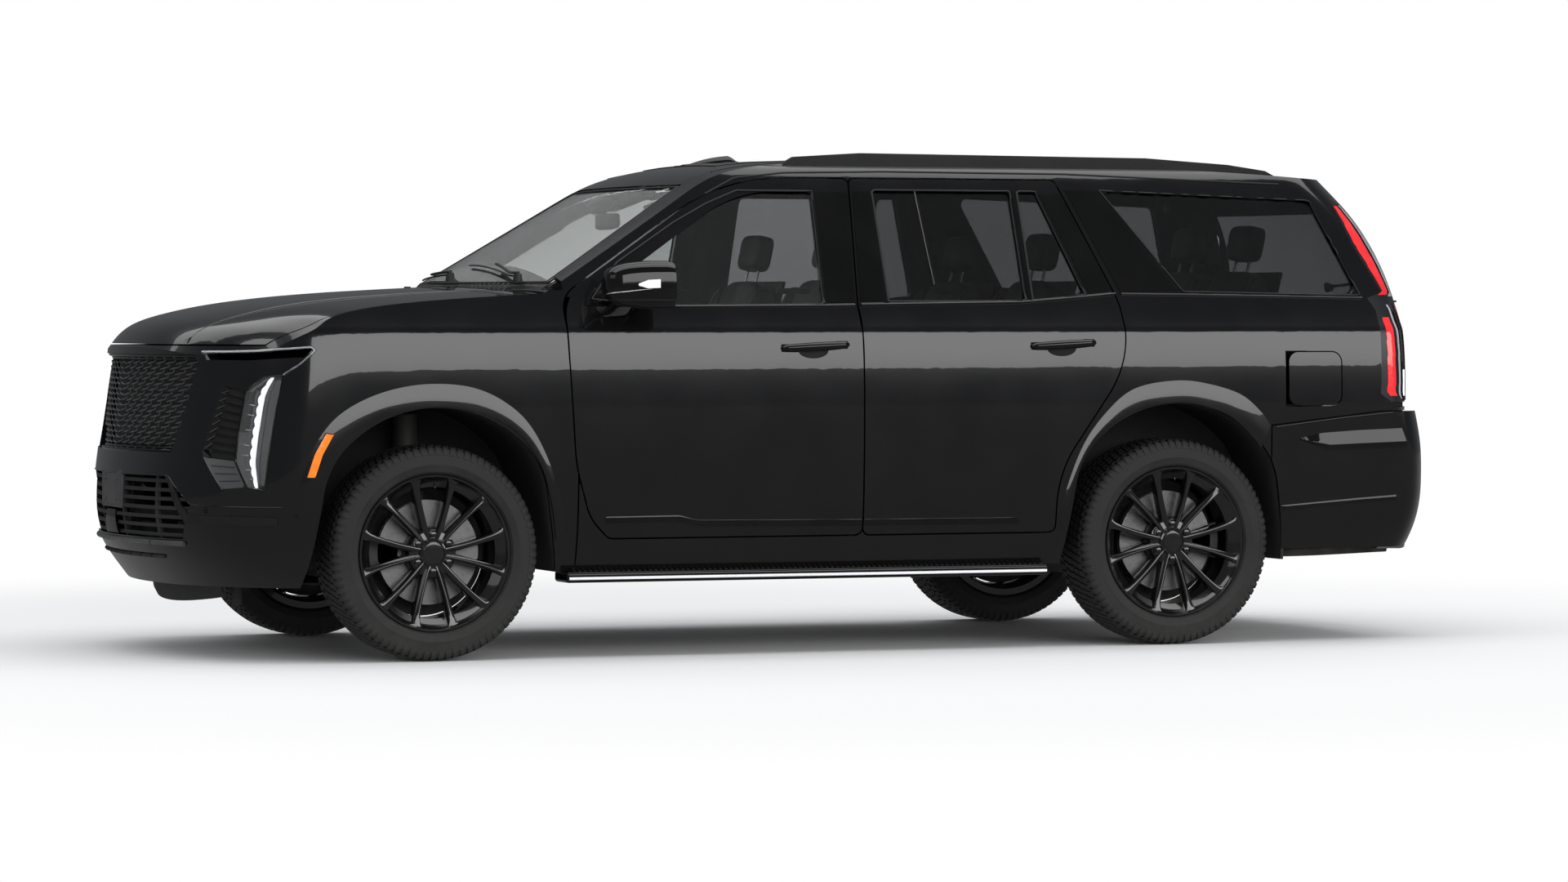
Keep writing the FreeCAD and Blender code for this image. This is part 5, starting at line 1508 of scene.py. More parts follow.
@dataclass
class Grille:
    """The main grille: a woven mesh of short slanted bars in a raised frame, with its dark shutter behind.

    Attributes:
        top: height of its upper edge in millimetres.
        bottom: height of its lower edge.
        half_top: half its width at the top.
        half_bottom: half its width at the bottom.
        row: height of one row of bars.
        pitch: width from bar to bar.
    """

    top: float = 1160.0
    bottom: float = 790.0
    half_top: float = 691.0
    half_bottom: float = 575.0
    row: float = 20.5
    pitch: float = 76.0

    def half(self, z: float) -> float:
        """Gives half the opening's width at a height."""
        share = (z - self.bottom) / (self.top - self.bottom)
        return self.half_bottom + (self.half_top - self.half_bottom) * share

    def outline(self, inset: float) -> list[tuple[float, float]]:
        """Gives the opening's outline, inset, as places across and up.

        Args:
            inset: millimetres inside the opening's edge.

        Returns:
            The outline's places.
        """
        low, high = self.bottom + inset, self.top - inset
        points = [(-self.half(high) + inset, high), (-self.half(900) + inset, 900),
                  (-self.half(low + 26) + inset, low + 26), (-self.half(low) + inset + 24, low)]
        return points + [(-y, z) for y, z in reversed(points)]

    def weave(self, nose: NoseCurve) -> bmesh.types.BMesh:
        """Weaves the slanted bars, each joined to the rows above and below by short struts.

        Args:
            nose: the nose's curve.

        Returns:
            The new mesh.
        """
        whole = bmesh.new()
        rows = int((self.top - self.bottom - 16) / self.row)
        for k in range(rows + 1):
            z = self.bottom + 10 + k * self.row
            count = int(2 * self.half_top / self.pitch) + 3
            for i in range(-count // 2, count // 2 + 1):
                y = (i + 0.5 * (k % 2)) * self.pitch
                if abs(y) > self.half(z) - 18:
                    continue
                way = -1 if y < 0 else 1
                self._bar(whole, nose, y, z, way)
        return whole

    def _bar(self, whole: bmesh.types.BMesh, nose: NoseCurve, y: float, z: float, way: int) -> None:
        """Adds one slanted bar, whose grey finish is a painted highlight for its bright upper edge, and its
        strut.

        Args:
            whole: the mesh that takes it.
            nose: the nose's curve.
            y: millimetres to the right of the middle plane.
            z: the height in millimetres.
            way: -1 or 1, the way that it slants.
        """
        span, rise = self.pitch * 0.40, 4.5
        limit = self.half(z) - 6
        ends = []
        for share in (-1, -0.35, 0.35, 1):
            at = max(-limit, min(limit, y + share * span))
            ends.append((at, z + rise * share * way, -13.0 + 3.0 * (1 - abs(share))))
        path = [nose.front(a, h, lift) for a, h, lift in ends]
        tube(whole, path, [2.2 * MM, 4.0 * MM, 4.0 * MM, 2.2 * MM], 6, 0.8)
        foot = min(limit, max(-limit, y + span * way))
        if z + self.row < self.top - 8:
            tip = min(limit, max(-limit, y + (span + self.pitch * 0.1) * way))
            tube(whole, [nose.front(foot, z + rise, -14), nose.front(tip, z + self.row - rise, -14)],
                 2.4 * MM, 5)

    def frame(self, nose: NoseCurve) -> bmesh.types.BMesh:
        """Sweeps the raised frame round the opening.

        Args:
            nose: the nose's curve.

        Returns:
            The new mesh.
        """
        whole = bmesh.new()
        corners = self.outline(3.0)
        ring = resample([*corners, corners[0]], 121)
        tube(whole, [nose.front(y, z, -2.0) for y, z in ring], 8.5 * MM, 8, 0.9)
        inner = self.outline(15.0)
        ring = resample([*inner, inner[0]], 121)
        tube(whole, [nose.front(y, z, -12.0) for y, z in ring], 5.0 * MM, 8)
        return whole

    def shutter(self, nose: NoseCurve) -> bmesh.types.BMesh:
        """Makes the radiator shutter behind the mesh, with level vanes.

        Args:
            nose: the nose's curve.

        Returns:
            The new mesh.
        """
        rows = []
        for k in range(9):
            z = self.bottom + 4 + (self.top - self.bottom - 8) * k / 8
            rows.append([nose.front(self.half(z) * (i / 12 - 1), z, -48) for i in range(25)])
        whole = sheet(rows, 0.004)
        for k in range(9):
            z = self.bottom + 24 + k * 41
            span = self.half(z) - 20
            tube(whole, [nose.front(span * (i / 8 - 1), z, -44) for i in range(17)], 6 * MM, 6, 0.5)
        return whole

    def build(self, nose: NoseCurve, finishes: Finishes) -> None:
        """Builds mesh, frame and shutter.

        Args:
            nose: the nose's curve.
            finishes: the vehicle's materials.
        """
        # The weave is gloss black; its grey finish is a painted highlight.
        finish_piece(self.weave(nose), "woven_grille_mesh", finishes["grey_panel"], "body",
                     40, ["grille"])
        finish_piece(self.frame(nose), "grille_frame", finishes["gloss_trim"], "body", 60)
        finish_piece(self.shutter(nose), "radiator_shutter", finishes["plastic"], "body", 30)


def both(bm: bmesh.types.BMesh) -> bmesh.types.BMesh:
    """Adds the right-hand twin of a left-hand mesh and hands it back."""
    mirror_over(bm)
    return bm


@dataclass
class HeadLamp:
    """The upright lamp at the nose's corner, its strip lamp above and its louvred vent beside it.

    Attributes:
        outer: the lens's edge next to the fender.
        inner: the lens's edge next to the vent.
        strip: the thin upper lamp's middle line.
        hook: its run down beside the fender.
        vent_edge: the vent's edge next to the grille.
        louvres: level blades in the vent.
        scallops: waves along the light strip's inner edge.
    """

    outer: tuple[Point, ...] = ((-587, -965, 1084), (-598, -963, 1020), (-610, -960, 961),
                                (-636, -952, 778), (-653, -949, 651))
    inner: tuple[Point, ...] = ((-656, -921, 1077), (-690, -895, 1050), (-712, -879, 1022),
                                (-737, -867, 869), (-744, -869, 761), (-716, -907, 664))
    strip: tuple[Point, ...] = ((-835, -692, 1172), (-760, -800, 1173), (-679, -891, 1176),
                                (-560, -965, 1184), (-490, -998, 1190))
    hook: tuple[Point, ...] = ((-490, -998, 1190), (-474, -1001, 1180), (-484, -1000, 1164),
                               (-530, -990, 1124), (-585, -966, 1086))
    vent_edge: tuple[Point, ...] = ((-781, -798, 1048), (-812, -770, 925), (-838, -744, 802),
                                    (-839, -750, 775), (-794, -833, 656))
    louvres: int = 8
    scallops: int = 11

    def line_at(self, share: float) -> list[Point]:
        """Gives the upright line at a share of the lens's width, 0 at the vent, 1 at the fender.

        Args:
            share: the share.

        Returns:
            Its places in millimetres of the drawing frame.
        """
        line = []
        for p, q in zip(resample_3d(self.inner, 25), resample_3d(self.outer, 25)):
            x, y, z = (c / MM for c in p.lerp(q, share))
            line.append((x - AXLE_SHIFT, y, z))
        return line

    def tray(self, lay: Overlay, along: int = 30, across: int = 12,
             depth: float = 36.0) -> bmesh.types.BMesh:
        """Makes the dark housing: a tray whose rim meets the panels and whose floor lies deep.

        Args:
            lay: the overlay on the nose's skin.
            along: steps along its edges.
            across: steps between them.
            depth: millimetres to its floor.

        Returns:
            The new mesh.
        """
        a, b = resample_3d(self.inner, along + 1), resample_3d(self.outer, along + 1)
        rows = []
        for i in range(across + 1):
            row = []
            for k, (p, q) in enumerate(zip(a, b)):
                at_rim = min(i, across - i, k, along - k) == 0
                row.append(lay.snap(p.lerp(q, i / across), (-1.0 if at_rim else -depth) * MM))
            rows.append(row)
        return turned_sheet(rows, 2.5 * MM)

    def light_strip(self, lay: Overlay) -> bmesh.types.BMesh:
        """Makes the lit white strip with its scalloped inner edge.

        Args:
            lay: the overlay on the nose's skin.

        Returns:
            The new mesh.
        """
        steps = self.scallops * 8
        a = resample_3d(self.line_at(0.40), steps + 1)
        b = resample_3d(self.line_at(0.56), steps + 1)
        rows = [[], [], []]
        for k, (p, q) in enumerate(zip(a, b)):
            wave = 0.30 * abs(math.sin(math.pi * k * self.scallops / steps))
            first = p.lerp(q, 0.30 - wave)
            for i in range(3):
                rows[i].append(lay.snap(first.lerp(q, i / 2), -13 * MM))
        return turned_sheet(rows, 9 * MM, Vector((-0.5, -1, 0)))

    def build(self, lay: Overlay, finishes: Finishes) -> None:
        """Builds lamps and vents on both sides.

        Args:
            lay: the overlay on the nose's skin.
            finishes: the vehicle's materials.
        """
        finish_piece(both(self.tray(lay)), "headlamp_housing", finishes["lamp_dark"], "body", 30,
                     ["headlamps"])
        finish_piece(both(self.light_strip(lay)), "headlamp_light_strip", finishes["white_lamp"], "body",
                     30)
        # The facets' flat grey is a painted reflection of the chrome behind the lens.
        facets = bmesh.new()
        for low, high, lift in ((0.60, 0.70, -16), (0.71, 0.83, -20), (0.84, 0.97, -10)):
            absorb(facets, lay.patch(self.line_at(low)[1:-1], self.line_at(high)[1:-1], 24, 2, lift, 6))
        finish_piece(both(facets), "headlamp_reflector_facets", finishes["grey_panel"], "body",
                     30)
        baffle = bmesh.new()
        for k in range(9):
            line = [self.line_at(s)[2 + int(k * 2.6)] for s in (0.08, 0.2, 0.34)]
            absorb(baffle, lay.bead(line, 2.4, -20, 6, 0.6))
        finish_piece(both(baffle), "headlamp_inner_ribs", finishes["satin_metal"], "body", 40)
        finish_piece(both(lay.patch(self.inner, self.outer, 30, 12, 0.6, 2.5)), "headlamp_lens",
                     finishes["lens"], "body", 40)
        rim = lay.bead([*self.outer, *reversed(self.inner), self.outer[0]], 3.2, 0.2, 90, 0.8)
        finish_piece(both(rim), "headlamp_rim", finishes["gloss_trim"], "body", 60)
        self._strip_lamp(lay, finishes)
        self._vent(finishes)

    def _strip_lamp(self, lay: Overlay, finishes: Finishes) -> None:
        """Builds the thin clear strip lamp under the hood's edge and its hook.

        Args:
            lay: the overlay on the nose's skin.
            finishes: the vehicle's materials.
        """
        line = [*self.strip, *self.hook[1:]]
        bed = lay.bead(line, 11.0, -7.0, 60, 0.5)
        finish_piece(both(bed), "strip_lamp_bed", finishes["lamp_dark"], "body", 50)
        core = lay.bead(line, 5.0, -1.5, 60, 0.6)
        finish_piece(both(core), "strip_lamp_core", finishes["clear_lamp"], "body", 50)
        lens = lay.bead(line, 9.5, 0.5, 60, 0.5, 10)
        finish_piece(both(lens), "strip_lamp_lens", finishes["lens"], "body", 50)

    def _span(self, first: Sequence[Point], second: Sequence[Point], along: int, across: int,
              depth: Callable[[bool], float]) -> list[list[Vector]]:
        """Stretches a grid between two edges of the vent's opening.

        Args:
            first: the edge next to the grille.
            second: the edge next to the lamp.
            along: steps along the edges.
            across: steps between them.
            depth: gives the millimetres behind the nose's face, for the rim or for what lies inside it.

        Returns:
            The grid's rows.
        """
        rim = Skin(("front_bumper", "headlamps")).tree
        a = [rim.find_nearest(p)[0] for p in resample_3d(first, along + 1)]
        b = [rim.find_nearest(p)[0] for p in resample_3d(second, along + 1)]
        back = Vector((0.7, 0.714, 0.0))
        return [[p.lerp(q, i / across) + back * (depth(min(i, across - i, k, along - k) == 0) * MM)
                 for k, (p, q) in enumerate(zip(a, b))] for i in range(across + 1)]

    def _vent(self, finishes: Finishes) -> None:
        """Builds the louvred vent, with its paler lower part, whose slots are dark tubes of painted shade.

        Args:
            finishes: the vehicle's materials.
        """
        upper, lower = self.vent_edge[:4], self.vent_edge[3:]
        inner = self.inner
        tray = sheet(self._span(self.vent_edge, inner[1:], 24, 8, lambda at_rim: 1.0 if at_rim else 26.0),
                     2.5 * MM)
        finish_piece(both(tray), "side_vent_tray", finishes["plastic"], "body", 30,
                     ["side_vents"])
        blades = bmesh.new()
        grid = self._span(upper, inner[2:5], self.louvres + 1, 6, lambda at_rim: 5.0)
        for k in range(1, self.louvres + 1):
            tube(blades, [row[k] for row in grid], 7 * MM, 6, 0.55)
        finish_piece(both(blades), "side_vent_louvres", finishes["gloss_trim"], "body", 40)
        panel_low = sheet(self._span(lower, inner[4:], 10, 8, lambda at_rim: 1.5), 5 * MM)
        finish_piece(both(panel_low), "side_vent_lower_insert", finishes["grey_panel"], "body",
                     30)
        # The slots are dark tubes on the insert: painted shade where openings would be.
        slots = bmesh.new()
        grid = self._span(lower, inner[4:], 4, 8, lambda at_rim: 0.4)
        for k in range(1, 4):
            tube(slots, [row[k] for row in grid[1:-1]], 2.2 * MM, 6, 0.5)
        finish_piece(both(slots), "side_vent_slots", finishes["seal"], "body", 40)


@dataclass
class BumperFace:
    """What sits on the front bumper: wings, lips, radar cover, plate bracket, sensors and air dam.

    Attributes:
        wing_top: the upper edge of the blade at the bumper's corner.
        wing_low: its lower edge.
        crease: the line above the blade.
        bracket: the plate bracket's left, right, lower and upper edge in millimetres.
    """

    wing_top: tuple[Point, ...] = ((-934, -578, 700), (-912, -640, 606), (-886, -690, 560),
                                   (-850, -760, 556), (-700, -905, 553), (-600, -962, 552))
    wing_low: tuple[Point, ...] = ((-938, -560, 690), (-918, -610, 590), (-898, -657, 530),
                                   (-855, -748, 522), (-705, -898, 520), (-606, -958, 522))
    crease: tuple[Point, ...] = ((-937, -400, 703), (-934, -578, 702), (-886, -699, 597), (-850, -760, 592),
                                 (-720, -890, 590), (-593, -976, 590))
    bracket: tuple[float, float, float, float] = (-158.0, 158.0, 566.0, 712.0)

    def build(self, lay: Overlay, nose: NoseCurve, finishes: Finishes) -> None:
        """Builds everything on the front bumper.

        Args:
            lay: the overlay on the nose's skin.
            nose: the nose's surface.
            finishes: the vehicle's materials.
        """
        wing = lay.patch(self.wing_top, self.wing_low, 30, 3, 5.0, 9)
        finish_piece(both(wing), "bumper_wing_blade", finishes["satin_trim"], "body", 30)
        crease = lay.bead(self.crease, 3.0, 0.4, 60, 0.6)
        finish_piece(both(crease), "bumper_crease_bead", finishes["gloss_trim"], "body", 50)
        self._lower_lip(nose, finishes)
        self._plate_bracket(nose, finishes)
        self._sensors(lay, finishes)
        self._air_dam(finishes)

    def _lower_lip(self, nose: NoseCurve, finishes: Finishes) -> None:
        """Builds the strip under the lower grille, grey as a painted reflection, the slots, dark felt tubes
        of painted shade where openings are, and the cover in its middle.

        Args:
            nose: the nose's curve.
            finishes: the vehicle's materials.
        """
        # The strip's grey finish is a painted reflection on dark gloss trim.
        strip = bmesh.new()
        for low, high in ((-640, -430), (-420, 420), (430, 640)):
            path = [nose.face(low + (high - low) * s / 12, 446, 3) for s in range(13)]
            tube(strip, path, 12 * MM, 8, 0.9)
        finish_piece(strip, "lower_lip_strip", finishes["grey_panel"], "body", 50)
        # The slots are dark felt tubes on the bumper's face: painted shade where openings would be.
        slots = bmesh.new()
        for k in range(-4, 5):
            y = k * 105.0
            path = [nose.face(y - 44 + 88 * s / 5, 391, 0.5) for s in range(6)]
            tube(slots, path, 10 * MM, 8, 0.8)
        finish_piece(slots, "lower_lip_slots", finishes["liner"], "body", 40)
        rows = []
        for k in range(7):
            z = 470 + 88 * k / 6
            half = 92 - 26 * k / 6
            rows.append([nose.front(half * (s / 4 - 1), z, 10 - 0.03 * (z - 514) ** 2 / 10)
                         for s in range(9)])
        finish_piece(sheet(rows, 0.006), "radar_cover", finishes["gloss_trim"], "body", 40)

    def _plate_bracket(self, nose: NoseCurve, finishes: Finishes) -> None:
        """Builds the blank plate bracket with its rounded corners and screw bosses.

        Args:
            nose: the nose's curve.
            finishes: the vehicle's materials.
        """
        y0, y1, z0, z1 = self.bracket
        front = nose.front(0, 640, 0).x / MM - AXLE_SHIFT
        whole = bmesh.new()
        block(whole, (front - 6, y0, z0), (front + 30, y1, z1), 5, 3)
        block(whole, (front - 9, y0 + 14, z0 + 12), (front - 3, y1 - 14, z1 - 12), 2.5, 2)
        for y in (-89, 89):
            for z in (z0 + 34, z1 - 34):
                seat = Matrix.Translation(place(front - 10, y, z)) @ Matrix.Rotation(-math.pi / 2, 4, "Y")
                stud(whole, 7, 6, 5, 20, seat)
        finish_piece(whole, "plate_bracket_blank", finishes["plate"], "body", 30)

    def _sensors(self, lay: Overlay, finishes: Finishes) -> None:
        """Sets the round parking sensors in the bumper's face and side.

        Args:
            lay: the overlay on the nose's skin.
            finishes: the vehicle's materials.
        """
        whole = bmesh.new()
        for spot in ((-925, -330, 655), (-840, -775, 575), (-545, -990, 560)):
            centre = lay.snap(place(*spot), 0.5 * MM)
            out = (centre - place(0, 0, spot[2])).normalized()
            turn = out.to_track_quat("Z", "Y").to_matrix().to_4x4()
            turn.translation = centre
            stud(whole, 13, 11.5, 3, 28, turn)
            stud(whole, 9, 8.2, 6, 28, turn)
        finish_piece(both(whole), "front_parking_sensors", finishes["gloss_trim"], "body", 30)

    def _air_dam(self, finishes: Finishes) -> None:
        """Builds the air dam under the nose with its struts.

        Args:
            finishes: the vehicle's materials.
        """
        rows = []
        for drop, set_back in ((0, 0), (30, 4), (70, 10), (96, 22)):
            row = []
            for i in range(25):
                y = 520 * (i / 12 - 1)
                row.append(place(-800 + set_back + 190 * (y / 760) ** 2, y,
                                 300 - drop * (1 - 0.35 * (y / 520) ** 2)))
            rows.append(row)
        whole = sheet(rows, 0.005)
        for y in (-470, 470):
            block(whole, (-650, y - 18, 200), (-618, y + 18, 330), 5)
        finish_piece(whole, "nose_air_dam", finishes["plastic"], "body", 30)


class FrontEnd:
    """The nose: grille, lamps, vents and everything on the bumper."""

    def build(self, finishes: Finishes) -> None:
        """Builds the nose.

        Args:
            finishes: the vehicle's materials.
        """
        skin = Skin(("front_bumper", "headlamps", "side_vents", "fender_left", "fender_right", "hood",
                     "grille", "lower_grille"))
        lay = Overlay(skin)
        nose = NoseCurve(Skin(("front_bumper", "grille", "lower_grille")))
        Grille().build(nose, finishes)
        HeadLamp().build(lay, finishes)
        BumperFace().build(lay, nose, finishes)


Line = Sequence[tuple[float, float]]


@dataclass
class Flank:
    """One side of the vehicle, on which trim is laid from lines of (x, z) places.

    Attributes:
        side: -1 for the left, 1 for the right.
    """

    side: int
    skin: Skin = field(init=False)

    def __post_init__(self) -> None:
        """Collects the side's panels."""
        name = "left" if self.side < 0 else "right"
        nodes = [f"{n}_{name}" for n in ("body_side", "front_door", "rear_door", "front_glass",
                                         "rear_glass", "fender")]
        self.skin = Skin((*nodes, "quarter_glass", "front_bumper", "rear_bumper", "roof", "running_boards",
                          "fuel_door"))

    def at(self, x: float, z: float, lift: float) -> Vector:
        """Reads the side at a place, and falls back on a neighbour where it is open.

        Args:
            x: millimetres behind the front axle.
            z: the height in millimetres.
            lift: millimetres off the surface.

        Returns:
            The point in metres.
        """
        for dx, dz in ((0, 0), (0, 14), (14, 0), (-14, 0), (0, -14), (0, 30), (24, 20), (-24, 20), (0, 60)):
            found = self.skin.hit(place(x + dx, self.side * 1130, z + dz), Vector((0, -self.side, 0)))
            if found and abs(found[0].y) > 0.6:
                point = found[0]
                return Vector((place(x, 0, 0).x, point.y + self.side * lift * MM, z * MM))
        return place(x, self.side * (1000 + lift), z)

    def bead(self, line: Line, radius: float | Sequence[float], lift: float, steps: int = 30,
             flat: float = 1.0, sides: int = 8) -> bmesh.types.BMesh:
        """Lays a bead along a line of the side view.

        Args:
            line: the line's places.
            radius: its radius in millimetres.
            lift: millimetres off the surface.
            steps: steps along it.
            flat: its height as a share of its width.
            sides: corners of its section.

        Returns:
            The new mesh.
        """
        work = bmesh.new()
        radii = radius * MM if isinstance(radius, (int, float)) else [r * MM for r in radius]
        tube(work, [self.at(x, z, lift) for x, z in resample(line, steps + 1)], radii, sides, flat)
        return work

    def strip(self, first: Line, second: Line, along: int, across: int, lifts: Sequence[float],
              thickness: float) -> bmesh.types.BMesh:
        """Fills the space between two lines with a sheet whose lift changes across it.

        Args:
            first: one line of the side view.
            second: the other.
            along: steps along them.
            across: steps between them.
            lifts: lifts in millimetres, spread evenly from the first line to the second.
            thickness: millimetres of wall.

        Returns:
            The closed sheet.
        """
        rows = []
        for i, row in enumerate(between(resample(first, along + 1), resample(second, along + 1), across)):
            spot = i / across * (len(lifts) - 1)
            k = min(int(spot), len(lifts) - 2) if len(lifts) > 1 else 0
            lift = lifts[k] + (lifts[k + 1] - lifts[k]) * (spot - k) if len(lifts) > 1 else lifts[0]
            rows.append([self.at(x, z, lift) for x, z in row])
        return turned_sheet(rows, thickness * MM, Vector((0, self.side, 0)))


@dataclass
class Handle:
    """A gloss pull handle on a door, with its cup, drawn as a dark sheet of painted shade, and its end
    covers.

    Attributes:
        body: the door that carries it.
        front: its front end on the side view.
        rear: its rear end.
    """

    body: str
    front: tuple[float, float]
    rear: tuple[float, float]

    def build(self, flank: Flank, finishes: Finishes) -> None:
        """Builds grip, feet and cup, the cup being a dark felt sheet of painted shade.

        Args:
            flank: the side that carries the pieces.
            finishes: the vehicle's materials.
        """
        (x0, z0), (x1, z1) = self.front, self.rear
        grip = bmesh.new()
        path, radii = [], []
        for k in range(25):
            t = k / 24
            rise = 24.0 * math.sin(math.pi * t) ** 0.45 if 0 < t < 1 else 2.0
            path.append(flank.at(x0 + (x1 - x0) * t, z0 + (z1 - z0) * t, rise))
            radii.append((13.5 + 3.0 * math.sin(math.pi * t)) * MM * (0.62 if k in (0, 24) else 1.0))
        tube(grip, path, radii, 14)
        for t in (0.06, 0.90):
            x, z = x0 + (x1 - x0) * t, z0 + (z1 - z0) * t
            foot = flank.strip([(x - 20, z + 15), (x + 26, z + 15)], [(x - 20, z - 15), (x + 26, z - 15)],
                               8, 4, [1.0, 4.0, 4.0, 1.0], 3)
            absorb(grip, foot)
        tag = f"{self.body}_handle"
        finish_piece(grip, tag, finishes["gloss_trim"], self.body, 50)
        # The cup is a matte dark sheet laid over the door: painted shade of the recess behind the grip.
        cx, cz = x0 + (x1 - x0) * 0.47, z0 + (z1 - z0) * 0.47 - 16
        rings = []
        for r, lift in ((1.0, 0.6), (0.93, 2.2), (0.84, 0.6), (0.45, 0.4)):
            rings.append([(cx + 62 * r * math.cos(math.tau * k / 32),
                           cz + 30 * r * math.sin(math.tau * k / 32), lift) for k in range(33)])
        cup = sheet([[flank.at(*p) for p in ring] for ring in rings])
        if sum(f.normal.y for f in cup.faces) * flank.side < 0:
            bmesh.ops.reverse_faces(cup, faces=cup.faces)
        bmesh.ops.remove_doubles(cup, verts=cup.verts, dist=1e-5)
        bmesh.ops.holes_fill(cup, edges=cup.edges[:], sides=0)
        bmesh.ops.recalc_face_normals(cup, faces=cup.faces)
        finish_piece(cup, f"{self.body}_handle_cup", finishes["liner"], self.body, 40)


@dataclass
class SideTrim:
    """Seals, pillar covers, handles, mouldings, arch lips, marker lamps and running boards.

    Every attribute is a line of (x, z) places in millimetres on the side view: the windows' edges, and
    the outer and inner edges of the raised lips round the wheel openings.
    """

    front_window: tuple[tuple[float, float], ...] = ((640, 1372), (900, 1346), (1590, 1353), (1606, 1796),
                                                     (1290, 1796), (1160, 1745), (1012, 1669), (757, 1511),
                                                     (640, 1372))
    rear_window: tuple[tuple[float, float], ...] = ((1860, 1364), (2446, 1366), (2450, 1802), (1858, 1802),
                                                    (1860, 1364))
    rear_small: tuple[tuple[float, float], ...] = ((2474, 1366), (2706, 1390), (2560, 1802), (2478, 1802),
                                                   (2474, 1366))
    quarter: tuple[tuple[float, float], ...] = ((2838, 1808), (3132, 1404), (3915, 1390), (3762, 1775),
                                                (2838, 1808))
    front_lip: tuple[tuple[float, float], ...] = ((-590, 500), (-528, 687), (-465, 839), (-370, 946),
                                                  (-210, 1021), (-18, 1051), (175, 1026), (337, 926),
                                                  (436, 770), (496, 582), (520, 450))
    front_edge: tuple[tuple[float, float], ...] = ((-478, 500), (-440, 660), (-392, 770), (-310, 872),
                                                   (-182, 940), (-6, 966), (175, 938), (318, 862),
                                                   (405, 750), (453, 600), (478, 450))
    rear_lip: tuple[tuple[float, float], ...] = ((2562, 470), (2588, 620), (2660, 800), (2760, 930),
                                                 (2880, 1020), (3060, 1051), (3202, 1037), (3345, 994),
                                                 (3436, 922), (3478, 868))
    rear_edge: tuple[tuple[float, float], ...] = ((2585, 470), (2612, 620), (2672, 770), (2764, 872),
                                                  (2890, 940), (3066, 966), (3180, 950), (3300, 905),
                                                  (3390, 830), (3432, 780))

    def build(self, finishes: Finishes) -> None:
        """Builds the trim of both sides.

        Args:
            finishes: the vehicle's materials.
        """
        for name, side in SIDES.items():
            flank = Flank(side)
            front, rear = f"front_door_{name}", f"rear_door_{name}"
            self._windows(flank, front, rear, finishes)
            self._pillars(flank, front, rear, name, finishes)
            Handle(front, (1392, 1182), (1664, 1196)).build(flank, finishes)
            Handle(rear, (2441, 1188), (2710, 1202)).build(flank, finishes)
            self._mouldings(flank, front, rear, name, finishes)
            self._arches(flank, name, finishes)
            self._sill(flank, name, finishes)

    def _windows(self, flank: Flank, front: str, rear: str, finishes: Finishes) -> None:
        """Lays the dark seals round the door windows.

        Args:
            flank: the side that carries the pieces.
            front: the front door's name.
            rear: the rear door's name.
            finishes: the vehicle's materials.
        """
        finish_piece(flank.bead(self.front_window, 4.5, 2.0, 120, 0.8), f"{front}_window_seal",
                     finishes["seal"], front, 50)
        whole = flank.bead(self.rear_window, 4.5, 2.0, 100, 0.8)
        absorb(whole, flank.bead(self.rear_small, 4.5, 2.0, 80, 0.8))
        finish_piece(whole, f"{rear}_window_seal", finishes["seal"], rear, 50)

    def _pillars(self, flank: Flank, front: str, rear: str, name: str, finishes: Finishes) -> None:
        """Covers the pillars between the windows with smooth gloss panels.

        Args:
            flank: the side that carries the pieces.
            front: the front door's name.
            rear: the rear door's name.
            name: left or right.
            finishes: the vehicle's materials.
        """
        gloss = finishes["gloss_trim"]
        finish_piece(flank.strip([(1602, 1360), (1618, 1792)], [(1718, 1360), (1756, 1792)], 20, 6,
                                 [2.6, 3.2, 2.6], 2.5), f"{front}_pillar_cover", gloss, front,
                     40)
        whole = flank.strip([(1742, 1364), (1776, 1796)], [(1848, 1368), (1848, 1796)], 20, 6,
                            [2.6, 3.2, 2.6], 2.5)
        absorb(whole, flank.strip([(2720, 1400), (2574, 1790)], [(2824, 1404), (2668, 1790)], 20, 6,
                                  [2.6, 3.2, 2.6], 2.5))
        absorb(whole, flank.strip([(2454, 1370), (2456, 1798)], [(2466, 1370), (2470, 1798)], 16, 2, [3.0],
                                  2.5))
        finish_piece(whole, f"{rear}_pillar_covers", gloss, rear, 40)
        band = flank.strip([(2856, 1402), (2690, 1806)], [(3108, 1410), (2826, 1806)], 24, 8,
                           [2.2, 2.8, 2.2], 2.0)
        finish_piece(band, f"rear_pillar_cover_{name}", gloss, "body", 40)
        seal = flank.bead(self.quarter, 4.0, 1.6, 110, 0.8)
        finish_piece(seal, f"quarter_window_seal_{name}", finishes["seal"], "body", 50)

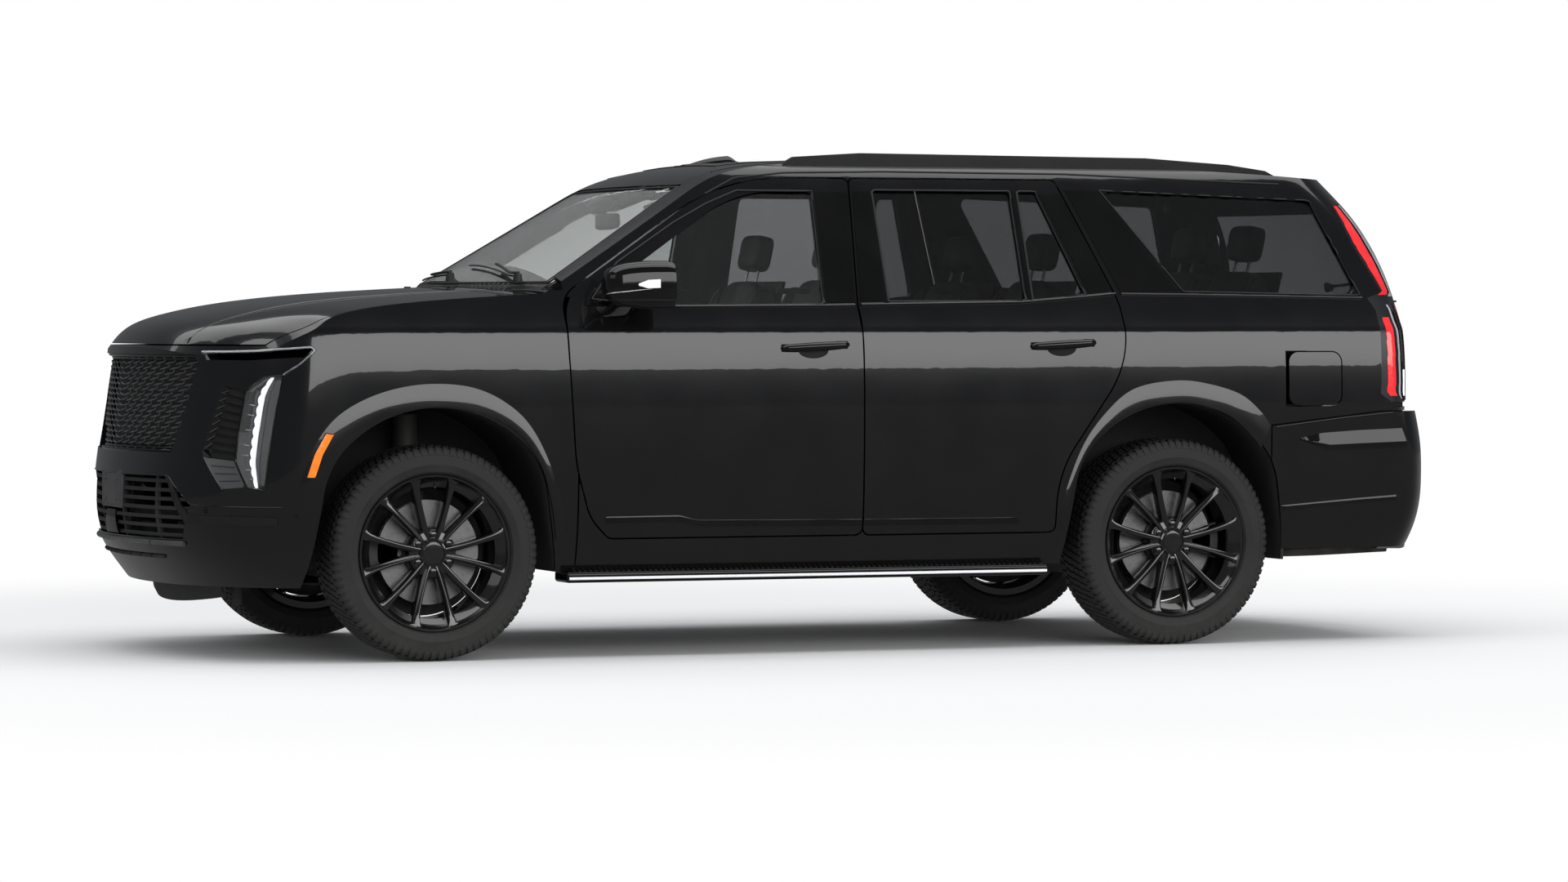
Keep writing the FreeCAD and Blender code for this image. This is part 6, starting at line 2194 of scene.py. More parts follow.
    def _mouldings(self, flank: Flank, front: str, rear: str, name: str, finishes: Finishes) -> None:
        """Lays belt beads, the lower blades and the line along the roof.

        Args:
            flank: the side that carries the pieces.
            front: the front door's name.
            rear: the rear door's name.
            name: left or right.
            finishes: the vehicle's materials.
        """
        gloss = finishes["gloss_trim"]
        whole = flank.bead([(640, 1362), (987, 1344), (1600, 1348), (1716, 1350)], 5.0, 3.0, 60, 1.3)
        absorb(whole, flank.strip([(676, 540), (974, 542), (1042, 523), (1724, 517)],
                                  [(676, 514), (974, 516), (1042, 497), (1724, 491)], 50, 4,
                                  [0.4, 2.4, 2.6, 0.4], 2))
        finish_piece(whole, f"{front}_mouldings", gloss, front, 40)
        whole = flank.bead([(1742, 1352), (2424, 1362), (2700, 1384), (2834, 1396)], 5.0, 3.0, 60, 1.3)
        absorb(whole, flank.strip([(1740, 517), (2380, 516)], [(1740, 491), (2396, 490)], 40, 4,
                                  [0.4, 2.4, 2.6, 0.4], 2))
        finish_piece(whole, f"{rear}_mouldings", gloss, rear, 40)
        drip = flank.bead([(1160, 1782), (1290, 1846), (1498, 1868), (1926, 1876), (2704, 1873),
                           (3640, 1840)], 3.5, 1.0, 110, 1.0)
        finish_piece(drip, f"roof_drip_bead_{name}", finishes["seal"], "body", 50)
        belt = flank.bead([(2860, 1394), (3132, 1392), (3920, 1380)], 4.0, 2.4, 50, 1.2)
        finish_piece(belt, f"quarter_belt_bead_{name}", gloss, "body", 50)

    def _arches(self, flank: Flank, name: str, finishes: Finishes) -> None:
        """Raises the lips round the wheel openings and sets the amber marker in the front one.

        Args:
            flank: the side that carries the pieces.
            name: left or right.
            finishes: the vehicle's materials.
        """
        for tag, lip, edge in (("front", self.front_lip, self.front_edge),
                               ("rear", self.rear_lip, self.rear_edge)):
            work = flank.strip(smooth_line(lip), smooth_line(edge), 72, 6, [0.6, 3.0, 5.2, 6.6, 7.0], 3.0)
            finish_piece(work, f"{tag}_arch_lip_{name}", finishes["paint"], "body", 50)
        first = [(-436, 868), (-480, 788), (-508, 700)]
        second = [(-404, 862), (-446, 786), (-474, 700)]
        marker = flank.strip(first, second, 14, 3, [5.5, 7.5, 6.5], 4)
        finish_piece(marker, f"side_marker_{name}", finishes["amber"], "body", 50)
        rim = flank.bead([*first, *reversed(second), first[0]], 2.2, 6.0, 40)
        finish_piece(rim, f"side_marker_rim_{name}", finishes["gloss_trim"], "body", 60)

    def _sill(self, flank: Flank, name: str, finishes: Finishes) -> None:
        """Adds treads and the pale edge to the running board, whose glow is a painted highlight.

        Args:
            flank: the side that carries the pieces.
            name: left or right.
            finishes: the vehicle's materials.
        """
        side = flank.side
        board = Skin(("running_boards",))
        treads, edge = bmesh.new(), []
        outermost = board.hit(place(1500, side * 1500, 300), Vector((0, -side, 0)))
        reach = abs(outermost[0].y) / MM if outermost else 1000.0
        for x in range(560, 2500, 22):
            top = board.hit(place(x, side * (reach - 60), 700), Vector((0, 0, -1)))
            if top is None:
                continue
            height = top[0].z / MM
            block(treads, (x - 4, min(side * (reach - 96), side * (reach - 24)), height),
                  (x + 4, max(side * (reach - 96), side * (reach - 24)), height + 3.5), 1.2, 1)
        finish_piece(treads, f"running_board_treads_{name}", finishes["plastic"], "body",
                     None)
        # The edge's pale colour glows: a painted highlight along the board.
        for x in range(530, 2541, 30):
            found = board.hit(place(x, side * 1500, 305), Vector((0, -side, 0)))
            if found:
                edge.append(found[0] + Vector((0, side * 0.4 * MM, 0)))
        if len(edge) > 3:
            work = bmesh.new()
            tube(work, edge, 5.5 * MM, 8, 1.0)
            finish_piece(work, f"running_board_edge_{name}", finishes["white_strip"], "body",
                         50)


def smooth_line(line: Line) -> list[tuple[float, float]]:
    """Reads a smooth curve through places of a side view."""
    return [(p.x, p.z) for p in smooth_path([Vector((x, 0, z)) for x, z in line])]


def cushion(size: Point, crown: float, channels: Sequence[float] = (), cross: Sequence[float] = (),
            depth: float = 6.0, cuts: int = 18, power: float = 5.0) -> bmesh.types.BMesh:
    """Makes a stuffed pad: a crowned block with round edges and sewn channels in its upper face.

    Args:
        size: length, width and height in millimetres.
        crown: how far the upper face bulges in millimetres.
        channels: places of the channels along the length, as shares from -1 to 1 of the width.
        cross: places of the channels across, as shares from -1 to 1 of the length.
        depth: how deep the channels are drawn in, in millimetres.
        cuts: cuts along each edge.
        power: how square the block is.

    Returns:
        The pad, centred on the origin, its upper face towards +Z, in metres.
    """
    work = bmesh.new()
    bmesh.ops.create_cube(work, size=2.0)
    bmesh.ops.subdivide_edges(work, edges=work.edges[:], cuts=cuts, use_grid_fill=True)
    half = Vector(size) * 0.5 * MM
    for vert in work.verts:
        u, v, w = vert.co
        norm = (abs(u) ** power + abs(v) ** power + abs(w) ** power) ** (1 / power)
        u, v, w = u / norm, v / norm, w / norm
        waist = 1.0 - 0.02 * (1 - w * w)
        spot = Vector((u * half.x * waist, v * half.y * waist, w * half.z))
        fill = max(0.0, (1 - u ** 4) * (1 - v ** 4))
        if w > 0:
            drawn = sum(math.exp(-((v - at) * half.y / (5 * MM)) ** 2) for at in channels)
            drawn += sum(math.exp(-((u - at) * half.x / (5 * MM)) ** 2) for at in cross)
            spot.z += (crown * fill - depth * min(drawn, 1.0) * min(fill * 3, 1.0)) * MM * w
        vert.co = spot
    return work


def put(work: bmesh.types.BMesh, at: Vector, tilt: float = 0.0, lean: float = 0.0) -> bmesh.types.BMesh:
    """Turns a pad about the cross axis, then about the long one, and moves it to its place.

    Args:
        work: the pad.
        at: where its middle goes, in metres.
        tilt: degrees about Y, which lift its upper face towards the front.
        lean: degrees about X.

    Returns:
        The same mesh.
    """
    tilted = Matrix.Translation(at) @ Matrix.Rotation(math.radians(tilt), 4, "Y")
    bmesh.ops.transform(work, matrix=tilted @ Matrix.Rotation(math.radians(lean), 4, "X"), verts=work.verts)
    return work


@dataclass
class Seat:
    """A seat with bolstered cushion and back, headrests on posts, shell, plinth and belt buckles.

    Attributes:
        name: the start of its pieces' names.
        x: millimetres of its cushion's front edge.
        y: its middle across the vehicle.
        width: its width.
        floor: height that it stands on.
        places: how many people it seats.
        replaces: the CAD nodes that it stands for.
        recline: degrees that its back leans.
    """

    name: str
    x: float
    y: float
    width: float = 560.0
    floor: float = 560.0
    places: int = 1
    replaces: tuple[str, ...] = ()
    recline: float = 14.0

    def build(self, finishes: Finishes) -> None:
        """Builds the seat.

        Args:
            finishes: the vehicle's materials.
        """
        leather = finishes["leather"]
        pads = {"cushion": self._cushion(), "backrest": self._back(), "headrest": self._heads()}
        for tag, work in pads.items():
            obj = finish_piece(work, f"{self.name}_{tag}", leather, "body", 70,
                               self.replaces if tag == "cushion" else ())
        finish_piece(self._piping(), f"{self.name}_piping", finishes["stitch"], "body", 60)
        finish_piece(self._shell(), f"{self.name}_shell", finishes["cabin"], "body", 40)
        finish_piece(self._posts(), f"{self.name}_posts", finishes["satin_metal"], "body", 50)

    def _lanes(self) -> list[float]:
        """Gives the middle of each place across the seat."""
        step = self.width / self.places
        return [self.y - self.width / 2 + step * (i + 0.5) for i in range(self.places)]

    def _at_back(self, up: float, out: float, y: float) -> Vector:
        """Gives a place on the reclined back.

        Args:
            up: millimetres up along the back.
            out: millimetres out towards the sitter.
            y: millimetres to the vehicle's right.

        Returns:
            The point in metres.
        """
        lean = math.radians(self.recline)
        x = self.x + 500 + math.sin(lean) * up - math.cos(lean) * out
        return place(x, y, self.floor + 300 + math.cos(lean) * up + math.sin(lean) * out)

    def _cushion(self) -> bmesh.types.BMesh:
        """Makes the seat cushion with its side bolsters.

        Returns:
            The new mesh.
        """
        whole = bmesh.new()
        step = self.width / self.places
        for y in self._lanes():
            absorb(whole, put(cushion((500, step - 96, 120), 12, (), (-0.55, -0.18, 0.18, 0.55), 5),
                              place(self.x + 262, y, self.floor + 268), -4))
            for side in (-1, 1):
                bolster = cushion((488, 62, 128), 10, (), (), 0, 12, 3.5)
                absorb(whole, put(bolster,
                                  place(self.x + 262, y + side * (step / 2 - 40), self.floor + 282), -4,
                                  side * 8))
        return whole

    def _back(self) -> bmesh.types.BMesh:
        """Makes the backrest with its bolsters and its level channels.

        Returns:
            The new mesh.
        """
        whole = bmesh.new()
        step = self.width / self.places
        for y in self._lanes():
            absorb(whole, put(cushion((600, step - 104, 96), 12, (), (-0.66, -0.36, -0.06, 0.24, 0.54), 5),
                              self._at_back(300, 30, y), self.recline - 90))
            for side in (-1, 1):
                bolster = cushion((560, 58, 116), 12, (), (), 0, 12, 3.2)
                absorb(whole, put(bolster, self._at_back(292, 42, y + side * (step / 2 - 42)),
                                  self.recline - 90, side * -6))
        return whole

    def _heads(self) -> bmesh.types.BMesh:
        """Makes the headrests.

        Returns:
            The new mesh.
        """
        whole = bmesh.new()
        for y in self._lanes():
            absorb(whole, put(cushion((150, 240, 74), 8, (), (0.0,), 3), self._at_back(716, 34, y),
                              self.recline - 92))
        return whole

    def _piping(self) -> bmesh.types.BMesh:
        """Sews piping round the inserts.

        Returns:
            The new mesh.
        """
        whole = bmesh.new()
        step = self.width / self.places
        for y in self._lanes():
            half = step / 2 - 60
            for side in (-1, 1):
                path = [place(self.x + 60 + 400 * k / 12, y + side * half,
                              self.floor + 331 + 3 * math.sin(math.pi * k / 12) - 1.2 * k)
                        for k in range(13)]
                tube(whole, path, 2.2 * MM, 6)
                path = [self._at_back(60 + 500 * k / 12, 80 + 4 * math.sin(math.pi * k / 12),
                                      y + side * half) for k in range(13)]
                tube(whole, path, 2.2 * MM, 6, 1.0, Vector((0, 1, 0)))
        return whole

    def _shell(self) -> bmesh.types.BMesh:
        """Makes the plinth, the side covers and the shell behind the back.

        Returns:
            The new mesh.
        """
        whole = bmesh.new()
        low, high = self.y - self.width / 2, self.y + self.width / 2
        block(whole, (self.x + 60, low + 50, self.floor), (self.x + 440, high - 50, self.floor + 205), 16)
        for y in (low + 14, high - 44):
            block(whole, (self.x + 70, y, self.floor + 120), (self.x + 500, y + 30, self.floor + 250), 12)
        for y in (low + 90, high - 130):
            block(whole, (self.x + 20, y, self.floor), (self.x + 560, y + 40, self.floor + 26), 6)
        rows = []
        for k in range(13):
            up = 20 + 590 * k / 12
            rows.append([self._at_back(up,
                                       -26 - 12 * math.sin(math.pi * k / 12) * (1 - (2 * i / 12 - 1) ** 4),
                                       low + 18 + (self.width - 36) * i / 12) for i in range(13)])
        absorb(whole, sheet(rows, 0.012))
        for y in self._lanes():
            block(whole, (self.x + 430, y + self.width / self.places / 2 - 66, self.floor + 300),
                  (self.x + 452, y + self.width / self.places / 2 - 36, self.floor + 372), 4)
        return whole

    def _posts(self) -> bmesh.types.BMesh:
        """Makes the headrest posts.

        Returns:
            The new mesh.
        """
        whole = bmesh.new()
        for y in self._lanes():
            for side in (-1, 1):
                tube(whole, [self._at_back(up, 30, y + side * 62) for up in (580, 640, 700)], 6 * MM, 12,
                     1.0, Vector((0, 1, 0)))
        return whole


@dataclass
class Dashboard:
    """The dashboard with its wide curved screen, vents, glovebox, column, console and pedals.

    Attributes:
        wheel_y: the driver's middle across the vehicle.
    """

    wheel_y: float = -SEAT_Y

    def _loft(self, profile: Line, half: float, bow: float) -> bmesh.types.BMesh:
        """Carries a side-view profile across the cabin, bowed forwards at its ends.

        Args:
            profile: the profile's places.
            half: half its width in millimetres.
            bow: millimetres that its ends stand forward.

        Returns:
            The new mesh.
        """
        rows = []
        for x, z in profile:
            rows.append([place(x - bow * (i / 16 - 1) ** 2, half * (i / 16 - 1), z) for i in range(33)])
        work = sheet(rows)
        bmesh.ops.remove_doubles(work, verts=work.verts, dist=1e-6)
        bmesh.ops.holes_fill(work, edges=work.edges[:], sides=0)
        bmesh.ops.recalc_face_normals(work, faces=work.faces)
        return work

    def build(self, finishes: Finishes) -> None:
        """Builds the dashboard.

        Args:
            finishes: the vehicle's materials.
        """
        top = smooth_line([(470, 1000), (462, 1150), (470, 1282), (560, 1312), (700, 1318), (840, 1300),
                           (884, 1262), (872, 1214), (846, 1200), (838, 1130), (868, 1080), (850, 1010),
                           (700, 985), (470, 1000)])
        finish_piece(self._loft(top, 776, 26), "dash_body", finishes["cabin"], "body", 40,
                     ["dashboard"])
        wood = self._loft([(866, 1206), (876, 1200), (868, 1150), (856, 1152)], 740, 24)
        finish_piece(wood, "dash_wood_band", finishes["wood"], "body", 40)
        rows = []
        for k in range(7):
            z = 1258 + 118 * k / 6
            rows.append([place(838 - 34 * ((i / 30) - 0.45) ** 2 * 4 - 0.12 * (z - 1258),
                               -700 + 1010 * i / 30, z) for i in range(31)])
        finish_piece(sheet(rows, 0.016), "wide_screen", finishes["screen"], "body", 40)
        vents = bmesh.new()
        for y in (-690, -120, 120, 660):
            for k in range(4):
                block(vents, (856, y - 52, 1222 + 9 * k), (884, y + 52, 1225 + 9 * k), 1, 1)
            block(vents, (870, y - 4, 1220), (886, y + 4, 1252), 1.5, 1)
        finish_piece(vents, "dash_vents", finishes["satin_metal"], "body", 30)
        low = bmesh.new()
        block(low, (846, 230, 1020), (872, 640, 1120), 10)
        block(low, (848, -640, 1010), (868, -250, 1100), 8)
        finish_piece(low, "glovebox_and_knee_panel", finishes["cabin"], "body", 40)
        self._console(finishes)
        self._column(finishes)

    def _console(self, finishes: Finishes) -> None:
        """Builds the centre console with selector, cup holders, climate panel and padded lid.

        Args:
            finishes: the vehicle's materials.
        """
        whole = bmesh.new()
        block(whole, (880, -128, 650), (1880, 128, 940), 24, 3)
        block(whole, (850, -130, 900), (1010, 130, 1060), 20, 3)
        finish_piece(whole, "console_body", finishes["cabin"], "body", 40)
        top = bmesh.new()
        block(top, (1030, -112, 938), (1420, 112, 950), 5)
        for y in (-48, 48):
            stud(top, 42, 40, 10, 32, Matrix.Translation(place(1330, y, 953)))
        finish_piece(top, "console_wood_top", finishes["wood"], "body", 30)
        knob = bmesh.new()
        block(knob, (1100, -24, 948), (1190, 24, 1010), 14, 3)
        block(knob, (1010, -96, 1000), (1022, 96, 1052), 5, 2)
        finish_piece(knob, "selector_and_climate_panel", finishes["gloss_trim"], "body", 40)
        lid = finish_piece(put(cushion((420, 236, 62), 8, (), (), 0), place(1660, 0, 968)),
                           "console_lid_pad", finishes["leather"], "body", 60)

    def _column(self, finishes: Finishes) -> None:
        """Builds the steering column's cover, the stalks and the pedals.

        Args:
            finishes: the vehicle's materials.
        """
        whole = bmesh.new()
        ahead = Vector((math.cos(COLUMN_TILT), 0, math.sin(COLUMN_TILT)))
        base = place(880, self.wheel_y, 1150)
        tube(whole, [base - ahead * 0.03, base + ahead * 0.06, base + ahead * 0.15, base + ahead * 0.172],
             [0.07, 0.066, 0.056, 0.03], 20, 0.8)
        for side in (-1, 1):
            path = [base + ahead * 0.13 + Vector((0, side * 0.05, 0.01)),
                    base + ahead * 0.14 + Vector((0, side * 0.16, 0.03))]
            tube(whole, path, [0.008, 0.011], 10)
        finish_piece(whole, "column_cover_and_stalks", finishes["plastic"], "body", 45)
        pedals = bmesh.new()
        for y, low in ((self.wheel_y + 90, 640), (self.wheel_y - 10, 680)):
            block(pedals, (800, y - 28, low), (812, y + 28, low + 120), 4, 2,
                  Matrix.Rotation(math.radians(-28), 4, "Y"))
            tube(pedals, [place(790, y, low + 60), place(690, y, low + 260)], 7 * MM, 8)
        finish_piece(pedals, "pedals", finishes["steel"], "body", 40)


class Cabin:
    """Everything seen through the glass."""

    def build(self, finishes: Finishes) -> None:
        """Builds seats, dashboard, door cards and the roof lining's fittings.

        Args:
            finishes: the vehicle's materials.
        """
        for row, x, node in (("front", 1180, "front_seats"), ("second", 2095, "second_row_seats")):
            Seat(f"{row}_left_seat", x, -SEAT_Y, replaces=(node,)).build(finishes)
            Seat(f"{row}_right_seat", x, SEAT_Y).build(finishes)
        Seat("third_row", 3080, 0, 1100, 600, 2, ("third_row_seat",)).build(finishes)
        Dashboard().build(finishes)
        self._wheel_trim(finishes)
        self._lining(finishes)
        for name, side in SIDES.items():
            self._door_card(f"front_door_{name}", side, (700, 1640), finishes)
            self._door_card(f"rear_door_{name}", side, (1800, 2520), finishes)

    def _wheel_trim(self, finishes: Finishes) -> None:
        """Puts the plain pad, switches and bright inlays on the steering wheel.

        Args:
            finishes: the vehicle's materials.
        """
        ahead = Vector((math.cos(COLUMN_TILT), 0, math.sin(COLUMN_TILT)))
        centre = place(880, -SEAT_Y, 1150) + ahead * (0.260 - 0.0095)
        turn = Matrix.Translation(centre) @ Matrix.Rotation(math.pi / 2 - COLUMN_TILT, 4, "Y")
        pad = bmesh.new()
        bmesh.ops.create_uvsphere(pad, u_segments=32, v_segments=16, radius=1.0)
        bmesh.ops.scale(pad, vec=Vector((0.070, 0.082, 0.022)), verts=pad.verts)
        bmesh.ops.transform(pad, matrix=turn @ Matrix.Translation((0, 0, 0.004)), verts=pad.verts)
        finish_piece(pad, "steering_wheel_pad", finishes["cabin"], "steering_wheel", 60)
        keys = bmesh.new()
        for side in (-1, 1):
            key = brick((30, 50, 10), 3)
            bmesh.ops.transform(key, matrix=turn @ Matrix.Translation((0, side * 0.112, 0.008)),
                                verts=key.verts)
            absorb(keys, key)
        finish_piece(keys, "steering_wheel_switches", finishes["gloss_trim"], "steering_wheel",
                     40)

    def _lining(self, finishes: Finishes) -> None:
        """Hangs the headliner, visors and inner mirror.

        Args:
            finishes: the vehicle's materials.
        """
        roof = Skin(("roof",))
        rows = []
        for k in range(33):
            x = 1360 + 2280 * k / 32
            row = []
            for i in range(17):
                y = 640 * (i / 8 - 1)
                found = roof.hit(place(x, y, 1300), Vector((0, 0, 1)))
                row.append(found[0] - Vector((0, 0, 0.012)) if found else place(x, y, 1840))
            rows.append(row)
        finish_piece(sheet(rows, 0.006), "headliner", finishes["headliner"], "body", 50)
        small = bmesh.new()
        for y in (-330, 330):
            block(small, (1110, y - 150, 1756), (1290, y + 150, 1774), 7, 2,
                  Matrix.Rotation(math.radians(-20), 4, "Y"))
        finish_piece(small, "sun_visors", finishes["headliner"], "body", 45)
        mirror = bmesh.new()
        block(mirror, (1010, -118, 1652), (1042, 118, 1716), 12, 3)
        tube(mirror, [place(1020, 0, 1700), place(1010, 0, 1742), place(1000, 0, 1768)], 9 * MM, 10, 1.0,
             Vector((0, 1, 0)))
        block(mirror, (960, -60, 1722), (1030, 60, 1776), 10, 2, Matrix.Rotation(math.radians(-30), 4, "Y"))
        finish_piece(mirror, "inner_mirror", finishes["plastic"], "body", 45)
        face = bmesh.new()
        block(face, (1041, -108, 1660), (1044, 108, 1708), 1, 1)
        finish_piece(face, "inner_mirror_glass", finishes["mirror"], "body", 30)

    def _door_card(self, door: str, side: int, span: tuple[float, float], finishes: Finishes) -> None:
        """Covers a door's inner face with its padded card, armrest, a lower block and a wood band.

        Args:
            door: the door's name.
            side: -1 for the left, 1 for the right.
            span: where it starts and ends, in millimetres behind the front axle.
            finishes: the vehicle's materials.
        """
        skin = Skin((door,))
        x0, x1 = span

        def inner(x: float, z: float, lift: float) -> Vector:
            """Finds a place on the door's inner face.

            Args:
                x: millimetres behind the front axle.
                z: the height in millimetres.
                lift: millimetres off the surface.

            Returns:
                The point in metres.
            """
            found = skin.hit(place(x, side * 420, z), Vector((0, side, 0)))
            reach = abs(found[0].y) if found else 0.9
            return Vector((place(x, 0, 0).x, side * (reach - lift * MM), z * MM))

        rows = []
        for k in range(15):
            z = 640 + 660 * k / 14
            rows.append([inner(x0 + (x1 - x0) * i / 24, z, 3 + 4 * math.sin(math.pi * k / 14))
                         for i in range(25)])
        finish_piece(sheet(rows, 0.003), f"{door}_card", finishes["cabin"], door, 40)
        parts = bmesh.new()
        middle = (x0 + x1) / 2
        reach = abs(inner(middle, 960, 0).y) / MM
        low, high = sorted((side * (reach - 6), side * (reach - 62)))
        block(parts, (middle - 260, low, 946), (middle + 260, high, 986), 14, 3)
        low, high = sorted((side * (reach - 4), side * (reach - 30)))
        block(parts, (middle - 330, low, 690), (middle + 180, high, 790), 10, 2)
        finish_piece(parts, f"{door}_armrest", finishes["cabin"], door, 40)
        rows = [[inner(x0 + 30 + (x1 - x0 - 60) * i / 20, z, 9.5) for i in range(21)]
                for z in (1170, 1184, 1200, 1216)]
        finish_piece(sheet(rows, 0.003), f"{door}_wood_band", finishes["wood"], door, 40)


def loft(rings: Sequence[Sequence[Vector]]) -> bmesh.types.BMesh:
    """Builds a closed body through rings of points, with its two ends capped.

    Args:
        rings: equal rings in metres, each run once round without its first point repeated.

    Returns:
        A new mesh.
    """
    work = sheet([[*ring, ring[0]] for ring in rings])
    bmesh.ops.remove_doubles(work, verts=work.verts, dist=1e-6)
    bmesh.ops.holes_fill(work, edges=work.edges[:], sides=0)
    bmesh.ops.recalc_face_normals(work, faces=work.faces)
    return work


@dataclass
class DoorMirror:
    """A door mirror: gloss housing with a turn lamp in it, glass in a dark rim, and its foot.

    Attributes:
        side: -1 for the left, 1 for the right.
        name: left or right.
        profile: places behind the front axle, each with the housing's size there as a share.
    """

    side: int
    name: str
    profile: tuple[tuple[float, float], ...] = ((640, 0.22), (643, 0.42), (650, 0.58), (664, 0.71),
                                                (686, 0.82), (717, 0.905), (760, 0.965), (814, 0.995),
                                                (868, 1.0), (894, 0.985), (902, 0.955))

    def _ring(self, x: float, share: float, corners: int = 48) -> list[Vector]:
        """Gives one rounded ring of the housing.

        Args:
            x: millimetres behind the front axle.
            share: its size as a share of the largest ring.
            corners: corners round it.

        Returns:
            The ring's points in metres.
        """
        ring = []
        for k in range(corners):
            c, n = math.cos(math.tau * k / corners), math.sin(math.tau * k / corners)
            u, w = boxy(c, 0.58), boxy(n, 0.56)
            sag = 0.14 * (1 - u) * max(-w, 0.0)
            ring.append(place(x, self.side * (1094 + 91 * share * u), 1421 + (97 * w + 97 * sag) * share))
        return ring

    def build(self, finishes: Finishes) -> None:
        """Builds the mirror.

        Args:
            finishes: the vehicle's materials.
        """
        body = f"front_door_{self.name}"
        rings = [self._ring(x, share) for x, share in self.profile]
        rings += [self._ring(899, 0.93), self._ring(890, 0.915)]
        housing = loft(rings)
        tree = BVHTree.FromBMesh(housing)
        finish_piece(housing, f"mirror_{self.name}_housing", finishes["gloss_trim"], body, 50,
                     [f"mirror_{self.name}"])
        rim = loft([self._ring(891, 0.91), self._ring(897, 0.905), self._ring(897.5, 0.87),
                    self._ring(893, 0.86)])
        finish_piece(rim, f"mirror_{self.name}_rim", finishes["plastic"], body, 40)
        glass = loft([self._ring(893.5, 0.868), self._ring(896.5, 0.866), self._ring(897.3, 0.60),
                      self._ring(897.6, 0.25)])
        finish_piece(glass, f"mirror_{self.name}_glass", finishes["mirror"], body, 60)
        self._lamp(tree, body, finishes)
        self._foot(body, finishes)

    def _round(self, tree: BVHTree, bearing: float, height: float, lift: float) -> Vector | None:
        """Finds the housing's surface on a bearing from straight ahead.

        Args:
            tree: the housing.
            bearing: degrees from straight ahead towards the outer end.
            height: the height in millimetres.
            lift: millimetres outside the surface.

        Returns:
            The point, or None where the ray misses.
        """
        angle = math.radians(bearing)
        ray = Vector((-math.cos(angle), self.side * math.sin(angle), 0))
        point, normal, _, _ = tree.ray_cast(place(800, self.side * 1094, height) + ray * 0.3, -ray)
        return None if point is None else point + normal * (lift * MM)

    def _lamp(self, tree: BVHTree, body: str, finishes: Finishes) -> None:
        """Lays the turn lamp round the housing's outer end, with a bright line that runs on under its nose.

        Args:
            tree: the housing's surface.
            body: the body that carries it.
            finishes: the vehicle's materials.
        """
        lens = []
        for share, lift in ((0.0, 0.1), (0.12, 1.6), (0.5, 2.0), (0.88, 1.6), (1.0, 0.1)):
            row = []
            for k in range(29):
                part = k / 28
                tall = 8 + 24 * min(1.0, 2.4 * part)
                row.append(self._round(tree, 60 + 52 * part, 1426 + 4 * part + tall * (share - 0.5),
                                       lift * min(1.0, 8 * part, 8 - 7.9 * part)))
            lens.append(row)
        if all(spot is not None for row in lens for spot in row):
            work = sheet(lens, 1.5 * MM)
            finish_piece(work, f"mirror_{self.name}_turn_lamp", finishes["white_strip"], body,
                         60)
        sweep, radii = [], []
        for k in range(41):
            part = k / 40
            spot = self._round(tree, 92 - 150 * part, 1409 - 52 * part ** 1.6, 0.4)
            if spot is not None:
                sweep.append(spot)
                radii.append((0.8 + 2.8 * math.sin(math.pi * part)) * MM)
        bright = bmesh.new()
        tube(bright, sweep, radii, 10, 0.7)
        finish_piece(bright, f"mirror_{self.name}_bright_line", finishes["chrome"], body, 60)
        seam, line = bmesh.new(), []
        for k in range(49):
            spot = self._round(tree, -60 + 205 * k / 48, 1368, 0.0)
            if spot is not None:
                line.append(spot)
        tube(seam, line, 1.4 * MM, 6)
        finish_piece(seam, f"mirror_{self.name}_seam", finishes["seal"], body, 60)

    def _foot(self, body: str, finishes: Finishes) -> None:
        """Joins the housing to the door's belt and lays the small sail in the window's front corner.

        Args:
            body: the body that carries it.
            finishes: the vehicle's materials.
        """
        rings = []
        for y, x, z, length, height in ((958, 728, 1316, 68, 20), (980, 728, 1320, 64, 19),
                                        (1004, 728, 1328, 54, 18), (1030, 730, 1340, 48, 18),
                                        (1056, 732, 1352, 46, 18), (1072, 734, 1356, 44, 15)):
            ring = []
            for i in range(28):
                c, n = math.cos(math.tau * i / 28), math.sin(math.tau * i / 28)
                ring.append(place(x + length * boxy(c, 0.7), self.side * y, z + height * boxy(n, 0.7)))
            rings.append(ring)
        finish_piece(loft(rings), f"mirror_{self.name}_foot", finishes["gloss_trim"], body,
                     50)
        gasket = bmesh.new()
        block(gasket, (652, min(self.side * 952, self.side * 968), 1290),
              (804, max(self.side * 952, self.side * 968), 1342), 7, 2)
        finish_piece(gasket, f"mirror_{self.name}_gasket", finishes["seal"], body, 40)
        sail = Flank(self.side).strip([(602, 1348), (614, 1395), (650, 1452)],
                                      [(652, 1348), (660, 1385), (672, 1440)], 16, 4, [0.5, 4.0, 4.0, 0.5],
                                      3)
        finish_piece(sail, f"mirror_{self.name}_sail", finishes["gloss_trim"], body, 50)


class Mirrors:
    """Both door mirrors."""

    def build(self, finishes: Finishes) -> None:
        """Builds the mirrors.

        Args:
            finishes: the vehicle's materials.
        """
        for name, side in SIDES.items():
            DoorMirror(side, name).build(finishes)


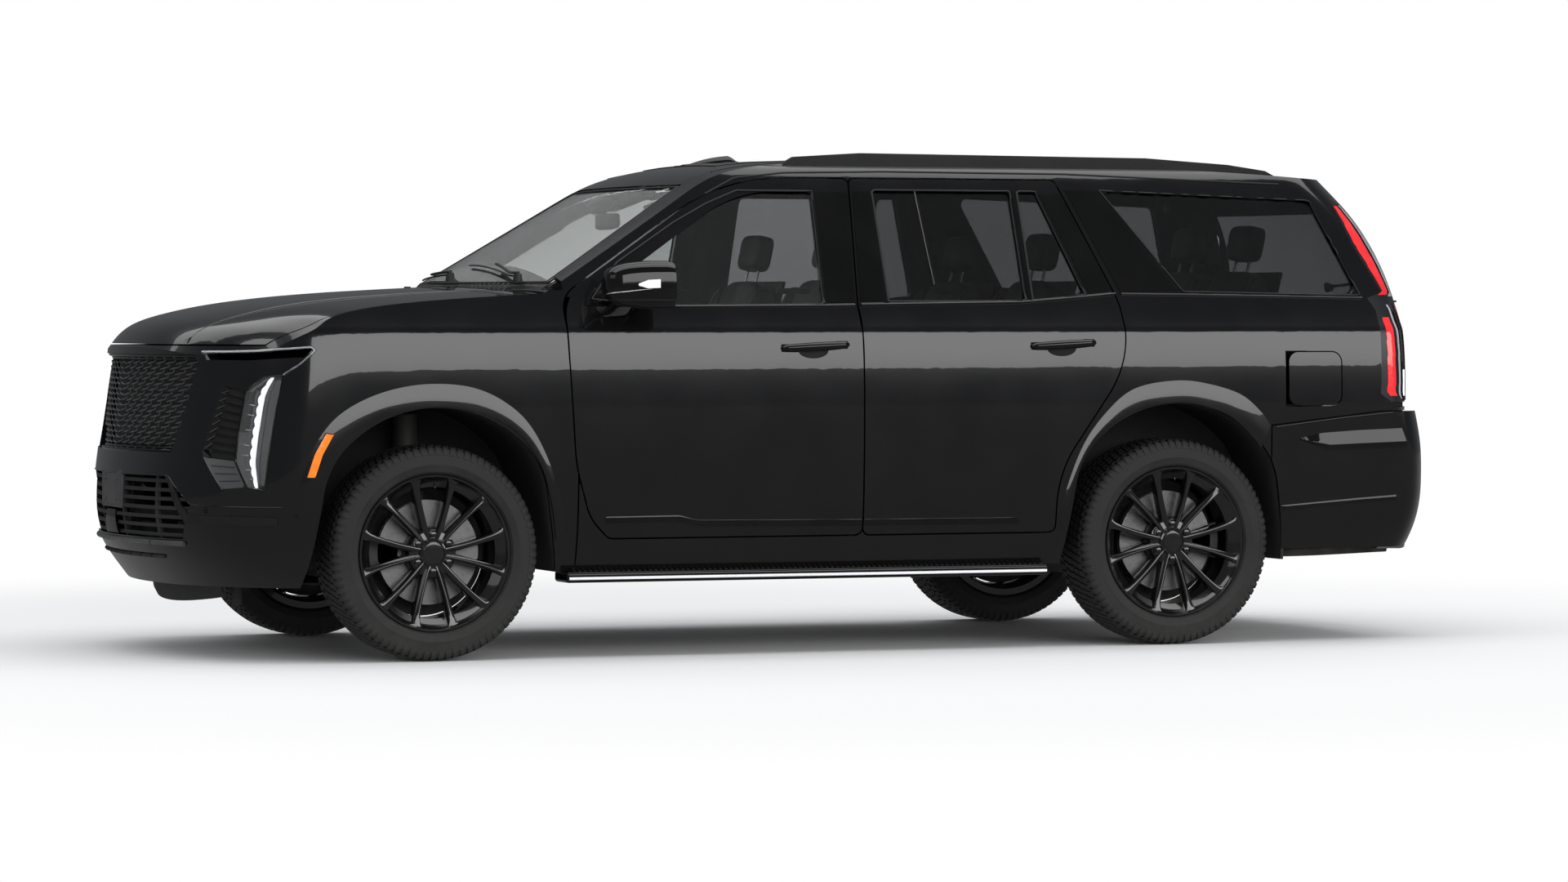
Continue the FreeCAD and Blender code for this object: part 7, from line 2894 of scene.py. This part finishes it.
@dataclass
class TailLamp:
    """The tall stepped tail lamp that wraps round a rear corner.

    Attributes:
        side: -1 for the left, 1 for the right.
        name: left or right.
        skin: the lamp's outer surface.
    """

    side: int
    name: str
    skin: Skin

    def _hit(self, z: float, bearing: float) -> tuple[Vector, Vector] | None:
        """Finds the lamp's surface at a height, seen from a bearing in degrees off straight back.

        Args:
            z: the height in millimetres.
            bearing: degrees off straight back.

        Returns:
            The point and its normal, or None where the ray misses.
        """
        high = max(0.0, (z - 1371) / 400)
        hub = place(3850 - 150 * high, self.side * (820 - 200 * high), z)
        out = Vector((math.cos(math.radians(bearing)), self.side * math.sin(math.radians(bearing)), 0))
        found = self.skin.hit(hub + out * 0.9, -out)
        if found and (found[0] - hub).dot(out) > 0.04 and found[1].dot(out) > 0.35:
            return found
        return None

    def _reach(self, z: float) -> tuple[float, float] | None:
        """Finds the bearings between which the lamp shows at a height."""
        seen = [b for b in range(-10, 111) if self._hit(z, b)]
        return (float(seen[-1]), float(seen[0])) if len(seen) > 4 else None

    def strip(self, low: float, high: float, first: float, last: float, lift: float, thickness: float,
              rows: int = 16, across: int = 5, crown: float = 1.5) -> bmesh.types.BMesh | None:
        """Lays an upright bar on the lamp.

        Args:
            low: its foot in millimetres.
            high: its head.
            first: where it starts, as a share of the way from the side to the rear.
            last: where it ends.
            lift: millimetres off the lamp's surface.
            thickness: millimetres of wall.
            rows: steps up.
            across: steps round.
            crown: millimetres that its middle stands further out.

        Returns:
            The closed bar, or None where the lamp has no surface.
        """
        grid = []
        for k in range(rows + 1):
            z = low + (high - low) * k / rows
            reach = self._reach(z)
            if reach is None:
                continue
            row = []
            for i in range(across + 1):
                share = first + (last - first) * i / across
                found = self._hit(z, reach[0] + (reach[1] - reach[0]) * share)
                if found is None:
                    row = []
                    break
                swell = lift + crown * (1 - (2 * i / across - 1) ** 2)
                row.append(found[0] + found[1] * (swell * MM))
            if row:
                grid.append(row)
        if len(grid) < 3:
            return None
        return turned_sheet(grid, thickness * MM, Vector((1, self.side, 0)))

    def _lay(self, tag: str, finish: bpy.types.Material,
             bars: Sequence[tuple[float, float, float, float, float, float]]) -> None:
        """Joins some bars into one piece.

        Args:
            tag: the end of the piece's name.
            finish: its material.
            bars: each bar's foot, head, first share, last share, lift and wall.
        """
        whole = bmesh.new()
        for low, high, first, last, lift, thickness in bars:
            rows = max(2, min(24, int((high - low) / 16)))
            bar = self.strip(low, high, first, last, lift, thickness, rows)
            if bar:
                absorb(whole, bar)
        if whole.faces:
            finish_piece(whole, f"tail_lamp_{self.name}_{tag}", finish, "body", 50)

    def build(self, finishes: Finishes) -> None:
        """Builds the lamp's bars, ribs and rims.

        Args:
            finishes: the vehicle's materials.
        """
        self._lay("red_bars", finishes["red"],
                  [(1392, 1752, 0.06, 0.36, 1.5, 4), (985, 1300, 0.09, 0.23, 2.5, 6),
                   (985, 1350, 0.68, 0.86, 2.0, 5)])
        self._lay("clear_edge", finishes["clear_lamp"],
                  [(1386, 1756, 0.46, 0.86, 1.0, 3), (956, 1352, 0.31, 0.37, 1.5, 4)])
        self._lay("reverse_lamp", finishes["white_lamp"], [(985, 1090, 0.46, 0.62, 2.0, 5)])
        self._lay("ribs", finishes["lamp_dark"],
                  [(z, z + 6, 0.44, 0.64, 1.5, 4) for z in range(1108, 1350, 14)])
        self._lay("rims", finishes["gloss_trim"],
                  [(950, 1358, 0.42, 0.44, 3.0, 5), (950, 1358, 0.64, 0.66, 3.0, 5),
                   (1386, 1758, 0.42, 0.45, 2.5, 4)])


@dataclass
class Tail:
    """The liftgate's fittings and the rear bumper's face."""

    gate: Skin = field(init=False)
    bumper: Skin = field(init=False)

    def __post_init__(self) -> None:
        """Reads the skins that carry the fittings."""
        self.gate = Skin(("liftgate", "liftgate_glass"))
        self.bumper = Skin(("rear_bumper",))

    def _behind(self, skin: Skin, y: float, z: float, lift: float, slant: float = 0.0) -> Vector:
        """Reads a skin from behind, and falls back on a place nearer the middle.

        Args:
            skin: the surface that carries it.
            y: millimetres to the right of the middle plane.
            z: the height in millimetres.
            lift: millimetres off the surface.
            slant: how far the line of sight climbs for each step forwards.

        Returns:
            The point in metres.
        """
        for pull in (1.0, 0.985, 0.96, 0.9):
            found = skin.hit(place(4900, y * pull, z), Vector((-1, 0, slant)))
            if found and found[1].x > 0.2:
                point = found[0] + found[1] * (lift * MM)
                return Vector((point.x, y * MM, point.z))
        return place(4250 + lift, y, z)

    def pad(self, skin: Skin, corners: Line, along: int, across: int, lift: float,
            thickness: float) -> bmesh.types.BMesh:
        """Lays a pad on a skin seen from behind; the corners are (y, z), upper pair first.

        Args:
            skin: the surface that carries it.
            corners: its corners as places across and up, the upper pair first.
            along: steps along it.
            across: steps across it.
            lift: millimetres off the surface.
            thickness: millimetres of wall.

        Returns:
            The new mesh.
        """
        first = resample(corners[:2], along + 1)
        second = resample(corners[2:], along + 1)
        rows = [[self._behind(skin, y, z, lift) for y, z in row] for row in between(first, second, across)]
        return turned_sheet(rows, thickness * MM, Vector((1, 0, 0)))

    def bead(self, skin: Skin, line: Line, radius: float, lift: float, steps: int,
             flat: float = 1.0) -> bmesh.types.BMesh:
        """Lays a bead along a line of the rear view.

        Args:
            skin: the surface that it lies on.
            line: the line's places.
            radius: its radius in millimetres.
            lift: millimetres off the surface.
            steps: steps along it.
            flat: its height as a share of its width.

        Returns:
            The new mesh.
        """
        work = bmesh.new()
        tube(work, [self._behind(skin, y, z, lift) for y, z in resample(line, steps + 1)], radius * MM, 8,
             flat)
        return work

    def build(self, finishes: Finishes) -> None:
        """Builds everything behind the vehicle.

        Args:
            finishes: the vehicle's materials.
        """
        skin = Skin(("tail_lamps",))
        for name, side in SIDES.items():
            TailLamp(side, name, skin).build(finishes)
        self._gate(finishes)
        self._wiper(finishes)
        self._bumper(finishes)
        self._exhaust(finishes)

    def _gate(self, finishes: Finishes) -> None:
        """Builds the trim bar, the plate's recess with its blank plate and lamps, and the glass seal.

        Args:
            finishes: the vehicle's materials.
        """
        bar = self.pad(self.gate, [(-640, 1196), (640, 1196), (-640, 1160), (640, 1160)], 48, 4, 6, 7)
        finish_piece(bar, "gate_bar", finishes["gloss_trim"], "liftgate", 50)
        line = self.bead(self.gate, [(-636, 1178), (636, 1178)], 4.5, 8.5, 48, 0.6)
        finish_piece(line, "gate_bar_inlay", finishes["satin_metal"], "liftgate", 50)
        frame = self.pad(self.gate, [(-290, 1130), (290, 1130), (-262, 925), (262, 925)], 30, 12, 2.5, 4)
        finish_piece(frame, "gate_plate_panel", finishes["plastic"], "liftgate", 40)
        plate = self.pad(self.gate, [(-160, 1100), (160, 1100), (-160, 948), (160, 948)], 10, 6, 6, 3)
        finish_piece(plate, "rear_plate_blank", finishes["plate"], "liftgate", 30)
        border = self.bead(self.gate, [(-166, 1106), (166, 1106), (166, 942), (-166, 942), (-166, 1106)], 4,
                           6, 80)
        finish_piece(border, "rear_plate_frame", finishes["gloss_trim"], "liftgate", 60)
        lamps = bmesh.new()
        for y in (-90, 90):
            absorb(lamps, self.pad(self.gate,
                                   [(y - 28, 1126), (y + 28, 1126), (y - 28, 1114), (y + 28, 1114)], 6, 2,
                                   8, 7))
        finish_piece(lamps, "rear_plate_lamps", finishes["white_lamp"], "liftgate", 40)
        seal = self.bead(self.gate, [(-764, 1396), (-616, 1736), (616, 1736), (764, 1396), (-764, 1396)],
                         4.5, 1.5, 160, 0.8)
        finish_piece(seal, "gate_window_seal", finishes["seal"], "liftgate", 60)
        lip = self.bead(self.gate, [(-800, 1366), (800, 1366)], 5, 2, 60, 0.8)
        finish_piece(lip, "gate_belt_bead", finishes["gloss_trim"], "liftgate", 60)
        camera = bmesh.new()
        ball = bmesh.ops.create_uvsphere(camera, u_segments=20, v_segments=12, radius=13 * MM)
        bmesh.ops.translate(camera, verts=ball["verts"], vec=self._behind(self.gate, 0, 1142, 0))
        finish_piece(camera, "rear_camera", finishes["gloss_trim"], "liftgate", 60)

    def _wiper(self, finishes: Finishes) -> None:
        """Parks the rear wiper along the foot of the glass.

        Args:
            finishes: the vehicle's materials.
        """
        arm = bmesh.new()
        spots = ((40, 1424, 22), (0, 1426, 26), (-120, 1434, 24), (-240, 1444, 18), (-300, 1449, 16))
        path = [self._behind(self.gate, y, z, lift) for y, z, lift in spots]
        tube(arm, path, [9 * MM, 10 * MM, 7 * MM, 6 * MM, 4 * MM], 10, 0.7)
        pivot = Matrix.Translation(self._behind(self.gate, 20, 1424, 12))
        stud(arm, 22, 16, 30, 28, pivot @ Matrix.Rotation(math.pi / 2, 4, "Y"))
        tube(arm, [self._behind(self.gate, -120 - 26 * k, 1430 + 2.4 * k, 8) for k in range(15)], 4.5 * MM,
             8)
        finish_piece(arm, "rear_wiper", finishes["plastic"], "liftgate", 50)

    def _bumper(self, finishes: Finishes) -> None:
        """Builds the bumper's crease, step pad, reflectors with painted glow, sensors and lower panel.

        Args:
            finishes: the vehicle's materials.
        """
        pad = bmesh.new()
        for k in range(9):
            absorb(pad, self.pad(self.bumper, [(-520, 742 - 7 * k), (520, 742 - 7 * k), (-520, 738 - 7 * k),
                                               (520, 738 - 7 * k)], 30, 1, 3, 4))
        finish_piece(pad, "rear_step_ribs", finishes["plastic"], "body", 40)
        low = self.pad(self.bumper, [(-700, 520), (700, 520), (-640, 392), (640, 392)], 50, 8, 4, 5)
        finish_piece(low, "rear_lower_panel", finishes["plastic"], "body", 50)
        strip = self.bead(self.bumper, [(-720, 530), (720, 530)], 5, 4, 60, 0.8)
        finish_piece(strip, "rear_lower_strip", finishes["satin_trim"], "body", 50)
        # The reflectors take the glowing red lens finish: painted glow on parts that are no lamps.
        glow = bmesh.new()
        for side in (-1, 1):
            a, b = sorted((side * 610, side * 790))
            absorb(glow, self.pad(self.bumper, [(a, 604), (b, 604), (a, 572), (b, 572)], 14, 3, 3, 5))
        finish_piece(glow, "rear_reflectors", finishes["red"], "body", 40)
        dots = bmesh.new()
        for y in (-760, -330, 330, 760):
            spot = Matrix.Translation(self._behind(self.bumper, y, 660, 0.5))
            stud(dots, 13, 12, 5, 24, spot @ Matrix.Rotation(math.pi / 2, 4, "Y"))
        finish_piece(dots, "rear_parking_sensors", finishes["gloss_trim"], "body", 40)
        for name, side in SIDES.items():
            flank = Flank(side)
            crease = flank.strip([(3524, 548), (3679, 560), (3860, 574), (4040, 586)],
                                 [(3524, 526), (3679, 538), (3860, 552), (4040, 564)], 40, 3,
                                 [1.0, 5.0, 1.0], 3)
            absorb(crease, flank.bead([(3500, 862), (3544, 868), (3800, 898), (4020, 918)], 3.5, 1.5, 40,
                                      0.8))
            finish_piece(crease, f"rear_bumper_crease_{name}", finishes["gloss_trim"], "body",
                         50)
            facet = flank.strip([(3609, 819), (3705, 838), (3870, 848), (4060, 855)],
                                [(3612, 811), (3735, 767), (3900, 771), (4085, 777)], 40, 14,
                                [0.3, 2.6, 4.9, 7.2, 9.5, 11.6, 9.0, 0.5], 3)
            finish_piece(facet, f"rear_bumper_facet_{name}", finishes["gloss_trim"], "body",
                         50)

    def _exhaust(self, finishes: Finishes) -> None:
        """Builds the pairs of exhaust outlets under the bumper.

        Args:
            finishes: the vehicle's materials.
        """
        whole = bmesh.new()
        for side in (-1, 1):
            for y in (560, 690):
                rings = []
                for x, half, high in ((4100, 50, 26), (4212, 52, 28), (4220, 50, 26), (4214, 46, 22),
                                      (4120, 44, 20)):
                    turns = [math.tau * k / 32 for k in range(32)]
                    rings.append([place(x, side * y + half * boxy(math.cos(a), 0.6),
                                        382 + high * boxy(math.sin(a), 0.6)) for a in turns])
                absorb(whole, loft(rings))
        finish_piece(whole, "exhaust_outlets", finishes["satin_metal"], "body", 40)


@dataclass
class Upper:
    """What lies on the hood, cowl, windshield and roof, and what shows under the floor."""

    top: Skin = field(init=False)

    def __post_init__(self) -> None:
        """Reads the surfaces from above."""
        self.top = Skin(("hood", "cowl", "windshield", "roof"))

    def _above(self, x: float, y: float, lift: float) -> Vector:
        """Reads the top at a place, or a neighbour where it is open.

        Args:
            x: millimetres behind the front axle.
            y: millimetres to the right of the middle plane.
            lift: millimetres off the surface.

        Returns:
            The point in metres.
        """
        for dx, dy in ((0, 0), (12, 0), (-12, 0), (0, 12), (0, -12), (30, 0), (-30, 0)):
            found = self.top.hit(place(x + dx, y + dy, 2300), Vector((0, 0, -1)))
            if found and found[1].z > 0.2:
                spot = place(x, y, 0)
                return Vector((spot.x, spot.y, found[0].z)) + found[1] * (lift * MM)
        return place(x, y, 1400 + lift)

    def lay(self, line: Sequence[tuple[float, float]], radius: float, lift: float, steps: int,
            flat: float = 1.0) -> bmesh.types.BMesh:
        """Lays a bead along a line of the plan.

        Args:
            line: the line's places.
            radius: its radius in millimetres.
            lift: millimetres off the surface.
            steps: steps along it.
            flat: its height as a share of its width.

        Returns:
            The new mesh.
        """
        work = bmesh.new()
        tube(work, [self._above(x, y, lift) for x, y in resample(line, steps + 1)], radius * MM, 8, flat)
        return work

    def build(self, finishes: Finishes) -> None:
        """Builds the fittings.

        Args:
            finishes: the vehicle's materials.
        """
        self._cowl(finishes)
        self._wipers(finishes)
        self._roof(finishes)
        self._pod(finishes)
        self._hood(finishes)
        self._underside(finishes)

    def _cowl(self, finishes: Finishes) -> None:
        """Lays the louvres of the cowl and the windshield's seal.

        Args:
            finishes: the vehicle's materials.
        """
        bars = bmesh.new()
        for k in range(31):
            y = -600 + 40 * k
            x = hood_end(y) + 34
            block(bars, (x, y - 13, 1), (x + 34, y + 13, 4), 1.2, 1)
        for vert in bars.verts:
            spot = vert.co
            surface = self._above(spot.x / MM - AXLE_SHIFT, spot.y / MM, 1.0)
            vert.co = Vector((spot.x, spot.y, surface.z + spot.z))
        finish_piece(bars, "cowl_louvres", finishes["plastic"], "body", 30)
        seal = bmesh.new()
        glass = Skin(("windshield",))
        line = []
        for y, z in resample([(-838, 1436), (-648, 1816), (648, 1816), (838, 1436), (-838, 1436)], 200):
            found = glass.hit(place(AHEAD_OF_NOSE, y * 0.992, z if z < 1810 else 1808), Vector((1, 0, 0)))
            if found:
                line.append(found[0] + found[1] * (1.5 * MM))
        if len(line) > 20:
            tube(seal, line, 4.5 * MM, 8, 0.8)
            finish_piece(seal, "windshield_seal", finishes["seal"], "body", 60)

    def _wipers(self, finishes: Finishes) -> None:
        """Parks the two wipers along the foot of the windshield.

        Args:
            finishes: the vehicle's materials.
        """
        whole = bmesh.new()
        for pivot, tip in ((-640, 60), (30, 700)):
            start = hood_end(pivot) + 88
            for y0, y1, lift, radius in ((pivot, pivot + 330, 24, 8), (pivot + 20, tip, 9, 5)):
                path = []
                for k in range(13):
                    y = y0 + (y1 - y0) * k / 12
                    path.append(self._above(max(start - 10 + 34 * k / 12, hood_end(y) + 98), y,
                                            lift - 8 * k / 12 + 8))
                tube(whole, path, radius * MM, 8, 0.7)
            stud(whole, 20, 15, 34, 24, Matrix.Translation(self._above(start, pivot, 14)))
        finish_piece(whole, "windshield_wipers", finishes["plastic"], "body", 50)

    def _roof(self, finishes: Finishes) -> None:
        """Lays the glass roof panels, their seals, the roof's beads and the rails' feet.

        Args:
            finishes: the vehicle's materials.
        """
        for tag, x0, x1 in (("front", 1330, 1960), ("rear", 2130, 2900)):
            rows = []
            for k in range(17):
                x = x0 + (x1 - x0) * k / 16
                rows.append([self._above(x, 430 * (i / 10 - 1), 1.6) for i in range(21)])
            finish_piece(turned_sheet(rows, 2.4 * MM, Vector((0, 0, 1))), f"glass_roof_{tag}",
                         finishes["privacy_roof"], "body", 50)
            ring = [(x0 - 4, -434), (x1 + 4, -434), (x1 + 4, 434), (x0 - 4, 434), (x0 - 4, -434)]
            finish_piece(self.lay(ring, 4.0, 1.0, 120, 0.7), f"glass_roof_seal_{tag}", finishes["seal"],
                         "body", 60)
        ditch = bmesh.new()
        for side in (-1, 1):
            absorb(ditch, self.lay([(1240, side * 628), (1600, side * 634), (3640, side * 634)], 4.0, 0.5,
                                   90, 0.7))
        finish_piece(ditch, "roof_ditch_mouldings", finishes["seal"], "body", 60)
        feet = bmesh.new()
        for side in (-1, 1):
            for x in (1560, 2230, 2900, 3560):
                foot = brick((130, 44, 22), 6)
                bmesh.ops.translate(foot, verts=foot.verts, vec=self._above(x, side * 690, 4))
                absorb(feet, foot)
        finish_piece(feet, "roof_rail_feet", finishes["plastic"], "body", 40)

    def _pod(self, finishes: Finishes) -> None:
        """Sets the low aerial fin on the roof.

        Args:
            finishes: the vehicle's materials.
        """
        rings = []
        for k in range(17):
            t = k / 16
            x = 1352 + 212 * t
            high = 30 * (1 - (1 - t) ** 2.2) * (1.0 if t < 0.9 else 1.0 - 0.55 * (t - 0.9) / 0.1)
            wide = 34 * math.sin(math.pi * min(0.5, 0.06 + t * 0.6)) * (1.0 if t < 0.92 else 0.94)
            base = self._above(x, 0, 0)
            rings.append([base
                          + Vector((0, wide * MM * math.cos(a),
                                    (high + 1) * MM * max(math.sin(a), 0.0) ** 0.8 - 0.002))
                          for a in (math.pi * (j / 12) for j in range(13))])
        work = loft(rings)
        finish_piece(work, "roof_aerial_fin", finishes["gloss_trim"], "body", 50)
        plinth = self.lay([(1346, 0), (1572, 0)], 38, 0.5, 24, 0.16)
        finish_piece(plinth, "roof_aerial_gasket", finishes["seal"], "body", 50)

    def _hood(self, finishes: Finishes) -> None:
        """Raises the two long creases of the hood and sets its washer jets.

        Args:
            finishes: the vehicle's materials.
        """
        for side in (-1, 1):
            work = bmesh.new()
            path, radii = [], []
            line = smooth_line([(-860, 0.62), (-620, 0.64), (-300, 0.66), (40, 0.67), (270, 0.66)])
            for k, (x, share) in enumerate(resample(line, 41)):
                path.append(self._above(x, side * 905 * share, -1.0))
                radii.append((3.0 + 15 * math.sin(math.pi * min(k / 40, 1.0))) * MM)
            tube(work, path, radii, 14, 0.34)
            name = "left" if side < 0 else "right"
            finish_piece(work, f"hood_crease_{name}", finishes["paint"], "hood", 60)
        jets = bmesh.new()
        for y in (-300, 300):
            jet = brick((22, 30, 8), 3)
            bmesh.ops.translate(jet, verts=jet.verts, vec=self._above(hood_end(y) - 30, y, 2))
            absorb(jets, jet)
        finish_piece(jets, "washer_jets", finishes["plastic"], "hood", 40)

    def _underside(self, finishes: Finishes) -> None:
        """Hangs the exhaust, the fuel tank, the propeller shaft and the skid plate under the floor.

        Args:
            finishes: the vehicle's materials.
        """
        pipes = bmesh.new()
        for side in (-1, 1):
            route = smooth_path([place(-100, side * 230, 470), place(500, side * 210, 350),
                                 place(1500, side * 200, 345), place(2300, side * 215, 350),
                                 place(2700, side * 300, 360)], 8)
            tube(pipes, route, 32 * MM, 14)
            tail = smooth_path([place(3560, side * 300, 350), place(3800, side * 520, 350),
                                place(4190, side * 625, 368)], 8)
            tube(pipes, tail, 30 * MM, 14)
            block(pipes, (1560, min(side * 110, side * 320), 270), (2120, max(side * 110, side * 320), 370),
                  40, 4)
        block(pipes, (3290, -330, 262), (3570, 330, 400), 50, 4)
        finish_piece(pipes, "exhaust_system", finishes["exhaust"], "body", 50)
        tank = bmesh.new()
        block(tank, (2000, -830, 330), (2560, -480, 518), 40, 4)
        finish_piece(tank, "fuel_tank", finishes["plastic"], "body", 45)
        shaft = bmesh.new()
        tube(shaft, [place(620, 0, 430), place(1700, 0, 400), place(2940, 0, 392)], 38 * MM, 18)
        finish_piece(shaft, "propeller_shaft", finishes["steel"], "body", 50)
        skid = bmesh.new()
        block(skid, (-720, -340, 268), (-150, 340, 276), 3, 1)
        for k in range(7):
            block(skid, (-690 + 80 * k, -300, 262), (-660 + 80 * k, 300, 270), 3, 1)
        finish_piece(skid, "front_skid_plate", finishes["plastic"], "body", 40)


def hood_end(y: float) -> float:
    """Gives how far back the hood reaches at a place across it, in millimetres."""
    return 295.0 + 137.0 * (y / 926.0) ** 2


ASSEMBLIES: tuple = (FrontEnd, SideTrim, Cabin, Mirrors, Tail, Upper)


@dataclass
class Studio:
    """The pale floor, the white surroundings, the soft lamps and the camera of the photograph's view.

    Attributes:
        eye: the camera's place in millimetres of the drawing frame.
        yaw: degrees from straight across the vehicle towards its tail.
        pitch: degrees above level.
        lens: focal length on a 36 mm film back.
        floor_colour: the floor's colour.
        ambient: strength of the surroundings' light.
        reflected: strength of the surroundings in reflections.
        reflected_floor: strength of the floor in reflections.
    """

    eye: Point = (-6056.0, -20832.0, 1308.0)
    yaw: float = 20.62
    pitch: float = -1.31
    lens: float = 125.79
    floor_colour: tuple[float, float, float] = (0.82, 0.82, 0.82)
    ambient: float = 0.55
    reflected: float = 0.10
    reflected_floor: float = 0.16

    def camera(self) -> None:
        """Places the camera."""
        data = bpy.data.cameras.new("camera")
        data.lens = self.lens
        data.sensor_width = 36.0
        data.clip_end = 400.0
        obj = bpy.data.objects.new("camera", data)
        yaw, pitch = math.radians(self.yaw), math.radians(self.pitch)
        ahead = Vector((math.sin(yaw) * math.cos(pitch), math.cos(yaw) * math.cos(pitch), math.sin(pitch)))
        obj.location = place(*self.eye)
        obj.rotation_euler = ahead.to_track_quat("-Z", "Y").to_euler()
        bpy.context.scene.collection.objects.link(obj)
        bpy.context.scene.camera = obj

    def world(self) -> None:
        """Makes the surroundings: white to the camera, dim in reflections, soft light elsewhere."""
        world = bpy.data.worlds.new("surroundings")
        bpy.context.scene.world = world
        world.use_nodes = True
        tree = world.node_tree
        tree.nodes.clear()
        out = tree.nodes.new("ShaderNodeOutputWorld")
        rays = tree.nodes.new("ShaderNodeLightPath")
        seen = self._background(tree, (1, 1, 1), 1.0)
        mirrored = self._background(tree, (0.9, 0.95, 1.0), self.reflected)
        light = self._background(tree, (0.95, 0.97, 1.0), self.ambient)
        gloss = tree.nodes.new("ShaderNodeMixShader")
        mix = tree.nodes.new("ShaderNodeMixShader")
        clear = tree.nodes.new("ShaderNodeMath")
        clear.operation = "MAXIMUM"
        tree.links.new(rays.outputs["Is Camera Ray"], clear.inputs[0])
        tree.links.new(rays.outputs["Is Transmission Ray"], clear.inputs[1])
        tree.links.new(rays.outputs["Is Glossy Ray"], gloss.inputs["Fac"])
        tree.links.new(light, gloss.inputs[1])
        tree.links.new(mirrored, gloss.inputs[2])
        tree.links.new(clear.outputs["Value"], mix.inputs["Fac"])
        tree.links.new(gloss.outputs["Shader"], mix.inputs[1])
        tree.links.new(seen, mix.inputs[2])
        tree.links.new(mix.outputs["Shader"], out.inputs["Surface"])

    def _background(self, tree: bpy.types.NodeTree, colour: tuple[float, float, float],
                    strength: float) -> bpy.types.NodeSocket:
        """Adds one plain background and gives its output.

        Args:
            tree: the world's nodes.
            colour: its colour.
            strength: its strength.

        Returns:
            The background's output.
        """
        node = tree.nodes.new("ShaderNodeBackground")
        node.inputs["Color"].default_value = (*colour, 1)
        node.inputs["Strength"].default_value = strength
        return node.outputs["Background"]

    def floor(self) -> None:
        """Lays the pale floor, which keeps the vehicle's shadow and fades into the white surroundings."""
        work = bmesh.new()
        bmesh.ops.create_circle(work, cap_ends=True, radius=60.0, segments=96)
        mesh = bpy.data.meshes.new("floor")
        work.to_mesh(mesh)
        work.free()
        obj = bpy.data.objects.new("floor", mesh)
        bpy.context.scene.collection.objects.link(obj)
        material = bpy.data.materials.new("pale_floor")
        material.use_nodes = True
        tree = material.node_tree
        shader = tree.nodes["Principled BSDF"]
        shader.inputs["Roughness"].default_value = 0.7
        shader.inputs["Specular IOR Level"].default_value = 0.2
        shader.inputs["Base Color"].default_value = (*self.floor_colour, 1)
        where = tree.nodes.new("ShaderNodeTexCoord")
        reach = tree.nodes.new("ShaderNodeVectorMath")
        reach.operation = "LENGTH"
        fade = tree.nodes.new("ShaderNodeMapRange")
        fade.interpolation_type = "SMOOTHSTEP"
        fade.inputs["From Min"].default_value = 3.2
        fade.inputs["From Max"].default_value = 6.5
        clear = tree.nodes.new("ShaderNodeEmission")
        rays = tree.nodes.new("ShaderNodeLightPath")
        seen = tree.nodes.new("ShaderNodeMath")
        seen.operation = "MULTIPLY"
        mix = tree.nodes.new("ShaderNodeMixShader")
        dim = tree.nodes.new("ShaderNodeEmission")
        dim.inputs["Strength"].default_value = self.reflected_floor
        body = tree.nodes.new("ShaderNodeMixShader")
        out = tree.nodes["Material Output"]
        tree.links.new(where.outputs["Object"], reach.inputs[0])
        tree.links.new(reach.outputs["Value"], fade.inputs["Value"])
        tree.links.new(fade.outputs["Result"], seen.inputs[0])
        tree.links.new(rays.outputs["Is Camera Ray"], seen.inputs[1])
        tree.links.new(seen.outputs["Value"], mix.inputs["Fac"])
        tree.links.new(rays.outputs["Is Glossy Ray"], body.inputs["Fac"])
        tree.links.new(shader.outputs["BSDF"], body.inputs[1])
        tree.links.new(dim.outputs["Emission"], body.inputs[2])
        tree.links.new(body.outputs["Shader"], mix.inputs[1])
        tree.links.new(clear.outputs["Emission"], mix.inputs[2])
        tree.links.new(mix.outputs["Shader"], out.inputs["Surface"])
        mesh.materials.append(material)

    def lamp(self, name: str, at: Point, aim: Point, size: tuple[float, float], power: float) -> None:
        """Hangs one soft rectangular lamp.

        Args:
            name: its name.
            at: its place in metres.
            aim: where it points, in metres.
            size: its width and height in metres.
            power: watts.
        """
        data = bpy.data.lights.new(name, "AREA")
        data.shape = "RECTANGLE"
        data.size, data.size_y = size
        data.energy = power
        obj = bpy.data.objects.new(name, data)
        obj.location = at
        obj.rotation_euler = (Vector(aim) - Vector(at)).to_track_quat("-Z", "Y").to_euler()
        bpy.context.scene.collection.objects.link(obj)

    def build(self) -> None:
        """Sets up camera, surroundings, floor and lamps."""
        bpy.context.scene.view_settings.view_transform = "Standard"
        self.camera()
        self.world()
        self.floor()
        self.lamp("overhead", (0.0, -1.0, 9.0), (0, 0, 0), (16.0, 7.0), 700.0)
        self.lamp("near_wall", (9.0, -27.0, 8.4), (0, 0, 1.4), (44.0, 10.6), 4600.0)
        self.lamp("far_side", (1.0, 8.0, 11.0), (0, 0, 0.8), (22.0, 6.0), 400.0)
        self.lamp("nose_side", (-17.0, -5.0, 7.5), (0, 0, 0.8), (16.0, 5.0), 190.0)


FRAME: dict = {}


def main() -> None:
    """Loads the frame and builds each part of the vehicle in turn."""
    logging.basicConfig(level=logging.INFO, format="%(name)s: %(message)s")
    FRAME.update(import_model())
    finishes = Finishes(Effects())
    Shell().dress(finishes)
    RunningGear().build(finishes)
    for assembly in ASSEMBLIES:
        assembly().build(finishes)
    Studio().build()


if __name__ == "__main__":
    main()
